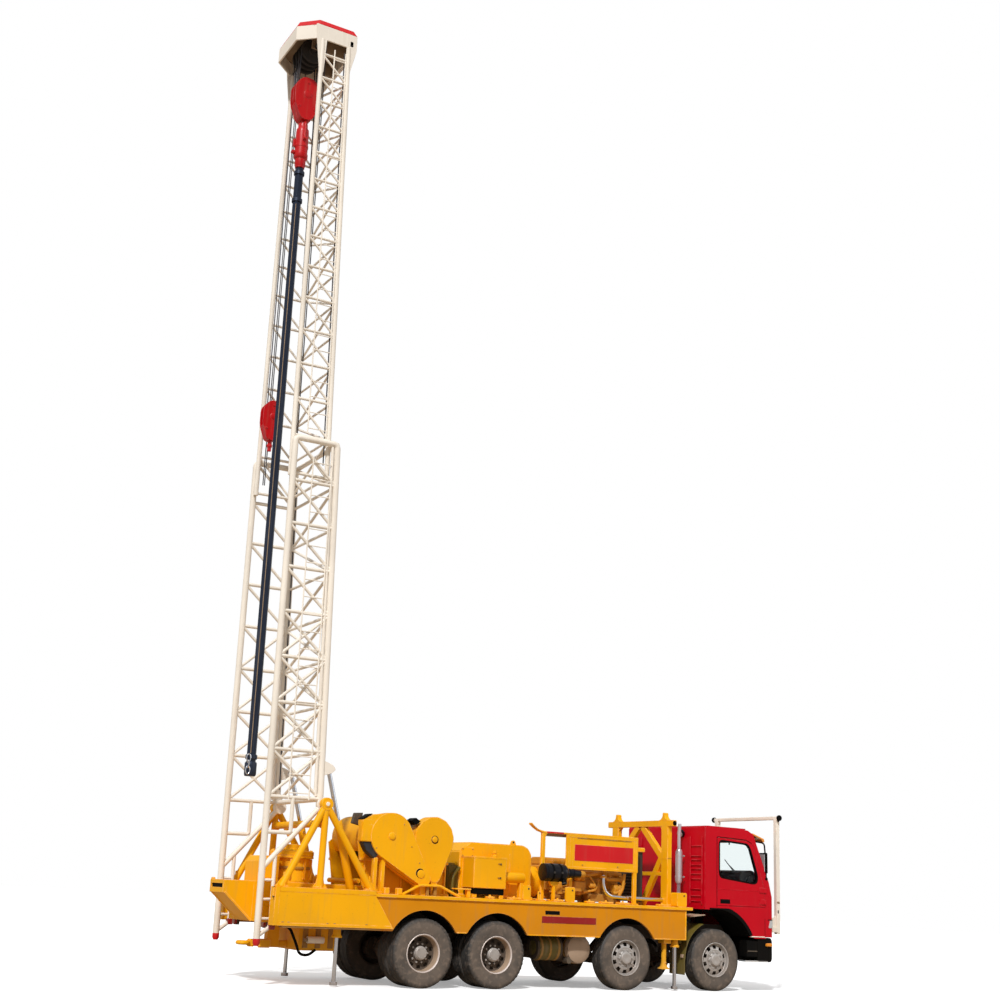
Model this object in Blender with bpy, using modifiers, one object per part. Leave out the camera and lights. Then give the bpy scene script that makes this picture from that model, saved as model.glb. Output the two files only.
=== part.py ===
"""Workover rig: a lattice mast that folds forward over an eight-wheel, twin-steer truck.

Metres, +Z up, +X forward, +Y to the left of the truck. The origin is on the ground, on
the centre plane and in the middle of the length. The mast stands raised, as at work.
"""
from math import atan2, cos, hypot, pi, radians, sin

import bmesh
import bpy
from mathutils import Matrix, Vector

# Fits shared by every piece
GAP = 0.0003                # between pieces that rest on or against each other
SINK = 0.01                 # how far joined shapes of one piece run into each other
OVERRUN = 0.05              # how far a cut runs past the wall it opens

# Wheels and axles
TYRE_RADIUS = 0.54
TYRE_WIDTH = 0.31
TWIN_WIDTH = 0.29
TWIN_PITCH = 0.33
RIM_RADIUS = 0.30
RIM_WALL = 0.022
FRONT_AXLE = 3.81           # X of the foremost axle
STEER_SPREAD = 1.995        # first to second steered axle
MIDDLE_SPREAD = 2.647       # second steered axle to the bogie
BOGIE_SPREAD = 1.37
FRONT_TRACK = 1.04          # middle of a front tyre from the centre plane
TWIN_TRACK = 0.915          # middle of a twin pair from the centre plane
KINGPIN_INSET = 0.24        # kingpin inside the middle of its tyre
KINGPIN_TRACK = FRONT_TRACK - KINGPIN_INSET
KINGPIN_RADIUS = 0.05
KINGPIN_HEIGHT = 0.26
HUB_RADIUS = 0.10
HUB_REACH = 0.06            # how far a hub stands out of its disc
DISC_THICKNESS = 0.03
FRONT_DISC_INSET = 0.03     # front disc behind the tyre's outer face
REAR_DISC_INSET = 0.17      # bottom of the dish behind the tyre's outer face
DRUM_RADIUS = 0.20
DRUM_WIDTH = 0.14
DRUM_SETBACK = 0.115        # a steered wheel's brake drum behind its disc
SPINDLE_RADIUS = 0.06
BEAM_HALF = 0.055           # half the side of a front axle's beam
BEAM_DROP = 0.09            # beam below the wheel centre
BOGIE_TUBE = 0.085
BOGIE_GEARCASE = 0.20
SPRING_TRACK = 0.43
SPRING_HALF = 0.045
SPRING_LENGTH = 1.20
SPRING_THICKNESS = 0.09

# Chassis rails
RAIL_BOTTOM = 0.86
RAIL_HEIGHT = 0.29
RAIL_HALF = 0.04
RAIL_REAR = -2.95
RAIL_FRONT = 4.75
RAIL_TIES = 6
TIE_HALF = 0.05
SUBFRAME_HALF = 0.06

# Deck and its skirts
DECK_TOP = 1.44
DECK_THICKNESS = 0.055
DECK_HALF = 1.25
MAST_INSET = 0.31           # the mast's chords inside the deck's edge
MAST_HALF = DECK_HALF - MAST_INSET
DECK_FRONT = 3.24
SKIRT_FRONT = 3.11
SKIRT_WALL = 0.045
SKIRT_INSET = 0.03          # skirt behind the deck's lip
SKIRT_BOTTOM = 0.87
ARCH_RADIUS = 0.67
SLOT_X = 0.23
SLOT_LENGTH = 0.13
SLOT_HEIGHT = 0.07
SLOT_DROP = 0.10

# Rear side boxes, between the skirts and the mast's legs
SIDE_FRONT = -3.12
SIDE_REAR = -4.84
SIDE_TOP = 1.48
SIDE_BOTTOM = 0.90
SIDE_INSET = 0.37           # inner wall of a side box inside the deck's edge
SIDE_INNER = DECK_HALF - SIDE_INSET
SIDE_POCKET = -4.58         # rear of the inner part, clear of the mast's legs
SIDE_WALL = 0.20
SIDE_SLANT = 0.34           # how far the front edge slopes down to the arch

# Tail box between the mast's legs, and the narrow tongue behind it
TAIL_REAR = -5.36
TAIL_STEP = -4.85           # X where the tongue meets the box
TONGUE_HALF = 0.32
TAIL_FRONT = -2.951
TAIL_TOP = 1.55
TAIL_INSET = 0.53
TAIL_HALF = DECK_HALF - TAIL_INSET
TAIL_LIP = 1.355            # height where the tongue starts to slope
TAIL_BOTTOM = 0.93
TAIL_TOE = -4.87            # X where the slope ends
TAIL_SLOT = 0.025
TAIL_SLOT_DROP = 0.12
CABINET_REAR = -4.80
CABINET_FRONT = -4.44
CABINET_HALF = 0.30
CABINET_TOP = 1.95
GEAR_HOUSE_X = -4.12
GEAR_HOUSE_RADIUS = 0.30
GEAR_HOUSE_HEIGHT = 0.62
GEAR_FLANGE = 0.36
GEAR_FLANGE_HEIGHT = 0.06
HITCH_Z = 0.59
HITCH_REAR = -4.76
HITCH_HALF = 0.07
HITCH_RING = 0.11
HITCH_BAR = 0.035
UNDER_HOUSE_REAR = -4.10
UNDER_HOUSE_FRONT = -3.45
UNDER_HOUSE_HEIGHT = 0.42
UNDER_HOUSE_HALF = 0.50
BRACKET_REAR = -4.45        # plate that carries the towing bar
BRACKET_LENGTH = 0.20

# Jacks: (X, distance from the centre plane) come from these
FRONT_JACK_X = 2.95
REAR_JACK_X = -3.66
JACK_INSET = 0.16
REAR_JACK_INSET = 0.23
JACK_TRACK = DECK_HALF - JACK_INSET
REAR_JACK_TRACK = DECK_HALF - REAR_JACK_INSET
JACK_ROD = 0.032
JACK_TUBE = 0.062
JACK_COLLAR = 0.085
JACK_COLLAR_HEIGHT = 0.04
JACK_TUBE_BOTTOM = 0.74
JACK_BORE_TOP = 1.33
JACK_ROD_TOP = 0.90
JACK_FOOT_RADIUS = 0.06
JACK_FOOT_HEIGHT = 0.05
JACK_LIFT = 0.025           # foot above the ground
LEG_X = 2.74                # stowed landing leg beside the front jack
LEG_INSET = 0.20
LEG_TRACK = DECK_HALF - LEG_INSET
LEG_RADIUS = 0.045
LEG_BOTTOM = 0.36
LEG_FOOT = 0.11

# A-frames that carry the mast's pivot
PIVOT_X = -4.04
PIVOT_Z = 2.78
FRAME_REACH = 0.15          # A-frames outside the mast's chords
FRAME_TRACK = MAST_HALF + FRAME_REACH
FRAME_TUBE = 0.055
FRAME_FOOT_REAR = -4.69
FRAME_FOOT_MIDDLE = -4.05
FRAME_FOOT_FRONT = -3.16
FRAME_SOLE = 0.10
FRAME_SOLE_HEIGHT = 0.02
APEX_RADIUS = 0.10
APEX_HALF = 0.06
CROSS_TUBE = 0.06
CROSS_DROP = 0.30

# Raising rams
RAM_INSET = 0.14
RAM_TRACK = MAST_HALF - RAM_INSET
RAM_BASE_X = -3.30
RAM_BASE_Z = 1.20
RAM_BARREL = 0.065
RAM_NECK = 0.11             # the barrel starts this far above its pin
RAM_NECK_RADIUS = 0.03
RAM_ROD = 0.038
RAM_LENGTH = 1.40
RAM_ROD_LENGTH = 1.32
RAM_FLOOR = 0.05            # thickness of the barrel's closed end
RAM_EYE = 0.06
RAM_EYE_HALF = 0.035
RAM_LUG_X = 0.12            # rod pin in front of the mast's pivot
RAM_LUG_Z = 0.57            # rod pin above the mast's pivot
RAM_LUG_HALF = 0.03
RAM_LUG_RADIUS = 0.06

# Mast, in its own frame: x and z from the pivot, z along the mast
MAST_LEAN = 0.7             # degrees to the rear
CHORD_RADIUS = 0.053
BRACE_RADIUS = 0.024
REAR_CHORD_X = -0.95
LOWER_FOOT_X = -0.05
LOWER_HEAD_X = -0.175
LOWER_START = 0.08
LOWER_HEAD = 6.10
LOWER_PANELS = 8
CROSSED_PANELS = 4          # panels with crossed braces, from the bottom
RING_RADIUS = 0.042
LEG_FOOT_Z = -2.10
LEG_TIP = 0.09
LEG_TIP_RADIUS = 0.035
LUG_RADIUS = 0.11
LUG_HALF = 0.045
BOSS_RADIUS = 0.05
DROP_X = -0.52              # short upright below the pivot
DROP_Z = -0.47
KNEE_Z = -1.02              # where the long brace meets the leg
RAIL_X = -0.745             # tube beside the leg that carries the rungs
RAIL_HEAD_Z = -0.83
RAIL_BEND_Z = -1.90
RAIL_FOOT_Z = -2.05
RUNG_TOP = -1.20
RUNG_PITCH = 0.29
RUNGS = 3
LADDER_TUBE = 0.032

# Upper section
UPPER_FOOT = 5.42
UPPER_HEAD = 13.60
UPPER_INSET = 0.12          # upper chords inside the lower ones, at the foot
UPPER_TAPER = 0.08          # how much closer they are at the head
UPPER_FOOT_HALF = MAST_HALF - UPPER_INSET
UPPER_HEAD_HALF = UPPER_FOOT_HALF - UPPER_TAPER
UPPER_FOOT_X = -0.285
UPPER_HEAD_X = -0.42
UPPER_PANELS = 14
UPPER_SHRINK = 0.975        # each panel against the one below
UPPER_CHORD = 0.042
UPPER_BRACE = 0.021
PAD_HEIGHT = 0.24
PAD_HALF = 0.03

# Crown block
CROWN_FRONT = -0.27
CROWN_REAR = -1.37
CROWN_SHOULDER = -1.02      # where its sides turn in
CROWN_LIP = 0.02            # its walls outside the upper chords
CROWN_HALF = UPPER_HEAD_HALF + CROWN_LIP
CROWN_TURN = 0.31           # how far its sides turn in
CROWN_REAR_HALF = CROWN_HALF - CROWN_TURN
CROWN_BOTTOM = 13.90
CROWN_HEIGHT = 0.42
CROWN_WALL = 0.035
GUSSET_DROP = 0.62
GUSSET_THICKNESS = 0.03
SHEAVE_RADIUS = 0.24
SHEAVE_THICKNESS = 0.05
SHEAVE_PITCH = 0.14
SHEAVES = 4
SHEAVE_AXLE = 0.04
WINCH_SHEAVE = 0.12

# Block, hook, swivel and kelly that hang in the mast
HANG_X = -0.93
BLOCK_TOP = 13.42
BLOCK_HEIGHT = 0.88
BLOCK_WIDTH = 0.50
BLOCK_HALF = 0.13
BLOCK_SLOT = 0.05
SWIVEL_TOP = 12.50
SWIVEL_BOTTOM = 11.56
SWIVEL_RADIUS = 0.12
LINE_RADIUS = 0.012
KELLY_RADIUS = 0.085
KELLY_BOTTOM = 0.42
KELLY_SUB_RADIUS = 0.10
KELLY_SUB_HEIGHT = 0.22
WINCH_HOOK_Y = 0.38
WINCH_HOOK_TOP = 7.07
WINCH_HOOK_HEIGHT = 0.74
WINCH_HOOK_WIDTH = 0.38
WINCH_HOOK_HALF = 0.09
WINCH_TIP = 0.20

# Drawworks
DRUM_AXIS_X = -2.83
DRUM_AXIS_Z = 2.35
SAND_AXIS_X = -1.99
SAND_AXIS_Z = 2.35
BARREL_RADIUS = 0.20
FLANGE_RADIUS = 0.33
FLANGE_THICKNESS = 0.035
SHAFT_RADIUS = 0.045
GUARD_RADIUS = 0.375
GUARD_TOE = 0.12            # radius at the pinion end
GUARD_INSET = 0.17          # the guards' face inside the deck's edge
GUARD_WIDTH = 0.345
GUARD_OUTER = DECK_HALF - GUARD_INSET
GUARD_INNER = GUARD_OUTER - GUARD_WIDTH
GUARD_STEP = 0.10           # front guard's face behind the rear one's
REAR_TOE_X = -2.20
REAR_TOE_Z = 1.70
FRONT_TOE_X = -1.95
FRONT_TOE_Z = 1.76
SHAFT_ROOM = 0.035          # from a drum's shaft to the guards
SHAFT_HALF = GUARD_INNER - SHAFT_ROOM
BEARING_PLATE_INSET = 0.08  # bearing plates inside the shafts' ends
BEARING_PLATE_THICKNESS = 0.04
BEARING_PLATE_OUTER = SHAFT_HALF - BEARING_PLATE_INSET
BEARING_PLATE_INNER = BEARING_PLATE_OUTER - BEARING_PLATE_THICKNESS
DRUM_ROOM = 0.06            # from a drum's flange to its bearing plate
DRUM_HALF = BEARING_PLATE_INNER - DRUM_ROOM
BEARING_RADIUS = 0.09
WORKS_REAR = -3.10
WORKS_BACK = -3.22          # rear edge of the bearing plates, above the tail box
WORKS_FRONT = -1.50
WORKS_SKID = 0.07
COVER_REAR = -3.37          # box on the rear guard's rim
COVER_FRONT = -3.00
COVER_BOTTOM = 2.24
COVER_TOP = 2.62
COVER_WIDTH = 0.18
COVER_INNER = GUARD_OUTER - COVER_WIDTH

# Gearbox hood
HOOD_REAR = -1.29
HOOD_FRONT = 0.16
HOOD_HALF = 0.60
HOOD_TOP = 2.36
HOOD_SHOULDER = 0.16
HOOD_FOOT_HALF = 0.05
CONSOLE_REAR = -1.22
CONSOLE_FRONT = -0.58
CONSOLE_INSET = 0.25
CONSOLE_HALF = DECK_HALF - CONSOLE_INSET
CONSOLE_BOTTOM = 1.60
CONSOLE_TOP = 2.11
COUPLING_FRONT = -0.10
COUPLING_Z = 1.80
COUPLING_INSET = 0.20
COUPLING_Y = COUPLING_INSET - CONSOLE_HALF
COUPLING_RADIUS = 0.09

# Engine, its canopy and exhausts
CANOPY_REAR = 0.70
CANOPY_FRONT = 2.25
CANOPY_INSET = 0.35
CANOPY_HALF = DECK_HALF - CANOPY_INSET
CANOPY_DEPTH = 0.12         # it is a shallow side panel with no roof behind
CANOPY_TOP = 2.62
CANOPY_PANEL_BOTTOM = 2.00
CANOPY_WALL = 0.03
CANOPY_LIP_REAR = -0.04
CANOPY_LIP_RISE = 0.13
CANOPY_POST_X = 0.22
CANOPY_POST = 0.035
ENGINE_REAR = 0.55
ENGINE_FRONT = 2.15
ENGINE_HALF = 0.42
ENGINE_TOP = 2.10
ENGINE_BOTTOM = 1.50
ENGINE_FEET = 0.05
CLEANER_REAR = 0.10
CLEANER_FRONT = 0.58
CLEANER_RADIUS = 0.15
CLEANER_Y = -CANOPY_HALF - CLEANER_RADIUS - SINK
CLEANER_Z = 1.92
CLEANER_NECK = 0.075
CLEANER_NECK_FRONT = 0.88
CLEANER_POST = 0.025
STACK_X = 3.36
STACK_Y = -0.66
STACK_BOTTOM = 1.62
STACK_TOP = 2.95
STACK_PIPE = 0.035
STACK_CAN = 0.065
STACK_CAN_BOTTOM = 1.92
STACK_CAN_TOP = 2.42
STACK_REACH = 0.18          # the elbow at its foot runs this far to the rear

# Rear mast rest
GANTRY_X = 2.96
GANTRY_HALF = 0.05
GANTRY_POST_Y = 0.80
GANTRY_POST = 0.10
GANTRY_BEAM_BOTTOM = 2.87
GANTRY_BEAM_TOP = 2.98
GANTRY_SPAN = 1.05
GANTRY_HORN_Y = UPPER_HEAD_HALF + CROWN_LIP
GANTRY_HORN_TOP = 3.12
GANTRY_HORN = 0.04
GANTRY_WAIST = 2.32
GANTRY_BRACE = 0.05

# Front mast rest and bumper
REST_X = 5.54
REST_POST = 0.045
REST_TRACK = 0.90
REST_TOP = 3.22
REST_BAR = 0.035
REST_SPAN = 1.02
REST_BOTTOM = 1.02
REST_ARM_Z = 1.10
REST_ARM = 0.05
BUMPER_REAR = 4.80
BUMPER_FRONT = 5.15
BUMPER_HALF = 1.20
BUMPER_BOTTOM = 0.52
BUMPER_TOP = 0.96

# Cab
CAB_REAR = 3.545
CAB_FRONT = 5.13
CAB_HALF = 1.22
CAB_WALL = 0.055
CAB_ROOF = 2.92
CAB_FLOOR = 1.435           # with the wall's thickness, the height that the seats stand at
CAB_SKIN_BOTTOM = 1.42
CAB_NOSE = 0.965            # bottom of the nose, above the bumper
CAB_ARCH = 0.90             # arch radius about the first axle's wheels
DOOR_REAR = 3.82
DOOR_FRONT = 4.97
DOOR_BOTTOM = 1.50
DOOR_TOP = 2.72
DOOR_GAP = 0.006
HINGE_RADIUS = 0.022
HINGE_ROOM = 0.003          # round a barrel, which turns in the shell
HINGE_HEIGHT = 0.09
HINGE_STRAP = 0.012
HINGE_REACH = 0.14          # length of a hinge's strap on the door
HINGE_LEVELS = (1.55, 1.76)
MOUNT_PAD_HALF = 0.06
SEAT_HALF = 0.24
SEAT_TRACK = 0.62
SEAT_LENGTH = 0.46
SEAT_X = 3.98
SEAT_TOP = 1.95
SEAT_BACK = 0.12
SEAT_BACK_TOP = 2.55
DASH_REAR = 4.72
DASH_TOP = 1.98
DASH_DEPTH = 0.22
WHEEL_RADIUS = 0.23
WHEEL_RIM = 0.018
COLUMN_REACH = 0.26
GLASS_THICKNESS = 0.006

# Tanks under the deck
TANK_DROP = 0.20            # their middle below the rails
AIR_TANK_REAR = 0.12
AIR_TANK_FRONT = 0.62
AIR_TANK_RADIUS = 0.20
AIR_TANK_TRACK = 0.80
FUEL_X = 0.93
FUEL_RADIUS = 0.24
FUEL_HALF = 1.02
STRAP = 0.02

# Outlines as shares. The side view of the cab's skin and of its room, from the rear
# edge to the front edge and from the floor line to the roof: (length, height)
CAB_SKIN_SHARES = ((0.0, 0.0), (0.0, 0.985), (0.03, 1.0), (0.50, 0.995), (0.64, 0.975),
                   (0.72, 0.93), (0.955, 0.36), (1.0, 0.18), (1.0, 0.0))
CAB_ROOM_SHARES = ((0.0, 0.0), (0.0, 1.0), (0.58, 0.985), (0.66, 0.94), (0.90, 0.37),
                   (0.93, 0.18), (0.93, 0.0))
# The windscreen's bottom and top up the skin, and how far along it the opening starts
SCREEN_SHARES = (0.40, 0.90)
SCREEN_BACK_SHARE = 0.70
# The door and its window: (length, height) of the door
DOOR_SHARES = ((0.0, 0.0), (0.0, 1.0), (0.64, 0.97), (0.75, 0.90), (0.97, 0.30), (1.0, 0.0))
WINDOW_SHARES = ((0.07, 0.42), (0.05, 0.50), (0.05, 0.92), (0.08, 0.95), (0.62, 0.92),
                 (0.68, 0.86), (0.83, 0.46), (0.82, 0.37), (0.76, 0.35))
# Half of a tyre's section, from the bead round the outer wall: (radius, half width)
TYRE_SHARES = ((0.70, 0.96), (0.86, 1.0), (0.95, 0.92), (1.0, 0.78))
# A hook block's cheek: (width, height), from its top
BLOCK_SHARES = ((-0.22, 0.0), (-0.5, -0.18), (-0.5, -0.62), (-0.2, -1.0), (0.2, -1.0),
                (0.5, -0.62), (0.5, -0.18), (0.22, 0.0))

# Finishes: (red, green, blue, roughness, metallic)
FINISHES = {
    "yellow_paint": (0.90, 0.43, 0.01, 0.45, 0.0),
    "white_paint": (0.86, 0.82, 0.76, 0.50, 0.0),
    "cab_red": (0.58, 0.01, 0.03, 0.30, 0.0),
    "block_red": (0.50, 0.005, 0.01, 0.45, 0.0),
    "tyre_rubber": (0.05, 0.04, 0.035, 0.85, 0.0),
    "rim_steel": (0.45, 0.44, 0.42, 0.50, 0.7),
    "chassis_steel": (0.06, 0.055, 0.05, 0.70, 0.3),
    "chrome": (0.75, 0.76, 0.78, 0.15, 1.0),
    "kelly_steel": (0.02, 0.03, 0.06, 0.45, 0.5),
    "black_paint": (0.012, 0.012, 0.014, 0.40, 0.0),
    "engine_grey": (0.20, 0.14, 0.03, 0.60, 0.2),
    "cab_trim": (0.05, 0.05, 0.06, 0.80, 0.0),
    "clear_glass": (0.55, 0.62, 0.62, 0.05, 0.0),
}

SIDES = (("right", -1), ("left", 1))
WHEEL_STEPS = 24
ROUND_STEPS = 12
BRACE_SIDES = 4

for old in list(bpy.data.objects):
    bpy.data.objects.remove(old, do_unlink=True)
rig = bpy.data.collections.new("workover_rig")
cutters = bpy.data.collections.new("cutters")
bpy.context.scene.collection.children.link(rig)
bpy.context.scene.collection.children.link(cutters)


def finish(name):
    """The material of that name, made the first time that a piece asks for it."""
    if name in bpy.data.materials:
        return bpy.data.materials[name]
    red, green, blue, roughness, metallic = FINISHES[name]
    material = bpy.data.materials.new(name)
    material.use_nodes = True
    shader = material.node_tree.nodes["Principled BSDF"]
    shader.inputs["Base Color"].default_value = (red, green, blue, 1)
    shader.inputs["Roughness"].default_value = roughness
    shader.inputs["Metallic"].default_value = metallic
    return material


def evaluated_mesh(shape):
    """The object's mesh with its modifiers, in world space, welded; the object goes."""
    depsgraph = bpy.context.evaluated_depsgraph_get()
    mesh = bpy.data.meshes.new_from_object(shape.evaluated_get(depsgraph))
    mesh.transform(shape.matrix_world)
    bpy.data.objects.remove(shape, do_unlink=True)
    work = bmesh.new()
    work.from_mesh(mesh)
    bmesh.ops.remove_doubles(work, verts=work.verts, dist=GAP / 300)
    bmesh.ops.recalc_face_normals(work, faces=work.faces)
    work.to_mesh(mesh)
    work.free()
    return mesh


def scratch(data, matrix=None):
    """A working object for a mesh or curve, kept out of the render."""
    shape = bpy.data.objects.new("scratch", data)
    cutters.objects.link(shape)
    shape.hide_render = True
    shape.display_type = "WIRE"
    if matrix is not None:
        shape.matrix_world = matrix
    return shape


def block(low, high):
    """A box between two corners."""
    mesh = bpy.data.meshes.new("block")
    work = bmesh.new()
    bmesh.ops.create_cube(work, size=1)
    middle = (Vector(low) + Vector(high)) / 2
    size = Vector(high) - Vector(low)
    scale = Matrix.Diagonal((abs(size.x), abs(size.y), abs(size.z), 1))
    bmesh.ops.transform(work, matrix=Matrix.Translation(middle) @ scale, verts=work.verts)
    work.to_mesh(mesh)
    work.free()
    return mesh


def tube(points, radius, sides=6):
    """A round bar through the points, with closed ends."""
    curve = bpy.data.curves.new("tube", "CURVE")
    curve.dimensions = "3D"
    curve.bevel_depth = radius
    curve.bevel_resolution = (sides - 4) // 2
    curve.use_fill_caps = True
    spline = curve.splines.new("POLY")
    spline.points.add(len(points) - 1)
    for point, place in zip(spline.points, points):
        point.co = (*place, 1)
    return evaluated_mesh(scratch(curve))


def flat(outline, low, high, plane="XZ"):
    """A flat outline with a thickness from low to high along the axis it leaves out."""
    curve = bpy.data.curves.new("flat", "CURVE")
    curve.dimensions = "2D"
    curve.fill_mode = "BOTH"
    curve.extrude = abs(high - low) / 2
    spline = curve.splines.new("POLY")
    spline.points.add(len(outline) - 1)
    spline.use_cyclic_u = True
    for point, (u, v) in zip(spline.points, outline):
        point.co = (u, v, 0, 1)
    middle = (low + high) / 2
    if plane == "XZ":
        matrix = Matrix(((1, 0, 0, 0), (0, 0, -1, middle), (0, 1, 0, 0), (0, 0, 0, 1)))
    elif plane == "YZ":
        matrix = Matrix(((0, 0, 1, middle), (1, 0, 0, 0), (0, 1, 0, 0), (0, 0, 0, 1)))
    else:
        matrix = Matrix.Translation((0, 0, middle))
    return evaluated_mesh(scratch(curve, matrix))


def turned(profile, centre=(0, 0, 0), axis=(0, 0, 1), steps=ROUND_STEPS, closed=False):
    """A profile of (radius, height), top to bottom, turned about an axis through centre."""
    mesh = bpy.data.meshes.new("turned")
    rows = [(radius, 0, height) for radius, height in profile]
    edges = [(i, i + 1) for i in range(len(rows) - 1)]
    if closed:
        edges.append((len(rows) - 1, 0))
    mesh.from_pydata(rows, edges, [])
    shape = scratch(mesh)
    screw = shape.modifiers.new("turn", "SCREW")
    screw.steps = steps
    screw.render_steps = steps
    screw.use_merge_vertices = True
    screw.merge_threshold = GAP / 30
    turn = Vector((0, 0, 1)).rotation_difference(Vector(axis)).to_matrix().to_4x4()
    shape.matrix_world = Matrix.Translation(centre) @ turn
    return evaluated_mesh(shape)


def drum(centre, axis, radius, low, high, steps=ROUND_STEPS):
    """A plain cylinder from low to high along the axis, measured from the centre."""
    return turned(((0, high), (radius, high), (radius, low), (0, low)), centre, axis, steps)


def shared(outline_shares, low, high):
    """Shares of the box between two (x, z) corners as real places."""
    return [(low[0] + (high[0] - low[0]) * u, low[1] + (high[1] - low[1]) * v)
            for u, v in outline_shares]


def part(name, material, solids, cuts=(), origin=(0, 0, 0), parent=None):
    """Joins the solids, takes the cuts away and names the piece. Origin is its joint."""
    shape = scratch(solids[0])
    operands = []
    for operation, meshes in (("UNION", solids[1:]), ("DIFFERENCE", cuts)):
        if not meshes:
            continue
        group = bpy.data.collections.new(name + "_" + operation.lower())
        cutters.children.link(group)
        for mesh in meshes:
            operand = bpy.data.objects.new("operand", mesh)
            group.objects.link(operand)
            operands.append(operand)
        modifier = shape.modifiers.new(operation.title(), "BOOLEAN")
        modifier.operation = operation
        modifier.operand_type = "COLLECTION"
        modifier.collection = group
        modifier.solver = "EXACT"
    mesh = evaluated_mesh(shape)
    for operand in operands:
        bpy.data.objects.remove(operand, do_unlink=True)
    for group in list(cutters.children):
        bpy.data.collections.remove(group)
    mesh.name = name
    mesh.materials.clear()
    mesh.materials.append(finish(material))
    mesh.transform(Matrix.Translation(-Vector(origin)))
    mesh.shade_smooth()
    mesh.set_sharp_from_angle(angle=radians(30))
    return place(name, mesh, origin, parent)


def place(name, mesh, location=(0, 0, 0), parent=None, turn=0):
    """One named object of the rig, also a further copy of a mesh."""
    piece = bpy.data.objects.new(name, mesh)
    rig.objects.link(piece)
    piece.location = location
    piece.rotation_euler.z = turn
    piece.parent = parent
    return piece


def empty(name, location, parent=None):
    """A joint's place, which moving pieces hang from."""
    joint = bpy.data.objects.new(name, None)
    rig.objects.link(joint)
    joint.location = location
    joint.parent = parent
    return joint


STEER_AXLES = (FRONT_AXLE, FRONT_AXLE - STEER_SPREAD)
BOGIE_MIDDLE = FRONT_AXLE - STEER_SPREAD - MIDDLE_SPREAD - BOGIE_SPREAD / 2
BOGIE_AXLES = (BOGIE_MIDDLE + BOGIE_SPREAD / 2, BOGIE_MIDDLE - BOGIE_SPREAD / 2)
RAIL_TOP = RAIL_BOTTOM + RAIL_HEIGHT
DECK_BOTTOM = DECK_TOP - DECK_THICKNESS
CAB_UNDER = CAB_SKIN_BOTTOM + 2 * SINK      # underside of the cab's floor


def front_tyre():
    """One tyre, its outer face towards +Z before it is laid on its axle."""
    half = TYRE_WIDTH / 2
    outer = [(TYRE_RADIUS * r, half * w) for r, w in TYRE_SHARES]
    inner = [(r, -w) for r, w in reversed(outer)]
    bead = RIM_RADIUS + GAP
    loop = [(bead, outer[0][1])] + outer[1:] + inner[:-1] + [(bead, inner[-1][1])]
    return turned(loop, (0, 0, 0), (0, 1, 0), WHEEL_STEPS, closed=True)


def front_rim():
    """A rim with its disc near the outer face; open towards the axle."""
    outer = TYRE_WIDTH / 2 * TYRE_SHARES[0][1]
    disc = TYRE_WIDTH / 2 - FRONT_DISC_INSET
    well = RIM_RADIUS - RIM_WALL
    profile = ((0, disc + HUB_REACH), (HUB_RADIUS, disc + HUB_REACH), (HUB_RADIUS, disc),
               (well, disc), (well, outer), (RIM_RADIUS, outer), (RIM_RADIUS, -outer),
               (well, -outer), (well, disc - DISC_THICKNESS), (0, disc - DISC_THICKNESS))
    return turned(profile, (0, 0, 0), (0, 1, 0), WHEEL_STEPS)


def twin_wheel():
    """Two tyres on one deep-dished rim, the middle of the pair at the origin."""
    half = TWIN_WIDTH / 2
    centre = TWIN_PITCH / 2
    disc = centre + half - REAR_DISC_INSET
    face = centre + half - HUB_REACH
    well = RIM_RADIUS - RIM_WALL
    bead = half * TYRE_SHARES[0][1]
    wall = [(TYRE_RADIUS * r, half * w) for r, w in TYRE_SHARES][1:]
    wall += [(r, -w) for r, w in reversed(wall)]
    profile = [(0, face), (HUB_RADIUS, face), (HUB_RADIUS, disc), (well, disc),
               (well, centre + bead), (RIM_RADIUS, centre + bead)]
    profile += [(r, centre + w) for r, w in wall]
    profile += [(RIM_RADIUS, centre - bead), (RIM_RADIUS, bead - centre)]
    profile += [(r, w - centre) for r, w in wall]
    profile += [(RIM_RADIUS, -centre - bead), (well, -centre - bead),
                (well, disc - DISC_THICKNESS), (0, disc - DISC_THICKNESS)]
    return turned(profile, (0, 0, 0), (0, 1, 0), WHEEL_STEPS)


def knuckle(side):
    """Kingpin, brake drum and spindle of a steered wheel, origin on the kingpin."""
    disc_back = FRONT_TRACK + TYRE_WIDTH / 2 - FRONT_DISC_INSET - DISC_THICKNESS
    reach = disc_back - KINGPIN_TRACK - GAP
    drum_outer = reach - DRUM_SETBACK
    outward = (0, side, 0)
    half = KINGPIN_HEIGHT / 2
    return [drum((0, 0, 0), (0, 0, 1), KINGPIN_RADIUS, -half - BEAM_DROP, half - BEAM_DROP),
            drum((0, 0, 0), outward, SPINDLE_RADIUS, 0, reach),
            drum((0, 0, 0), outward, DRUM_RADIUS, drum_outer - DRUM_WIDTH, drum_outer)]


def steered_wheels():
    """Four steered wheels, each on its knuckle."""
    tyre = front_tyre()
    disc = front_rim()
    for mesh, material in ((tyre, "tyre_rubber"), (disc, "rim_steel")):
        mesh.materials.append(finish(material))
        mesh.shade_smooth()
        mesh.set_sharp_from_angle(angle=radians(30))
    for number, axle in enumerate(STEER_AXLES, 1):
        for name, side in SIDES:
            label = f"{name}_{number}"
            pin = empty("steer_" + label, (axle, side * KINGPIN_TRACK, TYRE_RADIUS))
            part("knuckle_" + label, "chassis_steel", knuckle(side), parent=pin)
            hub = empty("hub_" + label, (0, side * (FRONT_TRACK - KINGPIN_TRACK), 0), pin)
            turn = 0 if side > 0 else pi
            place("front_tyre_" + label, tyre, parent=hub, turn=turn)
            place("front_rim_" + label, disc, parent=hub, turn=turn)


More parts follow.
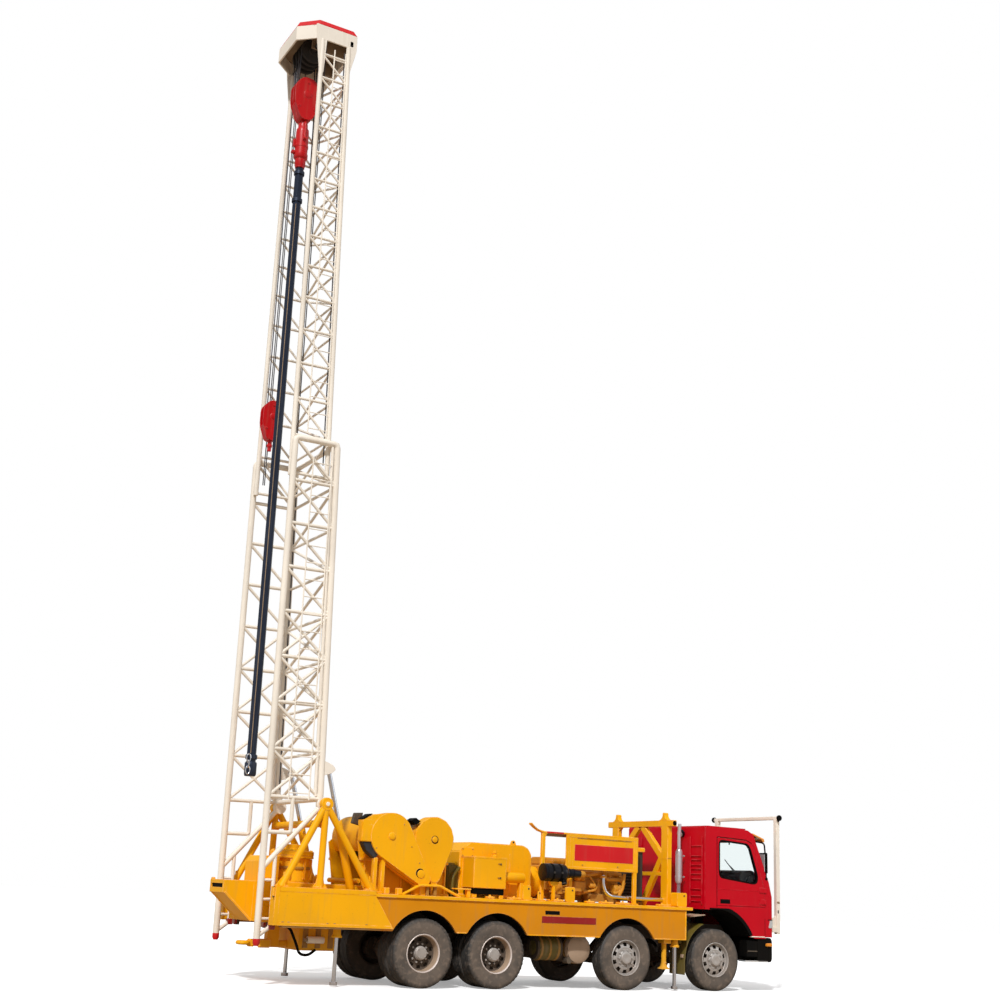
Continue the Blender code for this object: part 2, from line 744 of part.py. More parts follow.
def twin_wheels():
    """Four pairs of twin wheels on the bogie, rubber outside the rim's edge."""
    wheel = twin_wheel()
    for material in ("tyre_rubber", "rim_steel"):
        wheel.materials.append(finish(material))
    for face in wheel.polygons:
        centre = face.center
        face.material_index = int(hypot(centre.x, centre.z) < RIM_RADIUS)
    wheel.shade_smooth()
    wheel.set_sharp_from_angle(angle=radians(30))
    for number, axle in enumerate(BOGIE_AXLES, 1):
        for name, side in SIDES:
            label = f"{name}_{number}"
            hub = empty("twin_hub_" + label, (axle, side * TWIN_TRACK, TYRE_RADIUS))
            place("twin_wheel_" + label, wheel, parent=hub, turn=0 if side > 0 else pi)


def spring(middle, length, seat_z):
    """A pair of leaf springs from a seat on the axle up to the rails."""
    solids = []
    top = RAIL_BOTTOM - GAP
    for _, side in SIDES:
        y = side * SPRING_TRACK
        outline = [(middle - length / 2, top), (middle - length / 2, top - SPRING_THICKNESS),
                   (middle - length / 5, seat_z - SPRING_THICKNESS / 2),
                   (middle + length / 5, seat_z - SPRING_THICKNESS / 2),
                   (middle + length / 2, top - SPRING_THICKNESS), (middle + length / 2, top),
                   (middle + length / 2 - SPRING_THICKNESS, top),
                   (middle + length / 5, seat_z + SPRING_THICKNESS / 2),
                   (middle - length / 5, seat_z + SPRING_THICKNESS / 2),
                   (middle - length / 2 + SPRING_THICKNESS, top)]
        solids.append(flat(outline, y - SPRING_HALF, y + SPRING_HALF))
    return solids


def axles():
    """Two dropped front beams and the driven bogie, with their springs."""
    beam_z = TYRE_RADIUS - BEAM_DROP
    for number, axle in enumerate(STEER_AXLES, 1):
        reach = KINGPIN_TRACK - KINGPIN_RADIUS - GAP
        beam = block((axle - BEAM_HALF, -reach, beam_z - BEAM_HALF),
                     (axle + BEAM_HALF, reach, beam_z + BEAM_HALF))
        leaves = spring(axle, SPRING_LENGTH, beam_z + BEAM_HALF + SPRING_THICKNESS / 2 - SINK)
        part(f"front_axle_{number}", "chassis_steel", [beam] + leaves)
    solids = []
    half = (TWIN_PITCH + TWIN_WIDTH) / 2
    disc_back = TWIN_TRACK + half - REAR_DISC_INSET - DISC_THICKNESS - GAP
    for axle in BOGIE_AXLES:
        hub = (axle, 0, TYRE_RADIUS)
        solids.append(drum(hub, (0, 1, 0), BOGIE_TUBE, -disc_back, disc_back))
        solids.append(drum(hub, (0, 1, 0), BOGIE_GEARCASE, -BOGIE_GEARCASE, BOGIE_GEARCASE))
        for _, side in SIDES:
            solids.append(drum(hub, (0, side, 0), DRUM_RADIUS, TWIN_TRACK - half - DRUM_WIDTH / 2,
                               TWIN_TRACK - half + DRUM_WIDTH))
    shaft_low = (BOGIE_AXLES[1], 0, TYRE_RADIUS)
    shaft_high = (BOGIE_AXLES[0], 0, TYRE_RADIUS)
    solids.append(tube((shaft_low, shaft_high), BOGIE_TUBE, 8))
    seat = TYRE_RADIUS + BOGIE_TUBE + SPRING_THICKNESS / 2 - SINK
    top = RAIL_BOTTOM - GAP
    reach = BOGIE_SPREAD / 2 + BOGIE_TUBE
    for _, side in SIDES:
        y = side * SPRING_TRACK
        outline = [(BOGIE_MIDDLE - reach, seat - SPRING_THICKNESS / 2),
                   (BOGIE_MIDDLE + reach, seat - SPRING_THICKNESS / 2),
                   (BOGIE_MIDDLE + reach, seat + SPRING_THICKNESS / 2),
                   (BOGIE_MIDDLE + BOGIE_TUBE * 2, top), (BOGIE_MIDDLE - BOGIE_TUBE * 2, top),
                   (BOGIE_MIDDLE - reach, seat + SPRING_THICKNESS / 2)]
        solids.append(flat(outline, y - SPRING_HALF, y + SPRING_HALF))
    part("rear_bogie", "chassis_steel", solids)


def frame_rails():
    """The truck's rails with their ties, the subframe and the tanks that they carry."""
    solids = []
    for _, side in SIDES:
        y = side * SPRING_TRACK
        solids.append(block((RAIL_REAR, y - RAIL_HALF, RAIL_BOTTOM),
                            (RAIL_FRONT, y + RAIL_HALF, RAIL_TOP)))
        solids.append(block((RAIL_REAR, y - SUBFRAME_HALF, RAIL_TOP - SINK),
                            (SKIRT_FRONT, y + SUBFRAME_HALF, DECK_BOTTOM - GAP)))
    pitch = (RAIL_FRONT - RAIL_REAR - 2 * TIE_HALF) / (RAIL_TIES - 1)
    for number in range(RAIL_TIES):
        x = RAIL_REAR + TIE_HALF + number * pitch
        solids.append(block((x - TIE_HALF, -SPRING_TRACK, RAIL_BOTTOM + SINK),
                            (x + TIE_HALF, SPRING_TRACK, RAIL_TOP - SINK)))
    for x in (CAB_REAR + CAB_WALL + 2 * MOUNT_PAD_HALF, RAIL_FRONT - MOUNT_PAD_HALF):
        for _, side in SIDES:
            y = side * SPRING_TRACK
            solids.append(block((x - MOUNT_PAD_HALF, y - RAIL_HALF, RAIL_TOP - SINK),
                                (x + MOUNT_PAD_HALF, y + RAIL_HALF, CAB_UNDER - GAP)))
    z = RAIL_BOTTOM - TANK_DROP
    solids.append(drum((FUEL_X, 0, z), (0, 1, 0), FUEL_RADIUS, -FUEL_HALF, FUEL_HALF))
    middle = (AIR_TANK_REAR + AIR_TANK_FRONT) / 2
    for _, side in SIDES:
        y = side * AIR_TANK_TRACK
        solids.append(drum((0, y, z), (1, 0, 0), AIR_TANK_RADIUS, AIR_TANK_REAR, AIR_TANK_FRONT))
        inner = sorted((side * SPRING_TRACK, y))
        solids.append(block((middle - STRAP, inner[0], z), (middle + STRAP, inner[1],
                                                           RAIL_BOTTOM + SINK)))
    part("frame_rails", "chassis_steel", solids)


def arch_cut(axle, radius, low_y, high_y):
    """A round wheel arch through the skirts."""
    return drum((axle, 0, TYRE_RADIUS), (0, 1, 0), radius, low_y, high_y, WHEEL_STEPS)


def deck():
    """Deck plate, skirts with wheel arches, rear side boxes and the jacks' tubes."""
    solids = [block((SIDE_FRONT - SINK, -DECK_HALF, DECK_BOTTOM),
                    (DECK_FRONT, DECK_HALF, DECK_TOP))]
    cuts = []
    skirt_outer = DECK_HALF - SKIRT_INSET
    for _, side in SIDES:
        skirt = sorted((side * skirt_outer, side * (skirt_outer - SKIRT_WALL)))
        solids.append(block((SIDE_FRONT - SIDE_SLANT / 2, skirt[0], SKIRT_BOTTOM),
                            (SKIRT_FRONT, skirt[1], DECK_BOTTOM + SINK)))
        wall = sorted((side * DECK_HALF, side * (DECK_HALF - SIDE_WALL)))
        outline = [(SIDE_REAR, SIDE_BOTTOM), (SIDE_FRONT + SIDE_SLANT, SIDE_BOTTOM),
                   (SIDE_FRONT, DECK_BOTTOM + SINK), (SIDE_FRONT, SIDE_TOP),
                   (SIDE_REAR, SIDE_TOP)]
        solids.append(flat(outline, *wall))
        inner = sorted((side * (DECK_HALF - SIDE_WALL + SINK), side * SIDE_INNER))
        solids.append(block((SIDE_POCKET, inner[0], SIDE_BOTTOM + SINK),
                            (SIDE_FRONT, inner[1], SIDE_TOP - SINK)))
        for x, track in ((FRONT_JACK_X, JACK_TRACK), (REAR_JACK_X, REAR_JACK_TRACK)):
            foot = (x, side * track, 0)
            collar = JACK_TUBE_BOTTOM + JACK_COLLAR_HEIGHT
            solids.append(drum(foot, (0, 0, 1), JACK_TUBE, JACK_TUBE_BOTTOM, DECK_BOTTOM + SINK))
            solids.append(drum(foot, (0, 0, 1), JACK_COLLAR, JACK_TUBE_BOTTOM, collar))
            cuts.append(drum(foot, (0, 0, 1), JACK_ROD + 2 * GAP,
                             JACK_TUBE_BOTTOM - OVERRUN, JACK_BORE_TOP))
        leg = (LEG_X, side * LEG_TRACK, 0)
        solids.append(drum(leg, (0, 0, 1), LEG_RADIUS, LEG_BOTTOM, DECK_BOTTOM + SINK))
        solids.append(drum(leg, (0, 0, 1), LEG_FOOT, LEG_BOTTOM, LEG_BOTTOM + SINK * 2))
        near = sorted((side * (DECK_HALF + OVERRUN), side * (SIDE_INNER - OVERRUN)))
        for axle in (STEER_AXLES[1], *BOGIE_AXLES):
            cuts.append(arch_cut(axle, ARCH_RADIUS, *near))
        cuts.append(block((SLOT_X - SLOT_LENGTH / 2, near[0], DECK_BOTTOM - SLOT_DROP - SLOT_HEIGHT),
                          (SLOT_X + SLOT_LENGTH / 2, near[1], DECK_BOTTOM - SLOT_DROP)))
    part("deck", "yellow_paint", solids, cuts)


def tail_box():
    """The box between the mast's legs with its cabinet, gear house and towing hook."""
    outline = [(TAIL_FRONT, TAIL_BOTTOM), (TAIL_FRONT, DECK_BOTTOM - GAP),
               (SIDE_FRONT - SINK - GAP, DECK_BOTTOM - GAP), (SIDE_FRONT - SINK - GAP, TAIL_TOP),
               (TAIL_STEP, TAIL_TOP), (TAIL_STEP, TAIL_BOTTOM)]
    tongue_low = TAIL_BOTTOM + SINK / 2
    tongue_top = TAIL_TOP - SINK / 2
    tongue = [(TAIL_STEP + SINK, tongue_low), (TAIL_STEP + SINK, tongue_top),
              (TAIL_REAR, tongue_top), (TAIL_REAR, TAIL_LIP), (TAIL_TOE, tongue_low)]
    solids = [flat(outline, -TAIL_HALF, TAIL_HALF), flat(tongue, -TONGUE_HALF, TONGUE_HALF)]
    solids.append(block((CABINET_REAR, -CABINET_HALF, TAIL_TOP - SINK),
                        (CABINET_FRONT, CABINET_HALF, CABINET_TOP)))
    house = (GEAR_HOUSE_X, 0, TAIL_TOP - SINK)
    ring_low = GEAR_HOUSE_HEIGHT - 2 * GEAR_FLANGE_HEIGHT
    profile = ((0, GEAR_HOUSE_HEIGHT), (GEAR_HOUSE_RADIUS / 2, GEAR_HOUSE_HEIGHT),
               (GEAR_HOUSE_RADIUS / 2, ring_low + GEAR_FLANGE_HEIGHT),
               (GEAR_FLANGE, ring_low + GEAR_FLANGE_HEIGHT), (GEAR_FLANGE, ring_low),
               (GEAR_HOUSE_RADIUS, ring_low), (GEAR_HOUSE_RADIUS, 0), (0, 0))
    solids.append(turned(profile, house))
    solids.append(block((UNDER_HOUSE_REAR, -UNDER_HOUSE_HALF, TAIL_BOTTOM - UNDER_HOUSE_HEIGHT),
                        (UNDER_HOUSE_FRONT, UNDER_HOUSE_HALF, TAIL_BOTTOM + SINK)))
    solids.append(block((BRACKET_REAR, -HITCH_HALF - SINK, HITCH_Z),
                        (BRACKET_REAR + BRACKET_LENGTH, HITCH_HALF + SINK, TAIL_BOTTOM + SINK)))
    solids.append(block((HITCH_REAR, -HITCH_HALF, HITCH_Z - HITCH_HALF),
                        (UNDER_HOUSE_REAR + SINK, HITCH_HALF, HITCH_Z + HITCH_HALF)))
    ring = ((HITCH_RING, HITCH_BAR), (HITCH_RING, -HITCH_BAR),
            (HITCH_RING - 2 * HITCH_BAR, -HITCH_BAR), (HITCH_RING - 2 * HITCH_BAR, HITCH_BAR))
    solids.append(turned(ring, (HITCH_REAR - HITCH_RING + HITCH_BAR, 0, HITCH_Z), closed=True))
    cuts = [block((TAIL_REAR - OVERRUN, -TONGUE_HALF + OVERRUN, TAIL_TOP - TAIL_SLOT_DROP),
                  (TAIL_REAR + TAIL_SLOT, TONGUE_HALF - OVERRUN,
                   TAIL_TOP - TAIL_SLOT_DROP + 2 * TAIL_SLOT))]
    for _, side in SIDES:
        y = sorted((side * (TAIL_HALF - SINK), side * (RAM_TRACK - RAM_EYE_HALF - GAP)))
        solids.append(block((RAM_BASE_X - RAM_BARREL, y[0], RAM_BASE_Z - RAM_BARREL),
                            (RAM_BASE_X + RAM_BARREL, y[1], RAM_BASE_Z + RAM_BARREL)))
    part("tail_box", "yellow_paint", solids, cuts)


def jacks():
    """Four levelling legs: a bright rod with its foot, which slides up its tube."""
    for end, x, track in (("front", FRONT_JACK_X, JACK_TRACK),
                          ("rear", REAR_JACK_X, REAR_JACK_TRACK)):
        for name, side in SIDES:
            foot_top = JACK_LIFT + JACK_FOOT_HEIGHT
            profile = ((0, JACK_ROD_TOP), (JACK_ROD, JACK_ROD_TOP), (JACK_ROD, foot_top),
                       (JACK_FOOT_RADIUS, foot_top), (JACK_FOOT_RADIUS, JACK_LIFT), (0, JACK_LIFT))
            place_x = (x, side * track, 0)
            part(f"jack_leg_{end}_{name}", "chrome", [turned(profile, place_x)], origin=place_x)


def a_frames():
    """The two pivot frames of the mast and the tube that ties them."""
    solids = []
    for _, side in SIDES:
        y = side * FRAME_TRACK
        for foot_x in (FRAME_FOOT_REAR, FRAME_FOOT_MIDDLE, FRAME_FOOT_FRONT):
            foot_z = SIDE_TOP + GAP
            solids.append(tube(((foot_x, y, foot_z + SINK), (PIVOT_X, y, PIVOT_Z)), FRAME_TUBE, 8))
            solids.append(block((foot_x - FRAME_SOLE, y - FRAME_SOLE / 2, foot_z - SINK),
                                (foot_x + FRAME_SOLE, y + FRAME_SOLE / 2,
                                 foot_z + FRAME_SOLE_HEIGHT)))
        solids.append(drum((PIVOT_X, y, PIVOT_Z), (0, 1, 0), APEX_RADIUS, -APEX_HALF, APEX_HALF))
    cross_z = PIVOT_Z - CROSS_DROP
    solids.append(tube(((PIVOT_X, -FRAME_TRACK, cross_z), (PIVOT_X, FRAME_TRACK, cross_z)),
                       CROSS_TUBE, 8))
    floor = SIDE_TOP + GAP
    under = block((FRAME_FOOT_REAR - 2 * FRAME_SOLE, -DECK_HALF, floor - CROSS_DROP),
                  (FRAME_FOOT_FRONT + 2 * FRAME_SOLE, DECK_HALF, floor))
    part("a_frames", "yellow_paint", solids, [under])


def lean():
    """The mast's frame: at the pivot, tipped to the rear."""
    joint = empty("mast_pivot", (PIVOT_X, 0, PIVOT_Z))
    joint.rotation_euler.y = -radians(MAST_LEAN)
    return joint


def between(low, high, share):
    """The place at a share of the way from low to high."""
    return low + (high - low) * share


def lower_front(z):
    """x of the lower section's front chord at a height."""
    return between(LOWER_FOOT_X, LOWER_HEAD_X, z / LOWER_HEAD)


def upper_share(z):
    """How far up the upper section a height is."""
    return (z - UPPER_FOOT) / (UPPER_HEAD - UPPER_FOOT)


def upper_front(z):
    """x of the upper section's front chord at a height."""
    return between(UPPER_FOOT_X, UPPER_HEAD_X, upper_share(z))


def upper_half(z):
    """Half the upper section's width at a height."""
    return between(UPPER_FOOT_HALF, UPPER_HEAD_HALF, upper_share(z))


def panel_heights(low, high, count, shrink):
    """Heights of the horizontals, each panel a little lower than the one below."""
    steps = [shrink ** number for number in range(count)]
    heights = [low]
    for step in steps:
        heights.append(heights[-1] + (high - low) * step / sum(steps))
    return heights


def lower_side(side, heights):
    """One side of the lower section with its leg below the pivot."""
    y = side * MAST_HALF

    def bar(a, b, radius=BRACE_RADIUS, sides=BRACE_SIDES):
        return tube(((a[0], y, a[1]), (b[0], y, b[1])), radius, sides)

    rear = REAR_CHORD_X
    solids = [bar((rear, LEG_FOOT_Z), (rear, LOWER_HEAD), CHORD_RADIUS, 8),
              bar((LOWER_FOOT_X, 0), (LOWER_HEAD_X, LOWER_HEAD), CHORD_RADIUS, 8)]
    for number, (low, high) in enumerate(zip(heights, heights[1:])):
        solids.append(bar((rear, low), (lower_front(low), low)))
        solids.append(bar((rear, high), (lower_front(low), low)))
        if number < CROSSED_PANELS:
            solids.append(bar((rear, low), (lower_front(high), high)))
    solids.append(bar((rear, heights[-1]), (lower_front(heights[-1]), heights[-1]), RING_RADIUS, 8))
    solids.append(turned(((0, 0), (CHORD_RADIUS, 0), (LEG_TIP_RADIUS, -LEG_TIP), (0, -LEG_TIP)),
                         (rear, y, LEG_FOOT_Z + SINK / 2), steps=8))
    outward = (0, side, 0)
    reach = FRAME_TRACK - APEX_HALF - GAP - MAST_HALF
    solids.append(drum((0, y, 0), outward, LUG_RADIUS, -LUG_HALF, LUG_HALF))
    solids.append(drum((0, y, 0), outward, BOSS_RADIUS, 0, reach))
    solids.append(bar((0, 0), (rear, KNEE_Z), LADDER_TUBE + SINK, 8))
    solids.append(bar((DROP_X, LOWER_START), (DROP_X, DROP_Z), LADDER_TUBE, 8))
    solids.append(bar((DROP_X, DROP_Z), (rear, DROP_Z), LADDER_TUBE, 8))
    bend = ((RAIL_X, y, RAIL_HEAD_Z), (RAIL_X, y, RAIL_BEND_Z), (rear, y, RAIL_FOOT_Z))
    solids.append(tube(bend, LADDER_TUBE, 8))
    for number in range(RUNGS):
        z = RUNG_TOP - number * RUNG_PITCH
        solids.append(bar((rear, z), (RAIL_X, z)))
    plate = sorted((y - side * RAM_LUG_HALF, y + side * RAM_LUG_HALF))
    outline = [(LOWER_FOOT_X, RAM_LUG_Z - 2 * RAM_LUG_RADIUS), (RAM_LUG_X, RAM_LUG_Z - RAM_LUG_RADIUS),
               (RAM_LUG_X + RAM_LUG_RADIUS, RAM_LUG_Z), (RAM_LUG_X, RAM_LUG_Z + RAM_LUG_RADIUS),
               (LOWER_FOOT_X, RAM_LUG_Z + 2 * RAM_LUG_RADIUS)]
    solids.append(flat(outline, *plate))
    return solids


def cross_face(heights, front, half, radius, heavy, crossed):
    """The face between the front chords: horizontals with braces that end on them."""
    solids = []
    for number, z in enumerate(heights):
        reach = half(z)
        thick = heavy if number in (0, len(heights) - 1) else radius
        solids.append(tube(((front(z), -reach, z), (front(z), reach, z)), thick, BRACE_SIDES))
    inset = 4 * radius
    for number, (low, high) in enumerate(zip(heights, heights[1:])):
        sides = (-1, 1) if number < crossed else ((-1) ** number,)
        for side in sides:
            step = side * radius / 3
            solids.append(tube(((front(low) + step, side * (half(low) - inset), low),
                                (front(high) + step, -side * (half(high) - inset), high)),
                               radius, BRACE_SIDES))
    return solids


def mast(joint):
    """Both lattice sections, each as two sides and the face towards the cab."""
    heights = panel_heights(LOWER_START, LOWER_HEAD - RING_RADIUS, LOWER_PANELS, 1)
    for name, side in SIDES:
        part("mast_lower_" + name, "white_paint", lower_side(side, heights), parent=joint)
    clear = [tube(((LOWER_FOOT_X, side * MAST_HALF, 0),
                   (LOWER_HEAD_X, side * MAST_HALF, LOWER_HEAD)), CHORD_RADIUS + 2 * GAP, 8)
             for side in (-1, 1)]
    clear += [tube(((REAR_CHORD_X, side * MAST_HALF, heights[-1]),
                    (LOWER_HEAD_X, side * MAST_HALF, heights[-1])), RING_RADIUS + 2 * GAP, 8)
              for side in (-1, 1)]
    lugs = [drum((0, side * MAST_HALF, 0), (0, 1, 0), LUG_RADIUS + GAP, -LUG_HALF - GAP,
                 LUG_HALF + GAP) for side in (-1, 1)]
    plates = [block((LOWER_FOOT_X - OVERRUN, side * MAST_HALF - RAM_LUG_HALF - GAP,
                     RAM_LUG_Z - 2 * RAM_LUG_RADIUS - GAP),
                    (RAM_LUG_X, side * MAST_HALF + RAM_LUG_HALF + GAP,
                     RAM_LUG_Z + 2 * RAM_LUG_RADIUS + GAP)) for side in (-1, 1)]
    face = cross_face(heights, lower_front, lambda z: MAST_HALF, BRACE_RADIUS, RING_RADIUS,
                      CROSSED_PANELS)
    part("mast_lower_face", "white_paint", face, clear + lugs + plates, parent=joint)

    heights = panel_heights(UPPER_FOOT + UPPER_CHORD, UPPER_HEAD, UPPER_PANELS, UPPER_SHRINK)
    top = CROWN_BOTTOM - GAP
    for name, side in SIDES:
        chords = [(REAR_CHORD_X, REAR_CHORD_X), (UPPER_FOOT_X, upper_front(top))]
        solids = [tube(((x_low, side * UPPER_FOOT_HALF, UPPER_FOOT),
                        (x_high, side * upper_half(top), top)), UPPER_CHORD, 8)
                  for x_low, x_high in chords]
        for low, high in zip(heights, heights[1:]):
            y_low = side * upper_half(low)
            y_high = side * upper_half(high)
            solids.append(tube(((REAR_CHORD_X, y_low, low), (upper_front(low), y_low, low)),
                               UPPER_BRACE, BRACE_SIDES))
            solids.append(tube(((REAR_CHORD_X, y_high, high), (upper_front(low), y_low, low)),
                               UPPER_BRACE, BRACE_SIDES))
        y_top = side * upper_half(heights[-1])
        solids.append(tube(((REAR_CHORD_X, y_top, heights[-1]),
                            (upper_front(heights[-1]), y_top, heights[-1])), UPPER_BRACE, BRACE_SIDES))
        pad = sorted((side * UPPER_FOOT_HALF, side * (MAST_HALF - CHORD_RADIUS - GAP)))
        solids.append(block((REAR_CHORD_X - PAD_HALF, pad[0], UPPER_FOOT + SINK),
                            (REAR_CHORD_X + PAD_HALF, pad[1], UPPER_FOOT + PAD_HEIGHT)))
        cap = block((REAR_CHORD_X - LUG_RADIUS, -MAST_HALF, top),
                    (UPPER_HEAD_X + LUG_RADIUS * 2, MAST_HALF, top + OVERRUN))
        part("mast_upper_" + name, "white_paint", solids, [cap], parent=joint)
    clear = [tube(((UPPER_FOOT_X, side * UPPER_FOOT_HALF, UPPER_FOOT),
                   (upper_front(top), side * upper_half(top), top)), UPPER_CHORD + 2 * GAP, 8)
             for side in (-1, 1)]
    face = cross_face(heights, upper_front, upper_half, UPPER_BRACE, UPPER_BRACE, 0)
    part("mast_upper_face", "white_paint", face, clear, parent=joint)


def crown(joint):
    """The crown: a box open below, its sheaves on one axle, gussets to the chords."""
    def plan(inset):
        return [(CROWN_FRONT - inset, -CROWN_HALF + inset), (CROWN_FRONT - inset, CROWN_HALF - inset),
                (CROWN_SHOULDER, CROWN_HALF - inset), (CROWN_REAR + inset, CROWN_REAR_HALF - inset),
                (CROWN_REAR + inset, -CROWN_REAR_HALF + inset), (CROWN_SHOULDER, -CROWN_HALF + inset)]

    top = CROWN_BOTTOM + CROWN_HEIGHT
    skin = part("crown_skin", "white_paint", [flat(plan(0), CROWN_BOTTOM, top, "XY")],
                [flat(plan(CROWN_WALL), CROWN_BOTTOM - OVERRUN, top - CROWN_WALL, "XY")])
    solids = [skin.data.copy()]
    bpy.data.objects.remove(skin, do_unlink=True)
    axle_z = CROWN_BOTTOM + SHEAVE_AXLE
    reach = CROWN_HALF - CROWN_WALL / 2
    solids.append(tube(((HANG_X, -reach, axle_z), (HANG_X, reach, axle_z)), SHEAVE_AXLE, 8))
    for number in range(SHEAVES):
        y = (number - (SHEAVES - 1) / 2) * SHEAVE_PITCH
        solids.append(drum((HANG_X, y, axle_z), (0, 1, 0), SHEAVE_RADIUS,
                           -SHEAVE_THICKNESS / 2, SHEAVE_THICKNESS / 2))
    solids.append(drum((HANG_X, WINCH_HOOK_Y, axle_z), (0, 1, 0), WINCH_SHEAVE,
                       -SHEAVE_THICKNESS / 2, SHEAVE_THICKNESS / 2))
    for side in (-1, 1):
        outer = sorted((side * CROWN_HALF, side * (CROWN_HALF - GUSSET_THICKNESS)))
        outline = [(REAR_CHORD_X - UPPER_CHORD - GAP, CROWN_BOTTOM + SINK),
                   (REAR_CHORD_X - UPPER_CHORD - GAP, CROWN_BOTTOM - GUSSET_DROP),
                   (CROWN_SHOULDER, CROWN_BOTTOM - GUSSET_DROP / 2),
                   (CROWN_SHOULDER - 3 * GUSSET_THICKNESS, CROWN_BOTTOM + SINK)]
        solids.append(flat(outline, *outer))
    part("crown", "white_paint", solids, parent=joint)


def hoist_string(joint):
    """Travelling block with its lines, hook and swivel, the kelly and the winch hook."""
    block_low = BLOCK_TOP - BLOCK_HEIGHT
    cheek = [(HANG_X + u * BLOCK_WIDTH, BLOCK_TOP + v * BLOCK_HEIGHT) for u, v in BLOCK_SHARES]
    solids = [flat(cheek, -BLOCK_HALF, BLOCK_HALF)]
    cuts = [block((HANG_X - BLOCK_WIDTH, -BLOCK_SLOT, BLOCK_TOP - BLOCK_HEIGHT / 3),
                  (HANG_X + BLOCK_WIDTH, BLOCK_SLOT, BLOCK_TOP + OVERRUN))]
    swivel = ((0, block_low + SINK), (KELLY_RADIUS, block_low + SINK), (KELLY_RADIUS, SWIVEL_TOP),
              (SWIVEL_RADIUS, SWIVEL_TOP - SWIVEL_RADIUS),
              (SWIVEL_RADIUS, SWIVEL_BOTTOM + SWIVEL_RADIUS), (KELLY_RADIUS, SWIVEL_BOTTOM),
              (0, SWIVEL_BOTTOM))
    solids.append(turned(swivel, (HANG_X, 0, 0)))
    sheave_bottom = CROWN_BOTTOM + SHEAVE_AXLE - SHEAVE_RADIUS
    for side in (-1, 1):
        y = side * SHEAVE_PITCH / 2
        solids.append(tube(((HANG_X, y, BLOCK_TOP - BLOCK_HEIGHT / 4),
                            (HANG_X, y, sheave_bottom - GAP)), LINE_RADIUS))
    part("travelling_block", "block_red", solids, cuts, parent=joint)

    sub_top = KELLY_BOTTOM + KELLY_SUB_HEIGHT
    profile = ((0, SWIVEL_BOTTOM - GAP), (KELLY_RADIUS, SWIVEL_BOTTOM - GAP), (KELLY_RADIUS, sub_top),
               (KELLY_SUB_RADIUS, sub_top), (KELLY_SUB_RADIUS, KELLY_BOTTOM), (0, KELLY_BOTTOM))
    part("kelly", "kelly_steel", [turned(profile, (HANG_X, 0, 0), steps=6)], parent=joint)

    cheek = [(HANG_X + u * WINCH_HOOK_WIDTH, WINCH_HOOK_TOP + v * WINCH_HOOK_HEIGHT)
             for u, v in BLOCK_SHARES]
    y = WINCH_HOOK_Y
    low = WINCH_HOOK_TOP - WINCH_HOOK_HEIGHT
    solids = [flat(cheek, y - WINCH_HOOK_HALF, y + WINCH_HOOK_HALF),
              drum((HANG_X, y, 0), (0, 0, 1), LINE_RADIUS * 3, low - WINCH_TIP, low + SINK)]
    solids.append(tube(((HANG_X, y, WINCH_HOOK_TOP - SINK),
                        (HANG_X, y, CROWN_BOTTOM + SHEAVE_AXLE - WINCH_SHEAVE - GAP)),
                       LINE_RADIUS))
    part("winch_hook", "block_red", solids, parent=joint)


def rams():
    """The two raising rams, from the tail box to the lugs on the mast."""
    tilt = radians(MAST_LEAN)
    pin_x = PIVOT_X + RAM_LUG_X * cos(tilt) - RAM_LUG_Z * sin(tilt)
    pin_z = PIVOT_Z + RAM_LUG_X * sin(tilt) + RAM_LUG_Z * cos(tilt)
    reach = hypot(pin_x - RAM_BASE_X, pin_z - RAM_BASE_Z)
    angle = atan2(pin_x - RAM_BASE_X, pin_z - RAM_BASE_Z)
    for name, side in SIDES:
        base = empty("ram_base_" + name, (RAM_BASE_X, side * RAM_TRACK, RAM_BASE_Z))
        base.rotation_euler.y = angle
        bore = RAM_ROD + 2 * GAP
        floor = RAM_NECK + RAM_FLOOR
        profile = ((0, floor), (bore, floor), (bore, RAM_LENGTH), (RAM_BARREL, RAM_LENGTH),
                   (RAM_BARREL, RAM_NECK), (0, RAM_NECK))
        neck = drum((0, 0, 0), (0, 0, 1), RAM_NECK_RADIUS, 0, RAM_NECK + SINK)
        eye = drum((0, 0, 0), (0, 1, 0), RAM_EYE, -RAM_EYE_HALF, RAM_EYE_HALF)
        part("ram_barrel_" + name, "yellow_paint", [turned(profile), neck, eye], parent=base)
        rod = drum((0, 0, 0), (0, 0, 1), RAM_ROD, reach - RAM_ROD_LENGTH, reach)
        eye = drum((0, 0, reach), (0, 1, 0), RAM_EYE, -RAM_EYE_HALF, RAM_EYE_HALF)
        part("ram_rod_" + name, "chrome", [rod, eye], parent=base)


def teardrop(head, head_radius, toe, toe_radius):
    """The outline round two circles, as a belt lies round two pulleys."""
    run = Vector((toe[0] - head[0], toe[1] - head[1]))
    heading = atan2(run.y, run.x)
    open_angle = pi / 2 - (pi / 2 - atan2((head_radius - toe_radius), run.length))
    points = []
    for centre, radius, start, sweep in (
            (head, head_radius, heading + pi / 2 - open_angle, pi + 2 * open_angle),
            (toe, toe_radius, heading - pi / 2 + open_angle, pi - 2 * open_angle)):
        for number in range(ROUND_STEPS // 2 + 1):
            angle = start + sweep * number / (ROUND_STEPS // 2)
            points.append((centre[0] + radius * cos(angle), centre[1] + radius * sin(angle)))
    return points


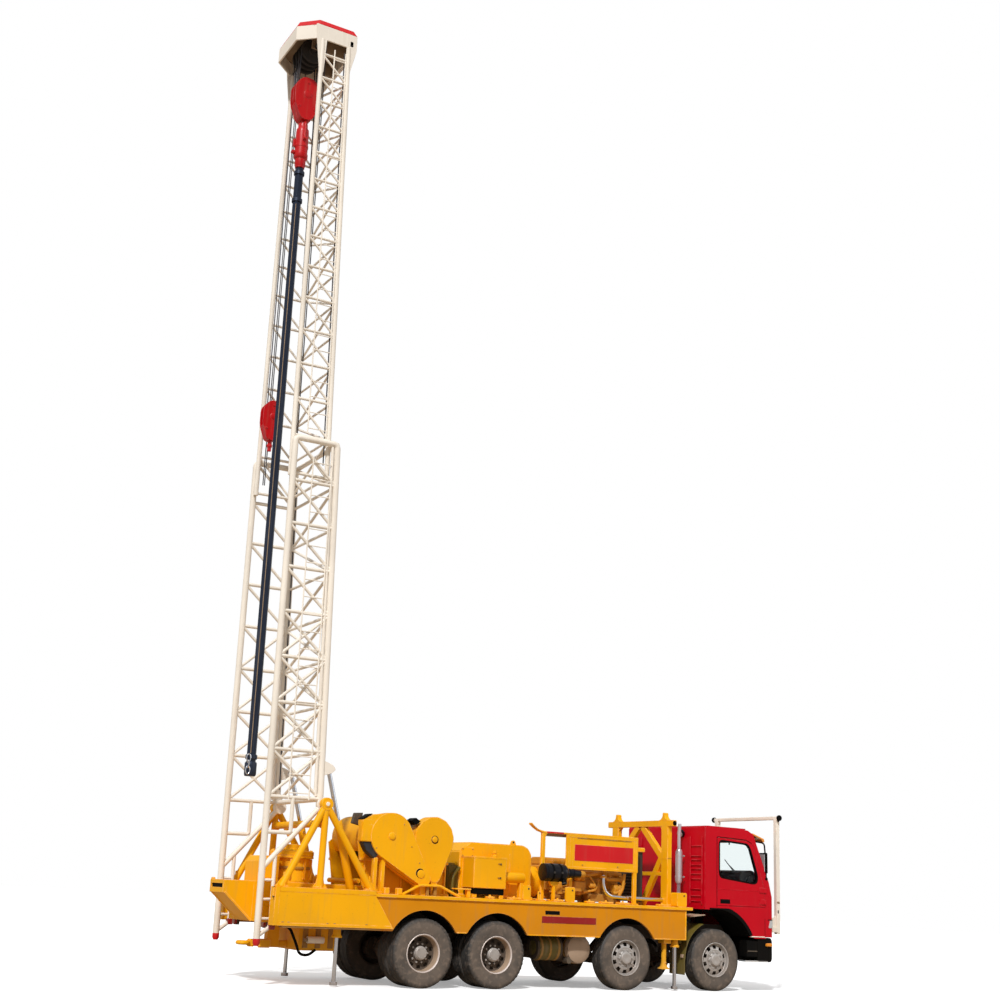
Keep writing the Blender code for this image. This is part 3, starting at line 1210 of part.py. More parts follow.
def winch_drum(name, x, z):
    """A flanged rope drum on its shaft, origin on the shaft."""
    profile = ((0, SHAFT_HALF), (SHAFT_RADIUS, SHAFT_HALF), (SHAFT_RADIUS, DRUM_HALF),
               (FLANGE_RADIUS, DRUM_HALF), (FLANGE_RADIUS, DRUM_HALF - FLANGE_THICKNESS),
               (BARREL_RADIUS, DRUM_HALF - FLANGE_THICKNESS))
    lower = tuple((radius, -height) for radius, height in reversed(profile))
    part(name, "chassis_steel", [turned(profile + lower, (x, 0, z), (0, 1, 0))],
         origin=(x, 0, z))


def drawworks():
    """Skid, bearing plates and drums, with the two chain guards on the right."""
    floor = DECK_TOP + GAP
    axes = ((DRUM_AXIS_X, DRUM_AXIS_Z), (SAND_AXIS_X, SAND_AXIS_Z))
    solids = []
    cuts = []
    for _, side in SIDES:
        plate = sorted((side * BEARING_PLATE_INNER, side * BEARING_PLATE_OUTER))
        top_rear = (DRUM_AXIS_X - 2 * BEARING_RADIUS, DRUM_AXIS_Z + BEARING_RADIUS)
        top_front = (SAND_AXIS_X + 2 * BEARING_RADIUS, SAND_AXIS_Z + BEARING_RADIUS)
        outline = [(WORKS_REAR, floor), (WORKS_REAR, TAIL_TOP), (WORKS_BACK, COVER_BOTTOM + SINK),
                   top_rear, top_front, (WORKS_FRONT, floor)]
        solids.append(flat(outline, *plate))
    solids.append(block((WORKS_REAR, -BEARING_PLATE_OUTER, floor),
                        (WORKS_FRONT, BEARING_PLATE_OUTER, floor + WORKS_SKID)))
    for x, z in axes:
        cuts.append(drum((x, 0, z), (0, 1, 0), SHAFT_RADIUS + 2 * GAP, -DECK_HALF, DECK_HALF))
    part("drawworks_frame", "yellow_paint", solids, cuts)
    winch_drum("main_drum", *axes[0])
    winch_drum("sand_drum", *axes[1])

    solids = [block((COVER_REAR, SINK - GUARD_OUTER, COVER_BOTTOM),
                    (COVER_FRONT, -COVER_INNER, COVER_TOP))]
    toes = ((REAR_TOE_X, REAR_TOE_Z), (FRONT_TOE_X, FRONT_TOE_Z))
    for axis, toe, outer in zip(axes, toes, (GUARD_OUTER, GUARD_OUTER - GUARD_STEP)):
        solids.append(flat(teardrop(axis, GUARD_RADIUS, toe, GUARD_TOE), -outer, -GUARD_INNER))
        solids.append(block((toe[0] - GUARD_TOE / 2, -outer + SINK, floor),
                            (toe[0] + GUARD_TOE / 2, -GUARD_INNER - SINK, toe[1])))
    part("chain_guards", "yellow_paint", solids)


def gearbox_hood():
    """The big chamfered hood, the console in front of it and the coupling cover."""
    floor = DECK_TOP + GAP
    outline = [(HOOD_REAR, floor), (HOOD_REAR, HOOD_TOP - HOOD_SHOULDER),
               (HOOD_REAR + HOOD_SHOULDER, HOOD_TOP), (HOOD_FRONT - HOOD_SHOULDER, HOOD_TOP),
               (HOOD_FRONT, HOOD_TOP - HOOD_SHOULDER), (HOOD_FRONT, floor)]
    solids = [flat(outline, -HOOD_HALF, HOOD_HALF)]
    solids.append(block((CONSOLE_REAR, -CONSOLE_HALF, CONSOLE_BOTTOM),
                        (CONSOLE_FRONT, -HOOD_HALF + SINK, CONSOLE_TOP)))
    solids.append(tube(((CONSOLE_FRONT - SINK, COUPLING_Y, COUPLING_Z),
                        (COUPLING_FRONT, COUPLING_Y, COUPLING_Z)), COUPLING_RADIUS, 12))
    console_y = 2 * HOOD_FOOT_HALF - CONSOLE_HALF
    for x, y, z in ((CONSOLE_REAR + 2 * HOOD_FOOT_HALF, console_y, CONSOLE_BOTTOM + SINK),
                    (CONSOLE_FRONT - 2 * HOOD_FOOT_HALF, console_y, CONSOLE_BOTTOM + SINK),
                    (COUPLING_FRONT - HOOD_FOOT_HALF, COUPLING_Y, COUPLING_Z)):
        solids.append(block((x - HOOD_FOOT_HALF, y - HOOD_FOOT_HALF, floor),
                            (x + HOOD_FOOT_HALF, y + HOOD_FOOT_HALF, z)))
    part("gearbox_hood", "yellow_paint", solids)


def engine():
    """Engine as one plain mass on feet, with the side panel, air cleaner and exhaust."""
    floor = DECK_TOP + GAP
    solids = [block((ENGINE_REAR, -ENGINE_HALF, ENGINE_BOTTOM),
                    (ENGINE_FRONT, ENGINE_HALF, ENGINE_TOP))]
    for x in (ENGINE_REAR + 2 * ENGINE_FEET, ENGINE_FRONT - 2 * ENGINE_FEET):
        for side in (-1, 1):
            y = side * (ENGINE_HALF - ENGINE_FEET)
            solids.append(block((x - ENGINE_FEET, y - ENGINE_FEET, floor),
                                (x + ENGINE_FEET, y + ENGINE_FEET, ENGINE_BOTTOM + SINK)))
    part("engine_block", "engine_grey", solids)

    inner = CANOPY_DEPTH - CANOPY_HALF
    solids = [block((CANOPY_POST_X - CANOPY_POST, -CANOPY_HALF, CANOPY_TOP - CANOPY_WALL),
                    (CANOPY_FRONT, inner, CANOPY_TOP)),
              block((CANOPY_REAR, SINK / 2 - CANOPY_HALF, CANOPY_PANEL_BOTTOM),
                    (CANOPY_FRONT - SINK, CANOPY_WALL - CANOPY_HALF, CANOPY_TOP - SINK)),
              block((CANOPY_FRONT - CANOPY_WALL, SINK - CANOPY_HALF, CANOPY_PANEL_BOTTOM + SINK),
                    (CANOPY_FRONT - SINK / 2, inner - SINK, CANOPY_TOP - SINK / 2))]
    lip = [(CANOPY_POST_X, CANOPY_TOP - CANOPY_WALL + SINK / 2), (CANOPY_POST_X, CANOPY_TOP - SINK / 2),
           (CANOPY_LIP_REAR, CANOPY_TOP + CANOPY_LIP_RISE),
           (CANOPY_LIP_REAR, CANOPY_TOP + CANOPY_LIP_RISE - CANOPY_WALL)]
    solids.append(flat(lip, SINK / 2 - CANOPY_HALF, inner - SINK / 2))
    y = CANOPY_POST - CANOPY_HALF
    for x in (CANOPY_POST_X, CANOPY_REAR + 3 * CANOPY_POST, CANOPY_FRONT - CANOPY_POST - 2 * SINK):
        solids.append(block((x - CANOPY_POST, y - CANOPY_POST + 2 * SINK, floor),
                            (x + CANOPY_POST, y + CANOPY_POST + SINK, CANOPY_TOP - SINK * 2)))
    profile = ((0, CLEANER_NECK_FRONT), (CLEANER_NECK, CLEANER_NECK_FRONT),
               (CLEANER_NECK, CLEANER_FRONT + CLEANER_NECK), (CLEANER_RADIUS, CLEANER_FRONT),
               (CLEANER_RADIUS, CLEANER_REAR), (0, CLEANER_REAR))
    part("engine_canopy", "yellow_paint", solids)
    post_x = (CLEANER_REAR + CLEANER_FRONT) / 2
    solids = [turned(profile, (0, CLEANER_Y, CLEANER_Z), (1, 0, 0)),
              block((post_x - CLEANER_POST, CLEANER_Y - CLEANER_POST, floor),
                    (post_x + CLEANER_POST, CLEANER_Y + CLEANER_POST, CLEANER_Z))]
    part("air_cleaner", "black_paint", solids)

    bend = ((STACK_X - STACK_REACH, STACK_Y, STACK_BOTTOM), (STACK_X, STACK_Y, STACK_BOTTOM),
            (STACK_X, STACK_Y, STACK_TOP))
    solids = [tube(bend, STACK_PIPE, 8),
              drum((STACK_X, STACK_Y, 0), (0, 0, 1), STACK_CAN, STACK_CAN_BOTTOM, STACK_CAN_TOP)]
    solids.append(block((STACK_X - STACK_REACH, STACK_Y - STACK_PIPE, floor),
                        (STACK_X - STACK_REACH + 2 * STACK_PIPE, STACK_Y + STACK_PIPE, STACK_BOTTOM)))
    part("exhaust_stack", "chrome", solids)


def rests():
    """The braced gantry behind the cab and the white goalpost before it."""
    floor = DECK_TOP + GAP
    x = (GANTRY_X - GANTRY_HALF, GANTRY_X + GANTRY_HALF)
    solids = [block((x[0], -GANTRY_SPAN, GANTRY_BEAM_BOTTOM), (x[1], GANTRY_SPAN, GANTRY_BEAM_TOP))]
    for side in (-1, 1):
        y = side * GANTRY_POST_Y
        solids.append(block((x[0], y - GANTRY_POST, floor), (x[1], y + GANTRY_POST,
                                                             GANTRY_BEAM_BOTTOM + SINK)))
        horn = side * GANTRY_HORN_Y
        outline = [(horn - 3 * GANTRY_HORN, GANTRY_BEAM_TOP - SINK),
                   (horn - GANTRY_HORN, GANTRY_BEAM_TOP + GANTRY_HORN),
                   (horn - GANTRY_HORN, GANTRY_HORN_TOP), (horn + GANTRY_HORN, GANTRY_HORN_TOP),
                   (horn + GANTRY_HORN, GANTRY_BEAM_TOP + GANTRY_HORN),
                   (horn + 3 * GANTRY_HORN, GANTRY_BEAM_TOP - SINK)]
        solids.append(flat(outline, *x, plane="YZ"))
        for low_z, high_z in ((floor, GANTRY_WAIST), (GANTRY_BEAM_TOP - GANTRY_BRACE, GANTRY_WAIST)):
            outline = [(0, low_z), (2 * side * GANTRY_BRACE, low_z), (y, high_z),
                       (y, high_z + (GANTRY_BRACE if low_z < high_z else -GANTRY_BRACE) * 2),
                       (0, low_z + (GANTRY_BRACE if low_z < high_z else -GANTRY_BRACE) * 2)]
            inner = (x[0] + SINK, x[1] - SINK)
            solids.append(flat(outline, *inner, plane="YZ"))
    part("mast_gantry", "yellow_paint", solids)

    solids = []
    for side in (-1, 1):
        y = side * REST_TRACK
        solids.append(block((REST_X - REST_POST, y - REST_POST, REST_BOTTOM),
                            (REST_X + REST_POST, y + REST_POST, REST_TOP - REST_BAR)))
        solids.append(block((CAB_FRONT + GAP, y - REST_ARM, REST_ARM_Z - REST_ARM),
                            (REST_X, y + REST_ARM, REST_ARM_Z + REST_ARM)))
    solids.append(block((REST_X - REST_BAR, -REST_SPAN, REST_TOP - 2 * REST_BAR),
                        (REST_X + REST_BAR, REST_SPAN, REST_TOP)))
    part("front_mast_rest", "white_paint", solids)


def door_hinges(side, slack, room):
    """Straps and barrels of one door's hinges; with slack and room, the space they need."""
    solids = []
    outer = sorted((side * (CAB_HALF - SINK - slack), side * (CAB_HALF + HINGE_STRAP + slack)))
    for level in HINGE_LEVELS:
        low = level - slack
        high = level + HINGE_HEIGHT + slack
        solids.append(block((DOOR_FRONT - HINGE_REACH, outer[0], low), (DOOR_FRONT, outer[1], high)))
        solids.append(drum((DOOR_FRONT, side * CAB_HALF, 0), (0, 0, 1), HINGE_RADIUS + room,
                           low, high))
    return solids


def cab():
    """Hollow cab with its doors, windscreen, bumper and what stands in it."""
    low = (CAB_REAR, CAB_SKIN_BOTTOM)
    high = (CAB_FRONT, CAB_ROOF)
    skin = shared(CAB_SKIN_SHARES, low, high)
    inner_low = (CAB_REAR + CAB_WALL, CAB_FLOOR + CAB_WALL)
    inner_high = (CAB_FRONT, CAB_ROOF - CAB_WALL)
    room = shared(CAB_ROOM_SHARES, inner_low, inner_high)
    inside = CAB_HALF - CAB_WALL
    solids = [flat(skin, -CAB_HALF, CAB_HALF),
              block((FRONT_AXLE, -CAB_HALF, CAB_NOSE), (CAB_FRONT, CAB_HALF, CAB_SKIN_BOTTOM + SINK))]
    cuts = [flat(room, -inside, inside),
            block((CAB_REAR + CAB_WALL, -inside, CAB_NOSE - OVERRUN),
                  (CAB_FRONT - CAB_WALL, inside, CAB_UNDER)),
            arch_cut(FRONT_AXLE, CAB_ARCH, -CAB_HALF - OVERRUN, CAB_HALF + OVERRUN)]
    door_low = (DOOR_REAR, DOOR_BOTTOM)
    door_high = (DOOR_FRONT, DOOR_TOP)
    door = shared(DOOR_SHARES, door_low, door_high)
    grown_low = (DOOR_REAR - DOOR_GAP, DOOR_BOTTOM - DOOR_GAP)
    grown_high = (DOOR_FRONT + DOOR_GAP, DOOR_TOP + DOOR_GAP)
    cuts.append(flat(shared(DOOR_SHARES, grown_low, grown_high), -CAB_HALF - OVERRUN,
                     CAB_HALF + OVERRUN))
    screen_low = between(CAB_SKIN_BOTTOM, CAB_ROOF, SCREEN_SHARES[0])
    screen_high = between(CAB_SKIN_BOTTOM, CAB_ROOF, SCREEN_SHARES[1])
    screen_back = between(CAB_REAR, CAB_FRONT, SCREEN_BACK_SHARE)
    half = CAB_HALF - 2 * CAB_WALL
    cuts.append(block((screen_back, -half, screen_low), (CAB_FRONT + OVERRUN, half, screen_high)))
    for _, side in SIDES:
        cuts += door_hinges(side, GAP, HINGE_ROOM)
    part("cab_shell", "cab_red", solids, cuts)

    top_point = skin[5]
    foot_point = skin[6]
    run = Vector((foot_point[0] - top_point[0], foot_point[1] - top_point[1]))
    inward = Vector((run.y, -run.x)).normalized()
    start = Vector(top_point) + run * ((top_point[1] - screen_high) / -run.y)
    end = Vector(top_point) + run * ((top_point[1] - screen_low - CAB_WALL / 2) / -run.y)
    start += inward * CAB_WALL / 2
    end += inward * CAB_WALL / 2
    along = run.normalized() * GLASS_THICKNESS
    start += along
    end -= along
    pane = [start, end, end + inward * GLASS_THICKNESS, start + inward * GLASS_THICKNESS]
    part("windscreen", "clear_glass", [flat([tuple(p) for p in pane], -half + GAP, half - GAP)])

    window = shared(WINDOW_SHARES, door_low, door_high)
    for name, side in SIDES:
        wall = sorted((side * CAB_HALF, side * inside))
        hinge = (DOOR_FRONT, side * CAB_HALF, 0)
        hole = flat(window, wall[0] - OVERRUN, wall[1] + OVERRUN)
        part("cab_door_" + name, "cab_red", [flat(door, *wall)] + door_hinges(side, 0, 0),
             [hole], origin=hinge)

    bumper = [block((BUMPER_REAR, -BUMPER_HALF, BUMPER_BOTTOM), (BUMPER_FRONT, BUMPER_HALF, BUMPER_TOP)),
              block((RAIL_FRONT + GAP, -SPRING_TRACK - RAIL_HALF, RAIL_BOTTOM),
                    (BUMPER_REAR + SINK, SPRING_TRACK + RAIL_HALF, BUMPER_TOP))]
    part("front_bumper", "black_paint", bumper)

    floor = CAB_FLOOR + CAB_WALL + GAP
    solids = [block((SEAT_X, -SEAT_TRACK, floor), (DASH_REAR + SINK, SEAT_TRACK, floor + SINK * 2))]
    for side in (-1, 1):
        y = side * SEAT_TRACK
        solids.append(block((SEAT_X - SEAT_BACK, y - SEAT_HALF, floor),
                            (SEAT_X + SEAT_LENGTH, y + SEAT_HALF, SEAT_TOP)))
        solids.append(block((SEAT_X - SEAT_BACK, y - SEAT_HALF, SEAT_TOP - SINK),
                            (SEAT_X, y + SEAT_HALF, SEAT_BACK_TOP)))
    solids.append(block((DASH_REAR, -inside + CAB_WALL, floor),
                        (DASH_REAR + DASH_DEPTH, inside - CAB_WALL, DASH_TOP)))
    wheel_at = Vector((DASH_REAR - COLUMN_REACH / 2, SEAT_TRACK, DASH_TOP + COLUMN_REACH / 2))
    column = Vector((1, 0, -1)).normalized()
    solids.append(tube((wheel_at, Vector(wheel_at) + column * COLUMN_REACH), WHEEL_RIM * 2, 6))
    rim_points = [(WHEEL_RADIUS, WHEEL_RIM), (WHEEL_RADIUS, -WHEEL_RIM), (0, -WHEEL_RIM), (0, WHEEL_RIM)]
    solids.append(turned(rim_points[3:] + rim_points[:3], wheel_at, -column))
    part("cab_interior", "cab_trim", solids)


def main():
    """Builds the rig from the ground up."""
    steered_wheels()
    twin_wheels()
    axles()
    frame_rails()
    deck()
    tail_box()
    jacks()
    a_frames()
    joint = lean()
    mast(joint)
    crown(joint)
    hoist_string(joint)
    rams()
    drawworks()
    gearbox_hood()
    engine()
    rests()
    cab()
    bpy.context.view_layer.update()


main()
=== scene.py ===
# %% [markdown]
# # A workover rig, dressed
# A workover rig services oil wells. It is a road truck that carries a lattice mast, a
# winch and a big engine. The solid model underneath is fixed: it says where each piece is
# and which ones move. This script gives those pieces their looks. It starts by loading
# the solid model.

# %% Load the solid model
from math import atan2, cos, hypot, pi, radians, sin

import bmesh
import bpy
from mathutils import Matrix, Vector


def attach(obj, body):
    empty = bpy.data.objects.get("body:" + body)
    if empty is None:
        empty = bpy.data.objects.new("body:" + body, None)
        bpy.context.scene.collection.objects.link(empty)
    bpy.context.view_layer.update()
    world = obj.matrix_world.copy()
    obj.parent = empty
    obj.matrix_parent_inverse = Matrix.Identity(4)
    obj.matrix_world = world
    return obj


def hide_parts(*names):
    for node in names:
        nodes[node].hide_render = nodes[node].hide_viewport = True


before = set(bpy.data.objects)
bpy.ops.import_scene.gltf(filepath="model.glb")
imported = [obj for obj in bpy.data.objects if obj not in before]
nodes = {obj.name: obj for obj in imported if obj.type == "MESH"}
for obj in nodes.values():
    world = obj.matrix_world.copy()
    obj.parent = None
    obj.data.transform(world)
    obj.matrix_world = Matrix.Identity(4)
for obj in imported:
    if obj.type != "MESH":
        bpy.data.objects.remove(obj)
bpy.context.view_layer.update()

# %% [markdown]
# ## The camera
# The picture was taken from the truck's right, a little behind it and close to the ground,
# looking up. A camera's matrix has three columns: what is right, what is up, and the
# opposite of where it looks. Writing those three from the yaw, the pitch and the roll is
# clearer than three nested rotations.

# %% Camera
YAW, PITCH, ROLL = radians(29.581), radians(15.889), radians(2.704)
ahead = Vector((sin(YAW) * cos(PITCH), cos(YAW) * cos(PITCH), sin(PITCH)))
level = Vector((cos(YAW), -sin(YAW), 0))
above = level.cross(ahead)
right = level * cos(ROLL) + above * sin(ROLL)
up = above * cos(ROLL) - level * sin(ROLL)
camera_data = bpy.data.cameras.new("camera")
camera_data.lens = 49.68
camera_data.sensor_width = 36
camera = bpy.data.objects.new("camera", camera_data)
bpy.context.scene.collection.objects.link(camera)
camera.matrix_world = Matrix((right, up, -ahead)).transposed().to_4x4()
camera.location = (-13.014, -22.068, 1.532)
bpy.context.scene.camera = camera

# %% [markdown]
# ## Floor and light
# The rig stands on a pale floor against white. The world is white only to the camera and
# in reflections, and it lights the rig more softly. One broad sun comes from high on the
# camera's left. The deck's lip throws a thin shadow, and the deeper shade down its skirt is painted.

# %% Floor, world and lamps
scene = bpy.context.scene
scene.view_settings.view_transform = "Standard"
world = bpy.data.worlds.new("studio")
scene.world = world
world.use_nodes = True
tree = world.node_tree
tree.nodes.clear()
seen = tree.nodes.new("ShaderNodeLightPath")
pale = tree.nodes.new("ShaderNodeMath")
pale.operation = "MAXIMUM"
glow = tree.nodes.new("ShaderNodeMapRange")
glow.inputs["To Min"].default_value = 0.5
glow.inputs["To Max"].default_value = 1.0
sky = tree.nodes.new("ShaderNodeBackground")
out = tree.nodes.new("ShaderNodeOutputWorld")
tree.links.new(seen.outputs["Is Camera Ray"], pale.inputs[0])
tree.links.new(seen.outputs["Is Transmission Ray"], pale.inputs[1])
tree.links.new(pale.outputs[0], glow.inputs["Value"])
tree.links.new(glow.outputs["Result"], sky.inputs["Strength"])
tree.links.new(sky.outputs[0], out.inputs["Surface"])
sky.inputs["Color"].default_value = (1, 1, 1, 1)


def lamp(name, kind, place, towards, energy, size):
    """A lamp at a place that shines towards a point."""
    light = bpy.data.lights.new(name, kind)
    light.energy = energy
    if kind == "SUN":
        light.angle = size
    else:
        light.shape = "DISK"
        light.size = size
    holder = bpy.data.objects.new(name, light)
    scene.collection.objects.link(holder)
    holder.location = place
    aim = Vector(towards) - Vector(place)
    holder.rotation_euler = aim.to_track_quat("-Z", "Y").to_euler()


lamp("sun", "SUN", (-19, -21, 27), (0, 0, 0), 2.9, radians(4))
lamp("front_fill", "SUN", (18, -10, 9), (0, 0, 2), 0.3, radians(30))

floor_mesh = bpy.data.meshes.new("floor")
floor_mesh.from_pydata([(-90, -60, 0), (90, -60, 0), (90, 120, 0), (-90, 120, 0)], [],
                       [(0, 1, 2, 3)])
floor = bpy.data.objects.new("floor", floor_mesh)
scene.collection.objects.link(floor)
ground = bpy.data.materials.new("pale_floor")
ground.use_nodes = True
floor_mesh.materials.append(ground)
tree = ground.node_tree
matt = tree.nodes["Principled BSDF"]
matt.inputs["Roughness"].default_value = 0.9
lift = tree.nodes.new("ShaderNodeLightPath")
earth = tree.nodes.new("ShaderNodeMix")
earth.data_type = "RGBA"
earth.inputs[6].default_value = (0.42, 0.33, 0.24, 1)
earth.inputs[7].default_value = (0.86, 0.86, 0.86, 1)
tree.links.new(lift.outputs["Is Camera Ray"], earth.inputs[0])
tree.links.new(earth.outputs[2], matt.inputs["Base Color"])
share = tree.nodes.new("ShaderNodeMath")
share.operation = "MULTIPLY"
share.inputs[1].default_value = 0.32
tree.links.new(lift.outputs["Is Camera Ray"], share.inputs[0])
matt.inputs["Emission Color"].default_value = (1, 1, 1, 1)
tree.links.new(share.outputs[0], matt.inputs["Emission Strength"])

# %% [markdown]
# ## Weathering, as one shared group
# Every painted surface on a working rig ages in the same ways. The colour is not quite
# even, dust gathers low down, dirt runs down in streaks, and small chips show the primer.
# A node group holds that once, and each paint sets its own amounts. It reads the object's
# own coordinates, so that the dirt stays put when a piece moves.

# %% The weathering group


def group(name, inputs, outputs):
    """An empty shader group with named sockets: (name, kind, default)."""
    made = bpy.data.node_groups.new(name, "ShaderNodeTree")
    for side, sockets in (("INPUT", inputs), ("OUTPUT", outputs)):
        for label, kind, default in sockets:
            socket = made.interface.new_socket(label, in_out=side, socket_type="NodeSocket" + kind)
            if default is not None:
                socket.default_value = default
    entry = made.nodes.new("NodeGroupInput")
    leave = made.nodes.new("NodeGroupOutput")
    return made, entry.outputs, leave.inputs


def math(made, operation, a, b, clamp=False):
    """One Math node; a and b are sockets or plain numbers."""
    node = made.nodes.new("ShaderNodeMath")
    node.operation = operation
    node.use_clamp = clamp
    for socket, value in zip(node.inputs, (a, b)):
        if isinstance(value, (int, float)):
            socket.default_value = value
        else:
            made.links.new(value, socket)
    return node.outputs[0]


def ranged(made, value, low, high, to_low=0.0, to_high=1.0):
    """Maps a value from low to high onto 0 to 1, and stops at both ends."""
    node = made.nodes.new("ShaderNodeMapRange")
    made.links.new(value, node.inputs["Value"])
    for label, number in (("From Min", low), ("From Max", high), ("To Min", to_low),
                          ("To Max", to_high)):
        if isinstance(number, (int, float)):
            node.inputs[label].default_value = number
        else:
            made.links.new(number, node.inputs[label])
    return node.outputs["Result"]


def blend(made, share, a, b):
    """Mixes two colours; each is a socket or a colour."""
    node = made.nodes.new("ShaderNodeMix")
    node.data_type = "RGBA"
    for socket, value in ((node.inputs[0], share), (node.inputs[6], a), (node.inputs[7], b)):
        if isinstance(value, (int, float, tuple)):
            socket.default_value = value
        else:
            made.links.new(value, socket)
    return node.outputs[2]


def grain(made, coordinates, scale, detail=2.0, stretch=(1, 1, 1)):
    """Noise on stretched coordinates."""
    mapping = made.nodes.new("ShaderNodeMapping")
    mapping.inputs["Scale"].default_value = stretch
    made.links.new(coordinates, mapping.inputs["Vector"])
    node = made.nodes.new("ShaderNodeTexNoise")
    node.inputs["Scale"].default_value = scale
    node.inputs["Detail"].default_value = detail
    made.links.new(mapping.outputs[0], node.inputs["Vector"])
    return node.outputs["Fac"]


weathering, given, gives = group(
    "weathering",
    (("Colour", "Color", (0.8, 0.8, 0.8, 1)), ("Dust Colour", "Color", (0.25, 0.18, 0.12, 1)),
     ("Dust", "Float", 0.3), ("Dust Height", "Float", 1.2), ("Streaks", "Float", 0.2),
     ("Chips", "Float", 0.2), ("Edge Wear", "Float", 0.3), ("Roughness", "Float", 0.4)),
    (("Colour", "Color", None), ("Roughness", "Float", None), ("Height", "Float", None),
     ("Soft Normal", "Vector", None)))
own = weathering.nodes.new("ShaderNodeTexCoord").outputs["Object"]
axes = weathering.nodes.new("ShaderNodeSeparateXYZ")
weathering.links.new(own, axes.inputs[0])
cloud = grain(weathering, own, 0.9, 5)
deeper = weathering.nodes.new("ShaderNodeHueSaturation")
deeper.inputs["Value"].default_value = 0.8
deeper.inputs["Saturation"].default_value = 1.04
weathering.links.new(given["Colour"], deeper.inputs["Color"])
tone = blend(weathering, ranged(weathering, cloud, 0.38, 0.68, 0.0, 0.6), given["Colour"],
             deeper.outputs[0])
runs = ranged(weathering, grain(weathering, own, 3.2, 3, (4, 4, 0.35)), 0.54, 0.76)
runs = math(weathering, "MULTIPLY", runs, given["Streaks"])
low = math(weathering, "DIVIDE", axes.outputs["Z"], given["Dust Height"])
low = ranged(weathering, low, 1.0, 0.0)
low = math(weathering, "MULTIPLY", low, ranged(weathering, grain(weathering, own, 2.3, 6), 0.25, 0.62))
low = math(weathering, "MULTIPLY", low, given["Dust"])
dirt = math(weathering, "ADD", runs, low, True)
tone = blend(weathering, dirt, tone, given["Dust Colour"])
soft = weathering.nodes.new("ShaderNodeBevel")
soft.samples = 4
soft.inputs["Radius"].default_value = 0.012
flat = weathering.nodes.new("ShaderNodeNewGeometry")
turned_by = weathering.nodes.new("ShaderNodeVectorMath")
turned_by.operation = "DOT_PRODUCT"
weathering.links.new(soft.outputs[0], turned_by.inputs[0])
weathering.links.new(flat.outputs["Normal"], turned_by.inputs[1])
# Edges are painted paler: partly worn paint, partly a painted highlight along each edge.
edge = ranged(weathering, turned_by.outputs["Value"], 0.985, 0.8)
edge = math(weathering, "MULTIPLY", edge, ranged(weathering, grain(weathering, own, 6, 5), 0.4, 0.6))
edge = math(weathering, "MULTIPLY", edge, given["Edge Wear"])
worn_and_lit_edge_tone = weathering.nodes.new("ShaderNodeHueSaturation")
worn_and_lit_edge_tone.inputs["Value"].default_value = 1.5
worn_and_lit_edge_tone.inputs["Saturation"].default_value = 0.6
weathering.links.new(given["Colour"], worn_and_lit_edge_tone.inputs["Color"])
tone = blend(weathering, edge, tone, worn_and_lit_edge_tone.outputs[0])
weathering.links.new(soft.outputs[0], gives["Soft Normal"])
flecks = ranged(weathering, grain(weathering, own, 23, 3), 0.69, 0.72)
flecks = math(weathering, "MULTIPLY", flecks, given["Chips"])
tone = blend(weathering, flecks, tone, (0.09, 0.04, 0.02, 1))
weathering.links.new(tone, gives["Colour"])
rough = math(weathering, "ADD", given["Roughness"], math(weathering, "MULTIPLY", dirt, 0.35), True)
rough = math(weathering, "ADD", rough, ranged(weathering, cloud, 0.3, 0.7, -0.04, 0.06), True)
weathering.links.new(rough, gives["Roughness"])
skin = math(weathering, "MULTIPLY", grain(weathering, own, 55, 2), 0.35)
skin = math(weathering, "SUBTRACT", skin, flecks)
weathering.links.new(skin, gives["Height"])
print("weathering group", len(weathering.nodes), "nodes")

# %% [markdown]
# ## The paints
# Each finish is one Principled shader with the group in front of it. The paints differ in
# colour, gloss and in how dirty they are: the cab is new and glossy with a clear coat, the
# chassis is matt and dusty. Each also carries the name of the finish slot that it stands for.

# %% Finishes
finishes = {}


def empty_material(name, slot):
    """A new material, kept as a finish; gives its tree and its Principled shader."""
    material = bpy.data.materials.new(name)
    material.use_nodes = True
    finishes[name] = (material, slot)
    return material.node_tree, material.node_tree.nodes["Principled BSDF"]


def values(node, **amounts):
    """Sets a node's inputs by label; an underscore stands for a space."""
    for label, amount in amounts.items():
        node.inputs[label.replace("_", " ")].default_value = amount


def surface(tree, shader, made, strength, distance):
    """Puts a group in front of a shader, with its height as a bump; gives group and bump."""
    node = tree.nodes.new("ShaderNodeGroup")
    node.node_tree = made
    relief = tree.nodes.new("ShaderNodeBump")
    values(relief, Strength=strength, Distance=distance)
    for label, end in (("Colour", shader.inputs["Base Color"]),
                       ("Roughness", shader.inputs["Roughness"]), ("Height", relief.inputs["Height"])):
        if label in node.outputs:
            tree.links.new(node.outputs[label], end)
    tree.links.new(relief.outputs["Normal"], shader.inputs["Normal"])
    return node, relief


def paint(name, slot, colour, roughness, metallic=0.0, dust=0.2, height=1.3, streaks=0.12,
          chips=0.15, coat=0.0, dust_colour=(0.24, 0.17, 0.11), bump=0.15, edges=0.35,
          gloss=0.35, soften=False):
    """A weathered finish, kept under its name with its slot."""
    tree, shader = empty_material(name, slot)
    values(shader, Metallic=metallic, Coat_Weight=coat, Coat_Roughness=0.08, Specular_IOR_Level=gloss)
    node, relief = surface(tree, shader, weathering, bump, 0.003)
    # The edges amount sets both the edge wear and a painted highlight along the edges.
    values(node, Colour=(*colour, 1), Dust_Colour=(*dust_colour, 1), Dust=dust, Dust_Height=height,
           Streaks=streaks, Chips=chips, Edge_Wear=edges, Roughness=roughness)
    if soften:
        tree.links.new(node.outputs["Soft Normal"], relief.inputs["Normal"])


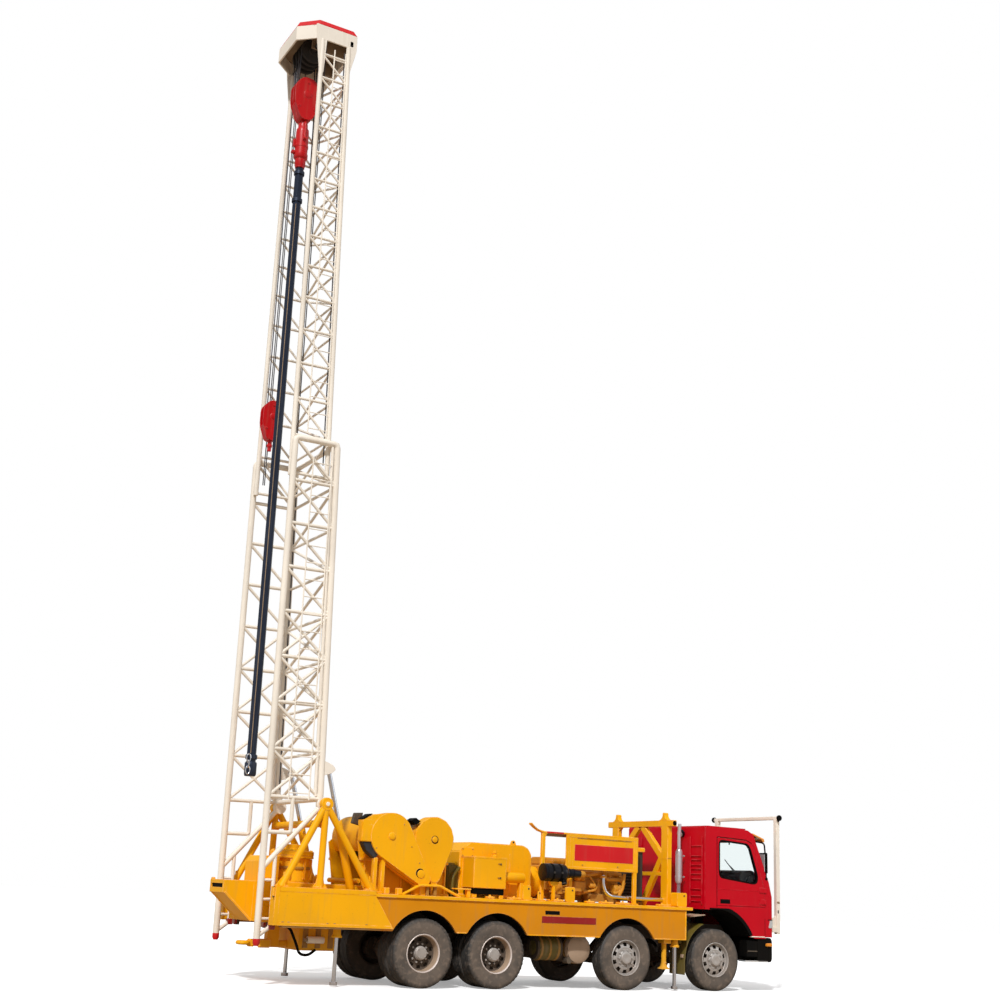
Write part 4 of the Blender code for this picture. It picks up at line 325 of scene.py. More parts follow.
paint("rig_yellow", "yellow_paint", (0.9, 0.42, 0.001), 0.45, dust=0.3, height=1.2, gloss=0.18)
paint("shade_yellow", "yellow_paint", (0.42, 0.2, 0.02), 0.6, dust=0.6, height=2.2)
# The skirt's deeper yellow is painted shade, standing for the shadow under the deck's lip.
paint("skirt_yellow_painted_shade", "yellow_paint", (0.68, 0.25, 0.001), 0.5, dust=0.35, height=1.3, streaks=0.2,
      gloss=0.15)
paint("mast_white", "mast_paint", (0.86, 0.79, 0.69), 0.5, dust=0.2, height=2.0, streaks=0.16,
      dust_colour=(0.42, 0.3, 0.18))
paint("cab_red", "cab_paint", (0.56, 0.0, 0.01), 0.36, dust=0.05, height=1.3, streaks=0.02,
      chips=0.03, coat=0.08, bump=0.03, edges=0.2, gloss=0.12, soften=True)
paint("plate_red", "block_paint", (0.62, 0.003, 0.008), 0.42, dust=0.1, chips=0.05)
paint("plate_dark_red", "block_paint", (0.3, 0.003, 0.004), 0.5, dust=0.2, chips=0.1)
paint("block_red", "block_paint", (0.52, 0.002, 0.005), 0.38, dust=0.1, streaks=0.2, chips=0.3)
paint("engine_paint", "engine_paint", (0.62, 0.27, 0.01), 0.5, dust=0.5, height=2.4, streaks=0.3)
paint("black_gloss", "black_paint", (0.003, 0.003, 0.006), 0.3, dust=0.02, streaks=0.01, chips=0.01,
      coat=0.12, edges=0.1, gloss=0.2)
paint("black_matt", "black_paint", (0.002, 0.002, 0.002), 0.65, dust=0.02, height=1.6, streaks=0.01,
      edges=0.1, gloss=0.08)
paint("rim_lip", "wheel_steel", (0.66, 0.58, 0.54), 0.45, metallic=0.2, dust=0.35, chips=0.3,
      dust_colour=(0.4, 0.29, 0.22))
paint("chassis_dark", "chassis_steel", (0.035, 0.03, 0.026), 0.7, dust=0.8, height=1.3,
      dust_colour=(0.16, 0.11, 0.075))
paint("drum_steel", "chassis_steel", (0.16, 0.13, 0.1), 0.5, metallic=0.7, streaks=0.3)
paint("wheel_silver", "wheel_steel", (0.52, 0.5, 0.48), 0.42, metallic=0.45, dust=0.75,
      height=1.4, dust_colour=(0.26, 0.19, 0.14), chips=0.4)
paint("kelly_blue", "kelly_steel", (0.022, 0.032, 0.058), 0.38, metallic=0.5, streaks=0.35,
      dust_colour=(0.1, 0.11, 0.14))
paint("bright_rod", "bright_metal", (0.7, 0.73, 0.8), 0.14, metallic=1.0, streaks=0.05,
      chips=0.0, dust=0.1, bump=0.02)
paint("cab_trim", "cab_trim", (0.035, 0.036, 0.042), 0.75, dust=0.1, chips=0.0)
paint("silencer_silver", "bright_metal", (0.62, 0.65, 0.7), 0.3, metallic=0.55, streaks=0.05, chips=0.0)
paint("mast_shade", "mast_paint", (0.3, 0.21, 0.13), 0.6, dust=0.3, height=3.0)
paint("rope_dark", "chassis_steel", (0.05, 0.048, 0.055), 0.5, metallic=0.5, streaks=0.3, chips=0.0)
paint("tank_tan", "chassis_steel", (0.42, 0.3, 0.21), 0.6, dust=0.6, height=0.9, streaks=0.3)
paint("olive_paint", "chassis_steel", (0.13, 0.1, 0.012), 0.5, dust=0.6, height=0.9, streaks=0.4)
paint("amber", "glass", (0.85, 0.3, 0.01), 0.2, dust=0.1, chips=0.0, coat=0.6)
paint("lamp_red", "glass", (0.28, 0.006, 0.006), 0.2, dust=0.3, chips=0.0, coat=0.6)
paint("lamp_clear", "glass", (0.75, 0.78, 0.8), 0.12, metallic=0.6, dust=0.1, chips=0.0, coat=0.8)

# %% [markdown]
# ## Rubber
# A truck tyre that has come down a dirt track is brown-grey on its walls and darker where
# the tread meets the road. The walls also carry fine rings from the mould. Both depend on
# the distance from the hub, which the group works out from the piece's own box.

# %% The rubber group and the glass
rubber, given, gives = group(
    "tyre_wall",
    (("Rubber", "Color", (0.03, 0.028, 0.026, 1)), ("Mud", "Color", (0.17, 0.13, 0.1, 1)),
     ("Mud Amount", "Float", 0.7)),
    (("Colour", "Color", None), ("Roughness", "Float", None), ("Height", "Float", None)))
place = rubber.nodes.new("ShaderNodeTexCoord")
centred = rubber.nodes.new("ShaderNodeMapping")
centred.inputs["Location"].default_value = (-1, 0, -1)
centred.inputs["Scale"].default_value = (2, 0, 2)
rubber.links.new(place.outputs["Generated"], centred.inputs["Vector"])
length = rubber.nodes.new("ShaderNodeVectorMath")
length.operation = "LENGTH"
rubber.links.new(centred.outputs[0], length.inputs[0])
reach = length.outputs["Value"]
wall = ranged(rubber, reach, 0.99, 0.88)
patches = ranged(rubber, grain(rubber, place.outputs["Object"], 4.5, 6), 0.3, 0.62, 0.45, 1.0)
mud = math(rubber, "MULTIPLY", math(rubber, "MULTIPLY", wall, patches), given["Mud Amount"])
crust = ranged(rubber, grain(rubber, place.outputs["Object"], 14, 4), 0.52, 0.66, 0.0, 0.4)
mud = math(rubber, "ADD", mud, crust, True)
rubber.links.new(blend(rubber, mud, given["Rubber"], given["Mud"]), gives["Colour"])
rubber.links.new(ranged(rubber, mud, 0.0, 1.0, 0.62, 0.92), gives["Roughness"])
rings = math(rubber, "SINE", math(rubber, "MULTIPLY", reach, 150.0), 0.0)
rings = math(rubber, "MULTIPLY", rings, 0.25)
rubber.links.new(math(rubber, "ADD", rings, grain(rubber, place.outputs["Object"], 60, 3)),
                 gives["Height"])

surface(*empty_material("dusty_tyre", "tyre"), rubber, 0.3, 0.004)

tree, shader = empty_material("cab_glass", "glass")
values(shader, Base_Color=(0.93, 0.97, 0.97, 1), Roughness=0.02, Transmission_Weight=1.0, IOR=1.1)
print(len(finishes), "finishes")

# %% [markdown]
# ## Shapes
# The rig is made of bars, bent plates, turned parts and boxes, so a few builders cover
# it. Each gives a bmesh, and `piece` joins several of them, each with its own finish,
# into one object that rides on a body of the solid model.

# %% Bars and bends


def bar(points, radius, sides=12):
    """A round bar along a path; the radius may differ from point to point."""
    work = bmesh.new()
    spots = [Vector(point) for point in points]
    radii = radius if isinstance(radius, (list, tuple)) else [radius] * len(spots)
    across = None
    rings = []
    for number, spot in enumerate(spots):
        before = (spot - spots[number - 1]).normalized() if number else None
        after = (spots[number + 1] - spot).normalized() if number < len(spots) - 1 else None
        heading = ((before or after) + (after or before)).normalized()
        across = heading.orthogonal() if across is None else across - heading * across.dot(heading)
        across.normalize()
        other = heading.cross(across)
        turns = [2 * pi * side / sides for side in range(sides)]
        rings.append([work.verts.new(spot + (across * cos(turn) + other * sin(turn)) * radii[number])
                      for turn in turns])
    for near, far in zip(rings, rings[1:]):
        for side in range(sides):
            work.faces.new((near[side - 1], near[side], far[side], far[side - 1]))
    work.faces.new(list(reversed(rings[0])))
    work.faces.new(rings[-1])
    return work


def bent(points, radius, steps=6):
    """Rounds the corners of a path, as a pipe bender does."""
    spots = [Vector(point) for point in points]
    path = [spots[0]]
    for before, corner, after in zip(spots, spots[1:], spots[2:]):
        start = corner + (before - corner).normalized() * radius
        end = corner + (after - corner).normalized() * radius
        for step in range(steps + 1):
            share = step / steps
            path.append(start.lerp(corner, share).lerp(corner.lerp(end, share), share))
    return path + [spots[-1]]


# %% Plates, boxes and turned parts
LAY = {"XZ": lambda u, v, w: (u, w, v), "YZ": lambda u, v, w: (w, u, v), "XY": lambda u, v, w: (u, v, w)}


def oblong(left, right, start, end):
    """The corners of a flat rectangle: an outline for a plate, or the profile of a plain disc."""
    return [(left, start), (right, start), (right, end), (left, end)]


def prism(outline, low, high, soften=0.0, segments=2, plane="XZ"):
    """A flat outline with a thickness, its edges rounded by soften."""
    work = bmesh.new()
    lay = LAY[plane]
    near = [work.verts.new(lay(u, v, low)) for u, v in outline]
    far = [work.verts.new(lay(u, v, high)) for u, v in outline]
    work.faces.new(near)
    work.faces.new(list(reversed(far)))
    for number in range(len(outline)):
        work.faces.new((near[number - 1], far[number - 1], far[number], near[number]))
    bmesh.ops.recalc_face_normals(work, faces=work.faces)
    if soften:
        bmesh.ops.bevel(work, geom=list(work.edges), offset=soften, segments=segments,
                        affect="EDGES", clamp_overlap=True)
    return work


def brick(low, high, soften=0.004, segments=2):
    """A box between two corners with softened edges."""
    corners = oblong(low[0], high[0], low[2], high[2])
    return prism(corners, low[1], high[1], soften, segments)


def turned(profile, centre=(0, 0, 0), axis=(0, 0, 1), steps=48):
    """A profile of (radius, along) turned about an axis through the centre."""
    work = bmesh.new()
    turn = Vector((0, 0, 1)).rotation_difference(Vector(axis)).to_matrix()
    rings = []
    for radius, along in profile:
        count = steps if radius > 1e-6 else 1
        ring = []
        for step in range(count):
            angle = 2 * pi * step / steps
            spot = Vector((radius * cos(angle), radius * sin(angle), along))
            ring.append(work.verts.new(turn @ spot + Vector(centre)))
        rings.append(ring)
    for near, far in zip(rings, rings[1:]):
        for step in range(steps):
            loop = [near[step - 1] if len(near) > 1 else near[0]]
            loop += [near[step]] if len(near) > 1 else []
            loop += [far[step]] if len(far) > 1 else [far[0]]
            loop += [far[step - 1]] if len(far) > 1 else []
            if len(loop) > 2:
                work.faces.new(loop)
    bmesh.ops.recalc_face_normals(work, faces=work.faces)
    return work


def rounded(outline, radius, steps=4):
    """A flat outline with its corners rounded."""
    spots = [Vector(spot) for spot in outline]
    made = []
    for number, corner in enumerate(spots):
        before = spots[number - 1]
        after = spots[(number + 1) % len(spots)]
        back = min(radius, (before - corner).length * 0.45)
        forth = min(radius, (after - corner).length * 0.45)
        start = corner + (before - corner).normalized() * back
        end = corner + (after - corner).normalized() * forth
        for step in range(steps + 1):
            share = step / steps
            made.append(tuple(start.lerp(corner, share).lerp(corner.lerp(end, share), share)))
    return made


def moved(shape, matrix):
    """The shape after a move or a turn."""
    bmesh.ops.transform(shape, matrix=matrix, verts=shape.verts)
    if matrix.determinant() < 0:
        bmesh.ops.reverse_faces(shape, faces=shape.faces)
    return shape


# %% Joining shapes to a piece that rides


def shrunk(shape, hair):
    """Pulls a shape's faces in by a hair, so that two shapes never share a plane."""
    for axis in range(3):
        places = [vert.co[axis] for vert in shape.verts]
        low, high = min(places), max(places)
        if high > low:
            scale = 1 - min(hair / (high - low), 0.04)
            for vert in shape.verts:
                vert.co[axis] = (low + high) / 2 + (vert.co[axis] - (low + high) / 2) * scale


def mesh_of(shapes, finish):
    """One mesh of several shapes; a shape may be paired with a finish of its own."""
    mesh = bpy.data.meshes.new("shapes")
    work = bmesh.new()
    keys = []
    for number, item in enumerate(shapes):
        shape, key = item if isinstance(item, tuple) else (item, finish)
        shrunk(shape, 0.0005 * (number % 7))
        if key not in keys:
            keys.append(key)
        for face in shape.faces:
            face.material_index = keys.index(key)
        scrap = bpy.data.meshes.new("scrap")
        shape.to_mesh(scrap)
        shape.free()
        work.from_mesh(scrap)
        bpy.data.meshes.remove(scrap)
    work.to_mesh(mesh)
    work.free()
    for key in keys:
        mesh.materials.append(finishes[key][0])
    mesh.shade_smooth()
    mesh.set_sharp_from_angle(angle=radians(32))
    return mesh, keys


def piece(name, shapes, finish, body="root", stands_for=()):
    """An object of several shapes that rides on a body."""
    mesh, keys = mesh_of(shapes, finish)
    mesh.name = name
    thing = bpy.data.objects.new(name, mesh)
    scene.collection.objects.link(thing)
    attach(thing, body)
    if stands_for:
        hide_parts(*stands_for)
    return thing


def finish_node(names, finish):
    """Gives a finish to nodes of the solid model that keep their shape."""
    for name in names:
        mesh = nodes[name].data
        mesh.materials.clear()
        mesh.materials.append(finishes[finish][0])
        for face in mesh.polygons:
            face.material_index = 0


SIDES = (("right", -1), ("left", 1))

# %% [markdown]
# ## Steered wheels
# The two front axles carry single tyres with ribs and small shoulder notches. Their steel
# discs bulge outwards and have ten hand holes and ten nuts. The tyre is a turned
# profile with the grooves in it, and the notches are rows of small blocks, because a
# bump would leave the tyre's edge smooth against the white.

# %% Tyres
AXLES = (3.81, 1.815)
BOGIE = (-0.832, -2.202)
HUB_Z = 0.54
TYRE_RADIUS = 0.54


def tyre_profile(half, groove):
    """A tyre's section: (radius, along its axle), from one bead to the other."""
    wall = [(0.302, 0.9), (0.318, 0.95), (0.335, 0.94), (0.36, 0.97), (0.42, 1.0), (0.47, 0.985),
            (0.5, 0.95), (0.52, 0.9), (0.531, 0.85)]
    ribs = [(0.54, 0.8), (0.54, 0.58), (groove, 0.56), (groove, 0.49), (0.54, 0.47),
            (0.54, 0.2), (groove, 0.18), (groove, 0.1), (0.54, 0.08)]
    outer = [(radius, share * half) for radius, share in wall + ribs]
    return outer + [(radius, -along) for radius, along in reversed(outer)]


def lugs(centre_y, half, count, reach, depth, slant):
    """Rows of tread blocks on both shoulders of a tyre."""
    made = []
    for side in (-1, 1):
        for number in range(count):
            angle = 2 * pi * (number + 0.25 * side) / count
            width = pi * TYRE_RADIUS / count * 0.56
            edge = side * half
            outline = [(-width, 0), (width, 0), (width * slant, 1), (-width * slant, 1)]
            block = bmesh.new()
            low = TYRE_RADIUS - depth
            spots = []
            for radius, outward in ((low, 1.0), (TYRE_RADIUS - 0.001, 0.86)):
                for u, v in outline:
                    y = edge * (outward - (1 - v) * reach)
                    spots.append(block.verts.new((u, y, radius)))
            for loop in ((0, 1, 2, 3), (7, 6, 5, 4), (0, 4, 5, 1),
                         (1, 5, 6, 2), (2, 6, 7, 3), (3, 7, 4, 0)):
                block.faces.new([spots[index] for index in loop])
            bmesh.ops.recalc_face_normals(block, faces=block.faces)
            turn = Matrix.Translation((0, centre_y, 0)) @ Matrix.Rotation(angle, 4, "Y")
            made.append((moved(block, turn), "dusty_tyre"))
    return made


# %% Steel discs and nuts


def on_axle(profile, steps):
    """A profile of (radius, along) turned about a wheel's axle."""
    return turned(profile, (0, 0, 0), (0, 1, 0), steps)


def nuts(radius, along, count, size, length, outward=1):
    """Wheel nuts on studs round a hub."""
    made = []
    for number in range(count):
        angle = 2 * pi * number / count
        spot = (radius * cos(angle), 0, radius * sin(angle))
        for wide, far in ((size, 0.6), (size * 0.55, 1.0)):
            profile = ((wide, along - 0.004), (wide, along + length * far * outward),
                       (0, along + length * far * outward))
            made.append((turned(profile, spot, (0, 1, 0), 6), "wheel_silver"))
    return made


def front_disc():
    """The bulging disc of a steered wheel with real hand holes."""
    steps = 80
    profile = [(0.296, 0.128), (0.304, 0.15), (0.296, 0.156), (0.286, 0.15), (0.278, 0.128),
               (0.274, 0.094), (0.262, 0.085), (0.254, 0.096), (0.226, 0.112), (0.196, 0.122),
               (0.176, 0.126), (0.165, 0.12), (0.12, 0.12), (0.112, 0.128), (0.108, 0.16),
               (0.096, 0.176), (0.06, 0.182), (0.05, 0.178), (0, 0.178)]
    disc = on_axle(profile, steps)
    gone = []
    for face in disc.faces:
        middle = face.calc_center_median()
        radius = hypot(middle.x, middle.z)
        slot = (atan2(middle.z, middle.x) / (2 * pi) * 10) % 1
        if 0.2 < radius < 0.245 and 0.3 < slot < 0.7:
            gone.append(face)
    bmesh.ops.delete(disc, geom=gone, context="FACES")
    barrel = on_axle(((0.3, 0.145), (0.3, -0.14), (0.28, -0.14), (0.272, 0.08)), 48)
    back = on_axle(((0.26, 0.03), (0, 0.03)), 32)
    made = [(disc, "wheel_silver"), (barrel, "chassis_dark"), (back, "chassis_dark")]
    return made + nuts(0.142, 0.122, 10, 0.017, 0.03)


def twin_disc():
    """The deep dish of the outer twin wheel with its hub standing out of it."""
    lip = [(0.296, 0.278), (0.304, 0.298), (0.296, 0.306), (0.284, 0.298), (0.279, 0.284)]
    dish = [(0.282, 0.29), (0.276, 0.27), (0.268, 0.2), (0.262, 0.15)]
    profile = [(0.264, 0.157), (0.24, 0.14), (0.19, 0.136), (0.18, 0.142), (0.105, 0.142)]
    disc = on_axle(profile, 80)
    gone = []
    for face in disc.faces:
        middle = face.calc_center_median()
        slot = (atan2(middle.z, middle.x) / (2 * pi) * 10) % 1
        if 0.19 < hypot(middle.x, middle.z) < 0.24 and 0.28 < slot < 0.72:
            gone.append(face)
    bmesh.ops.delete(disc, geom=gone, context="FACES")
    hub = on_axle(((0.112, 0.13), (0.112, 0.2), (0.104, 0.206), (0.104, 0.228), (0.092, 0.236),
                   (0.088, 0.246), (0.04, 0.25), (0, 0.25)), 40)
    barrel = on_axle(((0.3, 0.29), (0.3, -0.29), (0.276, -0.29), (0.27, 0.12)), 48)
    back = on_axle(((0.268, 0.09), (0, 0.09)), 32)
    inner = on_axle(((0.275, -0.26), (0.22, -0.1), (0.1, -0.08), (0.1, -0.24), (0, -0.24)), 32)
    made = [
        (on_axle(lip, 80), "rim_lip"),
        (on_axle(dish, 80), "tank_tan"),
        (disc, "chassis_dark"),
        (hub, "wheel_silver"),
        (barrel, "chassis_dark"),
        (back, "chassis_dark"),
        (inner, "chassis_dark"),
    ]
    return made + nuts(0.147, 0.142, 10, 0.018, 0.034) + nuts(0.075, 0.242, 8, 0.009, 0.016)


# %% Set the wheels on their axles


def wheel(name, shapes, where, side, body, stands_for):
    """A wheel built about its own centre, put on its axle; the right ones turn round."""
    turn = Matrix.Rotation(0 if side > 0 else pi, 4, "Z")
    at = Matrix.Translation(where) @ turn
    placed = [(moved(shape, at), key) for shape, key in shapes]
    return piece(name, placed, "dusty_tyre", body, stands_for)


for number, x in enumerate(AXLES, 1):
    for name, side in SIDES:
        label = f"{name}_{number}"
        where = (x, side * 1.04, HUB_Z)
        rubber_parts = [(on_axle(tyre_profile(0.155, 0.528), 96), "dusty_tyre")]
        wheel("ribbed_tyre_" + label, rubber_parts + lugs(0, 0.139, 60, 0.12, 0.022, 0.8), where, side,
              "wheel_" + label, ["front_tyre_" + label])
        wheel("wheel_disc_" + label, front_disc(), where, side, "wheel_" + label,
              ["front_rim_" + label])
for number, x in enumerate(BOGIE, 1):
    for name, side in SIDES:
        label = f"{name}_{number}"
        shapes = []
        for middle in (-0.165, 0.165):
            shape = turned(tyre_profile(0.145, 0.524), (0, middle, 0), (0, 1, 0), 96)
            shapes += [
                (shape, "dusty_tyre"),
                *lugs(middle, 0.145, 44, 0.22, 0.045, 0.6),
            ]
        wheel("twin_wheels_" + label, shapes + twin_disc(), (x, side * 0.915, HUB_Z), side,
              "twin_" + label, ["twin_wheel_" + label])

# %% [markdown]
# ## The mast's lattice
# The mast is two sections of round tube, the upper one sliding in the lower one. Each has
# two sides and a face towards the cab, and it is open to the rear for the block and the
# kelly. The bars are worked out from a few heights, because a lattice that is drawn bar by
# bar can't be changed later. All of it is built upright and then tipped with the mast.

# %% The mast's own frame
PIVOT_X, PIVOT_Z = -4.04, 2.78
MAST = Matrix.Translation((PIVOT_X, 0, PIVOT_Z)) @ Matrix.Rotation(radians(-0.7), 4, "Y")
CHORD_X = -0.95
LOWER_HALF = 0.94
LOWER_HEAD = 6.058
UPPER_FOOT = 5.42
UPPER_HEAD = 13.6
CROWN_LOW = 13.9
CROWN_TOP = 14.32


def between(low, high, share):
    """The value at a share of the way from low to high."""
    return low + (high - low) * share


def lower_front(z):
    """x of the lower section's front chord at a height along the mast."""
    return between(-0.05, -0.175, z / 6.1)


def upper_front(z):
    """x of the upper section's front chord."""
    return between(-0.285, -0.42, (z - UPPER_FOOT) / (UPPER_HEAD - UPPER_FOOT))


def upper_half(z):
    """Half the upper section's width, which narrows towards the crown."""
    return between(0.82, 0.74, (z - UPPER_FOOT) / (UPPER_HEAD - UPPER_FOOT))


def levels(low, high, count, shrink):
    """Heights of the horizontals; each panel is a little lower than the one below."""
    steps = [shrink ** number for number in range(count)]
    made = [low]
    for step in steps:
        made.append(made[-1] + (high - low) * step / sum(steps))
    return made


LOWER_LEVELS = levels(0.08, LOWER_HEAD, 8, 1)
UPPER_LEVELS = levels(UPPER_FOOT + 0.042, UPPER_HEAD, 14, 0.975)


def on_mast(name, shapes, finish, body, stands_for=()):
    """A piece built in the mast's own frame and tipped with it."""
    tipped = []
    for item in shapes:
        shape, key = item if isinstance(item, tuple) else (item, finish)
        tipped.append((moved(shape, MAST), key))
    return piece(name, tipped, finish, body, stands_for)


# %% Sides, faces and ladders of the lattice


def ladder(rear, front, y, low, high):
    """Two thin rails with rungs; rear, front and y give their places at a height."""
    made = [bar(((rail(low), y(low), low), (rail(high), y(high), high)), 0.013, 8)
            for rail in (rear, front)]
    z = low + 0.1
    while z < high:
        made.append(bar(((rear(z), y(z), z), (front(z), y(z), z)), 0.01, 8))
        z += 0.29
    return made


def front_face(rows, front, half, radius, heavy, crossed):
    """The face between the front chords, crossed in the lowest panels."""
    made = []
    for number, z in enumerate(rows):
        thick = heavy if number in (0, len(rows) - 1) else radius
        made.append(bar(((front(z), -half(z), z), (front(z), half(z), z)), thick, 10))
    for number, (low, high) in enumerate(zip(rows, rows[1:])):
        for side in ((-1, 1) if number < crossed else ((-1) ** number,)):
            made.append(bar(((front(low), side * half(low), low),
                             (front(high), -side * half(high), high)), radius, 10))
    return made


def lower_side(side):
    """A side of the lower section with its leg, foot and the leg's short ladder."""
    y = side * LOWER_HALF

    def rod(a, b, radius, sides=12):
        return bar(((a[0], y, a[1]), (b[0], y, b[1])), radius, sides)

    frame_path = [(CHORD_X, y, -2.11), (CHORD_X, y, LOWER_HEAD), (lower_front(LOWER_HEAD), y, LOWER_HEAD),
                  (-0.05, y, 0)]
    made = [bar(bent(frame_path, 0.09), 0.053, 16)]
    for number, (low, high) in enumerate(zip(LOWER_LEVELS, LOWER_LEVELS[1:])):
        made += [
            rod((CHORD_X, low), (lower_front(low), low), 0.031),
            rod((CHORD_X, high), (lower_front(low), low), 0.026),
        ]
        if number < 4:
            made.append(rod((CHORD_X, low), (lower_front(high), high), 0.026))
    guide = [lower_front(z) - 0.088 for z in (0.12, 6.0)]
    made += [
        rod((guide[0], 0.12), (guide[1], 6.0), 0.028),
        rod((0, 0), (CHORD_X, -1.02), 0.042, 16),
        bar(bent([(-0.52, y, 0.08), (-0.52, y, -0.47), (CHORD_X, y, -0.47)], 0.05), 0.032, 14),
    ]
    rail = [(-0.745, y, -0.8), (-0.745, y, -1.9), (CHORD_X, y, -2.05)]
    made.append(bar(bent(rail, 0.05), 0.032, 14))
    for number in range(3):
        z = -1.2 - number * 0.29
        made.append(rod((CHORD_X, z), (-0.745, z), 0.022))
    tip = ((0, 0.02), (0.056, 0.02), (0.056, -0.045), (0.036, -0.085), (0, -0.085))
    made.append((turned(tip, (CHORD_X, y, -2.1)), "plate_red"))
    lug = ((0, 0.045), (0.1, 0.045), (0.11, 0.035), (0.11, -0.035), (0.1, -0.045), (0, -0.045))
    made.append(turned(lug, (0, y, 0), (0, 1, 0)))
    pin = oblong(0, 0.05, 0.0, 0.088)
    made.append(turned(pin, (0, y, 0), (0, side, 0), 32))
    ear = rounded([(-0.05, 0.45), (0.12, 0.5), (0.19, 0.57), (0.12, 0.64), (-0.05, 0.7)], 0.05)
    made.append(prism(ear, y - 0.028, y + 0.028, 0.004))
    return made


def upper_side(side):
    """A side of the upper section with the sliding pads at its foot."""
    def spot(x, z):
        return (x, side * upper_half(z), z)

    made = [
        bar((spot(CHORD_X, UPPER_FOOT), spot(CHORD_X, CROWN_LOW)), 0.042, 16),
        bar((spot(upper_front(UPPER_FOOT), UPPER_FOOT), spot(upper_front(CROWN_LOW), CROWN_LOW)),
            0.042, 16),
    ]
    for low, high in zip(UPPER_LEVELS, UPPER_LEVELS[1:]):
        made += [
            bar((spot(CHORD_X, low), spot(upper_front(low), low)), 0.025),
            bar((spot(CHORD_X, high), spot(upper_front(low), low)), 0.021),
        ]
    made.append(bar((spot(CHORD_X, UPPER_HEAD), spot(upper_front(UPPER_HEAD), UPPER_HEAD)), 0.025))
    edges = sorted((side * 0.8, side * (LOWER_HALF - 0.054)))
    made.append((brick((CHORD_X - 0.03, edges[0], 5.43), (CHORD_X + 0.03, edges[1], 5.66), 0.006),
                 "mast_white"))
    return made


for name, side in SIDES:
    on_mast("mast_lower_lattice_" + name, lower_side(side), "mast_white", "mast_lower",
            ["mast_lower_" + name])
    on_mast("mast_upper_lattice_" + name, upper_side(side), "mast_white", "mast_upper",
            ["mast_upper_" + name])
on_mast("mast_lower_front", front_face(LOWER_LEVELS, lower_front, lambda z: LOWER_HALF, 0.026, 0.042, 4),
        "mast_white", "mast_lower", ["mast_lower_face"])
on_mast("mast_upper_front", front_face(UPPER_LEVELS, upper_front, upper_half, 0.022, 0.024, 0),
        "mast_white", "mast_upper", ["mast_upper_face"])
on_mast("lower_ladder", ladder(lambda z: -0.61, lambda z: -0.26, lambda z: -LOWER_HALF - 0.03, 0.05, 5.75),
        "mast_white", "mast_lower")
on_mast("upper_ladder", ladder(lambda z: -0.7, lambda z: upper_front(z) - 0.055,
                               lambda z: -upper_half(z) - 0.012, 6.2, 13.75), "mast_white", "mast_upper")
print("mast lattice done,", len(LOWER_LEVELS), "and", len(UPPER_LEVELS), "levels")

# %% [markdown]
# ## Crown, blocks and kelly
# The crown is an open steel box on top of the mast with a red rim. It holds the sheaves.
# The ropes run down to the red travelling block, and the swivel and the kelly hang from
# its hook. A rope is a plain dark bar at this size, but a sheave needs its groove, since
# the ropes have to run off it at the right place.

# %% Crown


def walls(outer, inner, low, high):
    """A ring of upright walls between two outlines with as many corners."""
    work = bmesh.new()
    rings = [[work.verts.new((x, y, z)) for x, y in outline]
             for outline, z in ((outer, low), (outer, high), (inner, high), (inner, low))]
    for ring, following in zip(rings, rings[1:] + rings[:1]):
        for number in range(len(outer)):
            work.faces.new((ring[number - 1], ring[number], following[number], following[number - 1]))
    bmesh.ops.recalc_face_normals(work, faces=work.faces)
    bmesh.ops.bevel(work, geom=list(work.edges), offset=0.004, segments=2, affect="EDGES")
    return work


def hipped(lower, upper, low, high):
    """A lid whose top outline is smaller than its foot."""
    work = bmesh.new()
    foot = [work.verts.new((x, y, low)) for x, y in lower]
    top = [work.verts.new((x, y, high)) for x, y in upper]
    work.faces.new(list(reversed(foot)))
    work.faces.new(top)
    for number in range(len(foot)):
        work.faces.new((foot[number - 1], foot[number], top[number], top[number - 1]))
    bmesh.ops.recalc_face_normals(work, faces=work.faces)
    bmesh.ops.bevel(work, geom=list(work.edges), offset=0.006, segments=2, affect="EDGES")
    return work


def crown_plan(inset):
    """The crown seen from above, pulled in all round by inset."""
    half, rear_half = 0.76 - inset, 0.45 - inset / 2
    front, shoulder, rear = -0.27 - inset, -1.02, -1.37 + inset
    return [(front, -half), (front, half), (shoulder, half), (rear, rear_half), (rear, -rear_half),
            (shoulder, -half)]


def sheave(x, y, z, radius, half=0.028):
    """A grooved rope wheel across the mast."""
    profile = ((0, half * 0.6), (radius * 0.3, half * 0.6), (radius * 0.35, half * 0.3),
               (radius * 0.8, half * 0.3), (radius * 0.85, half), (radius, half), (radius * 0.92, 0),
               (radius, -half), (radius * 0.85, -half), (radius * 0.8, -half * 0.3),
               (radius * 0.35, -half * 0.3), (radius * 0.3, -half * 0.6), (0, -half * 0.6))
    return (turned(profile, (x, y, z), (0, 1, 0), 40), "chassis_dark")


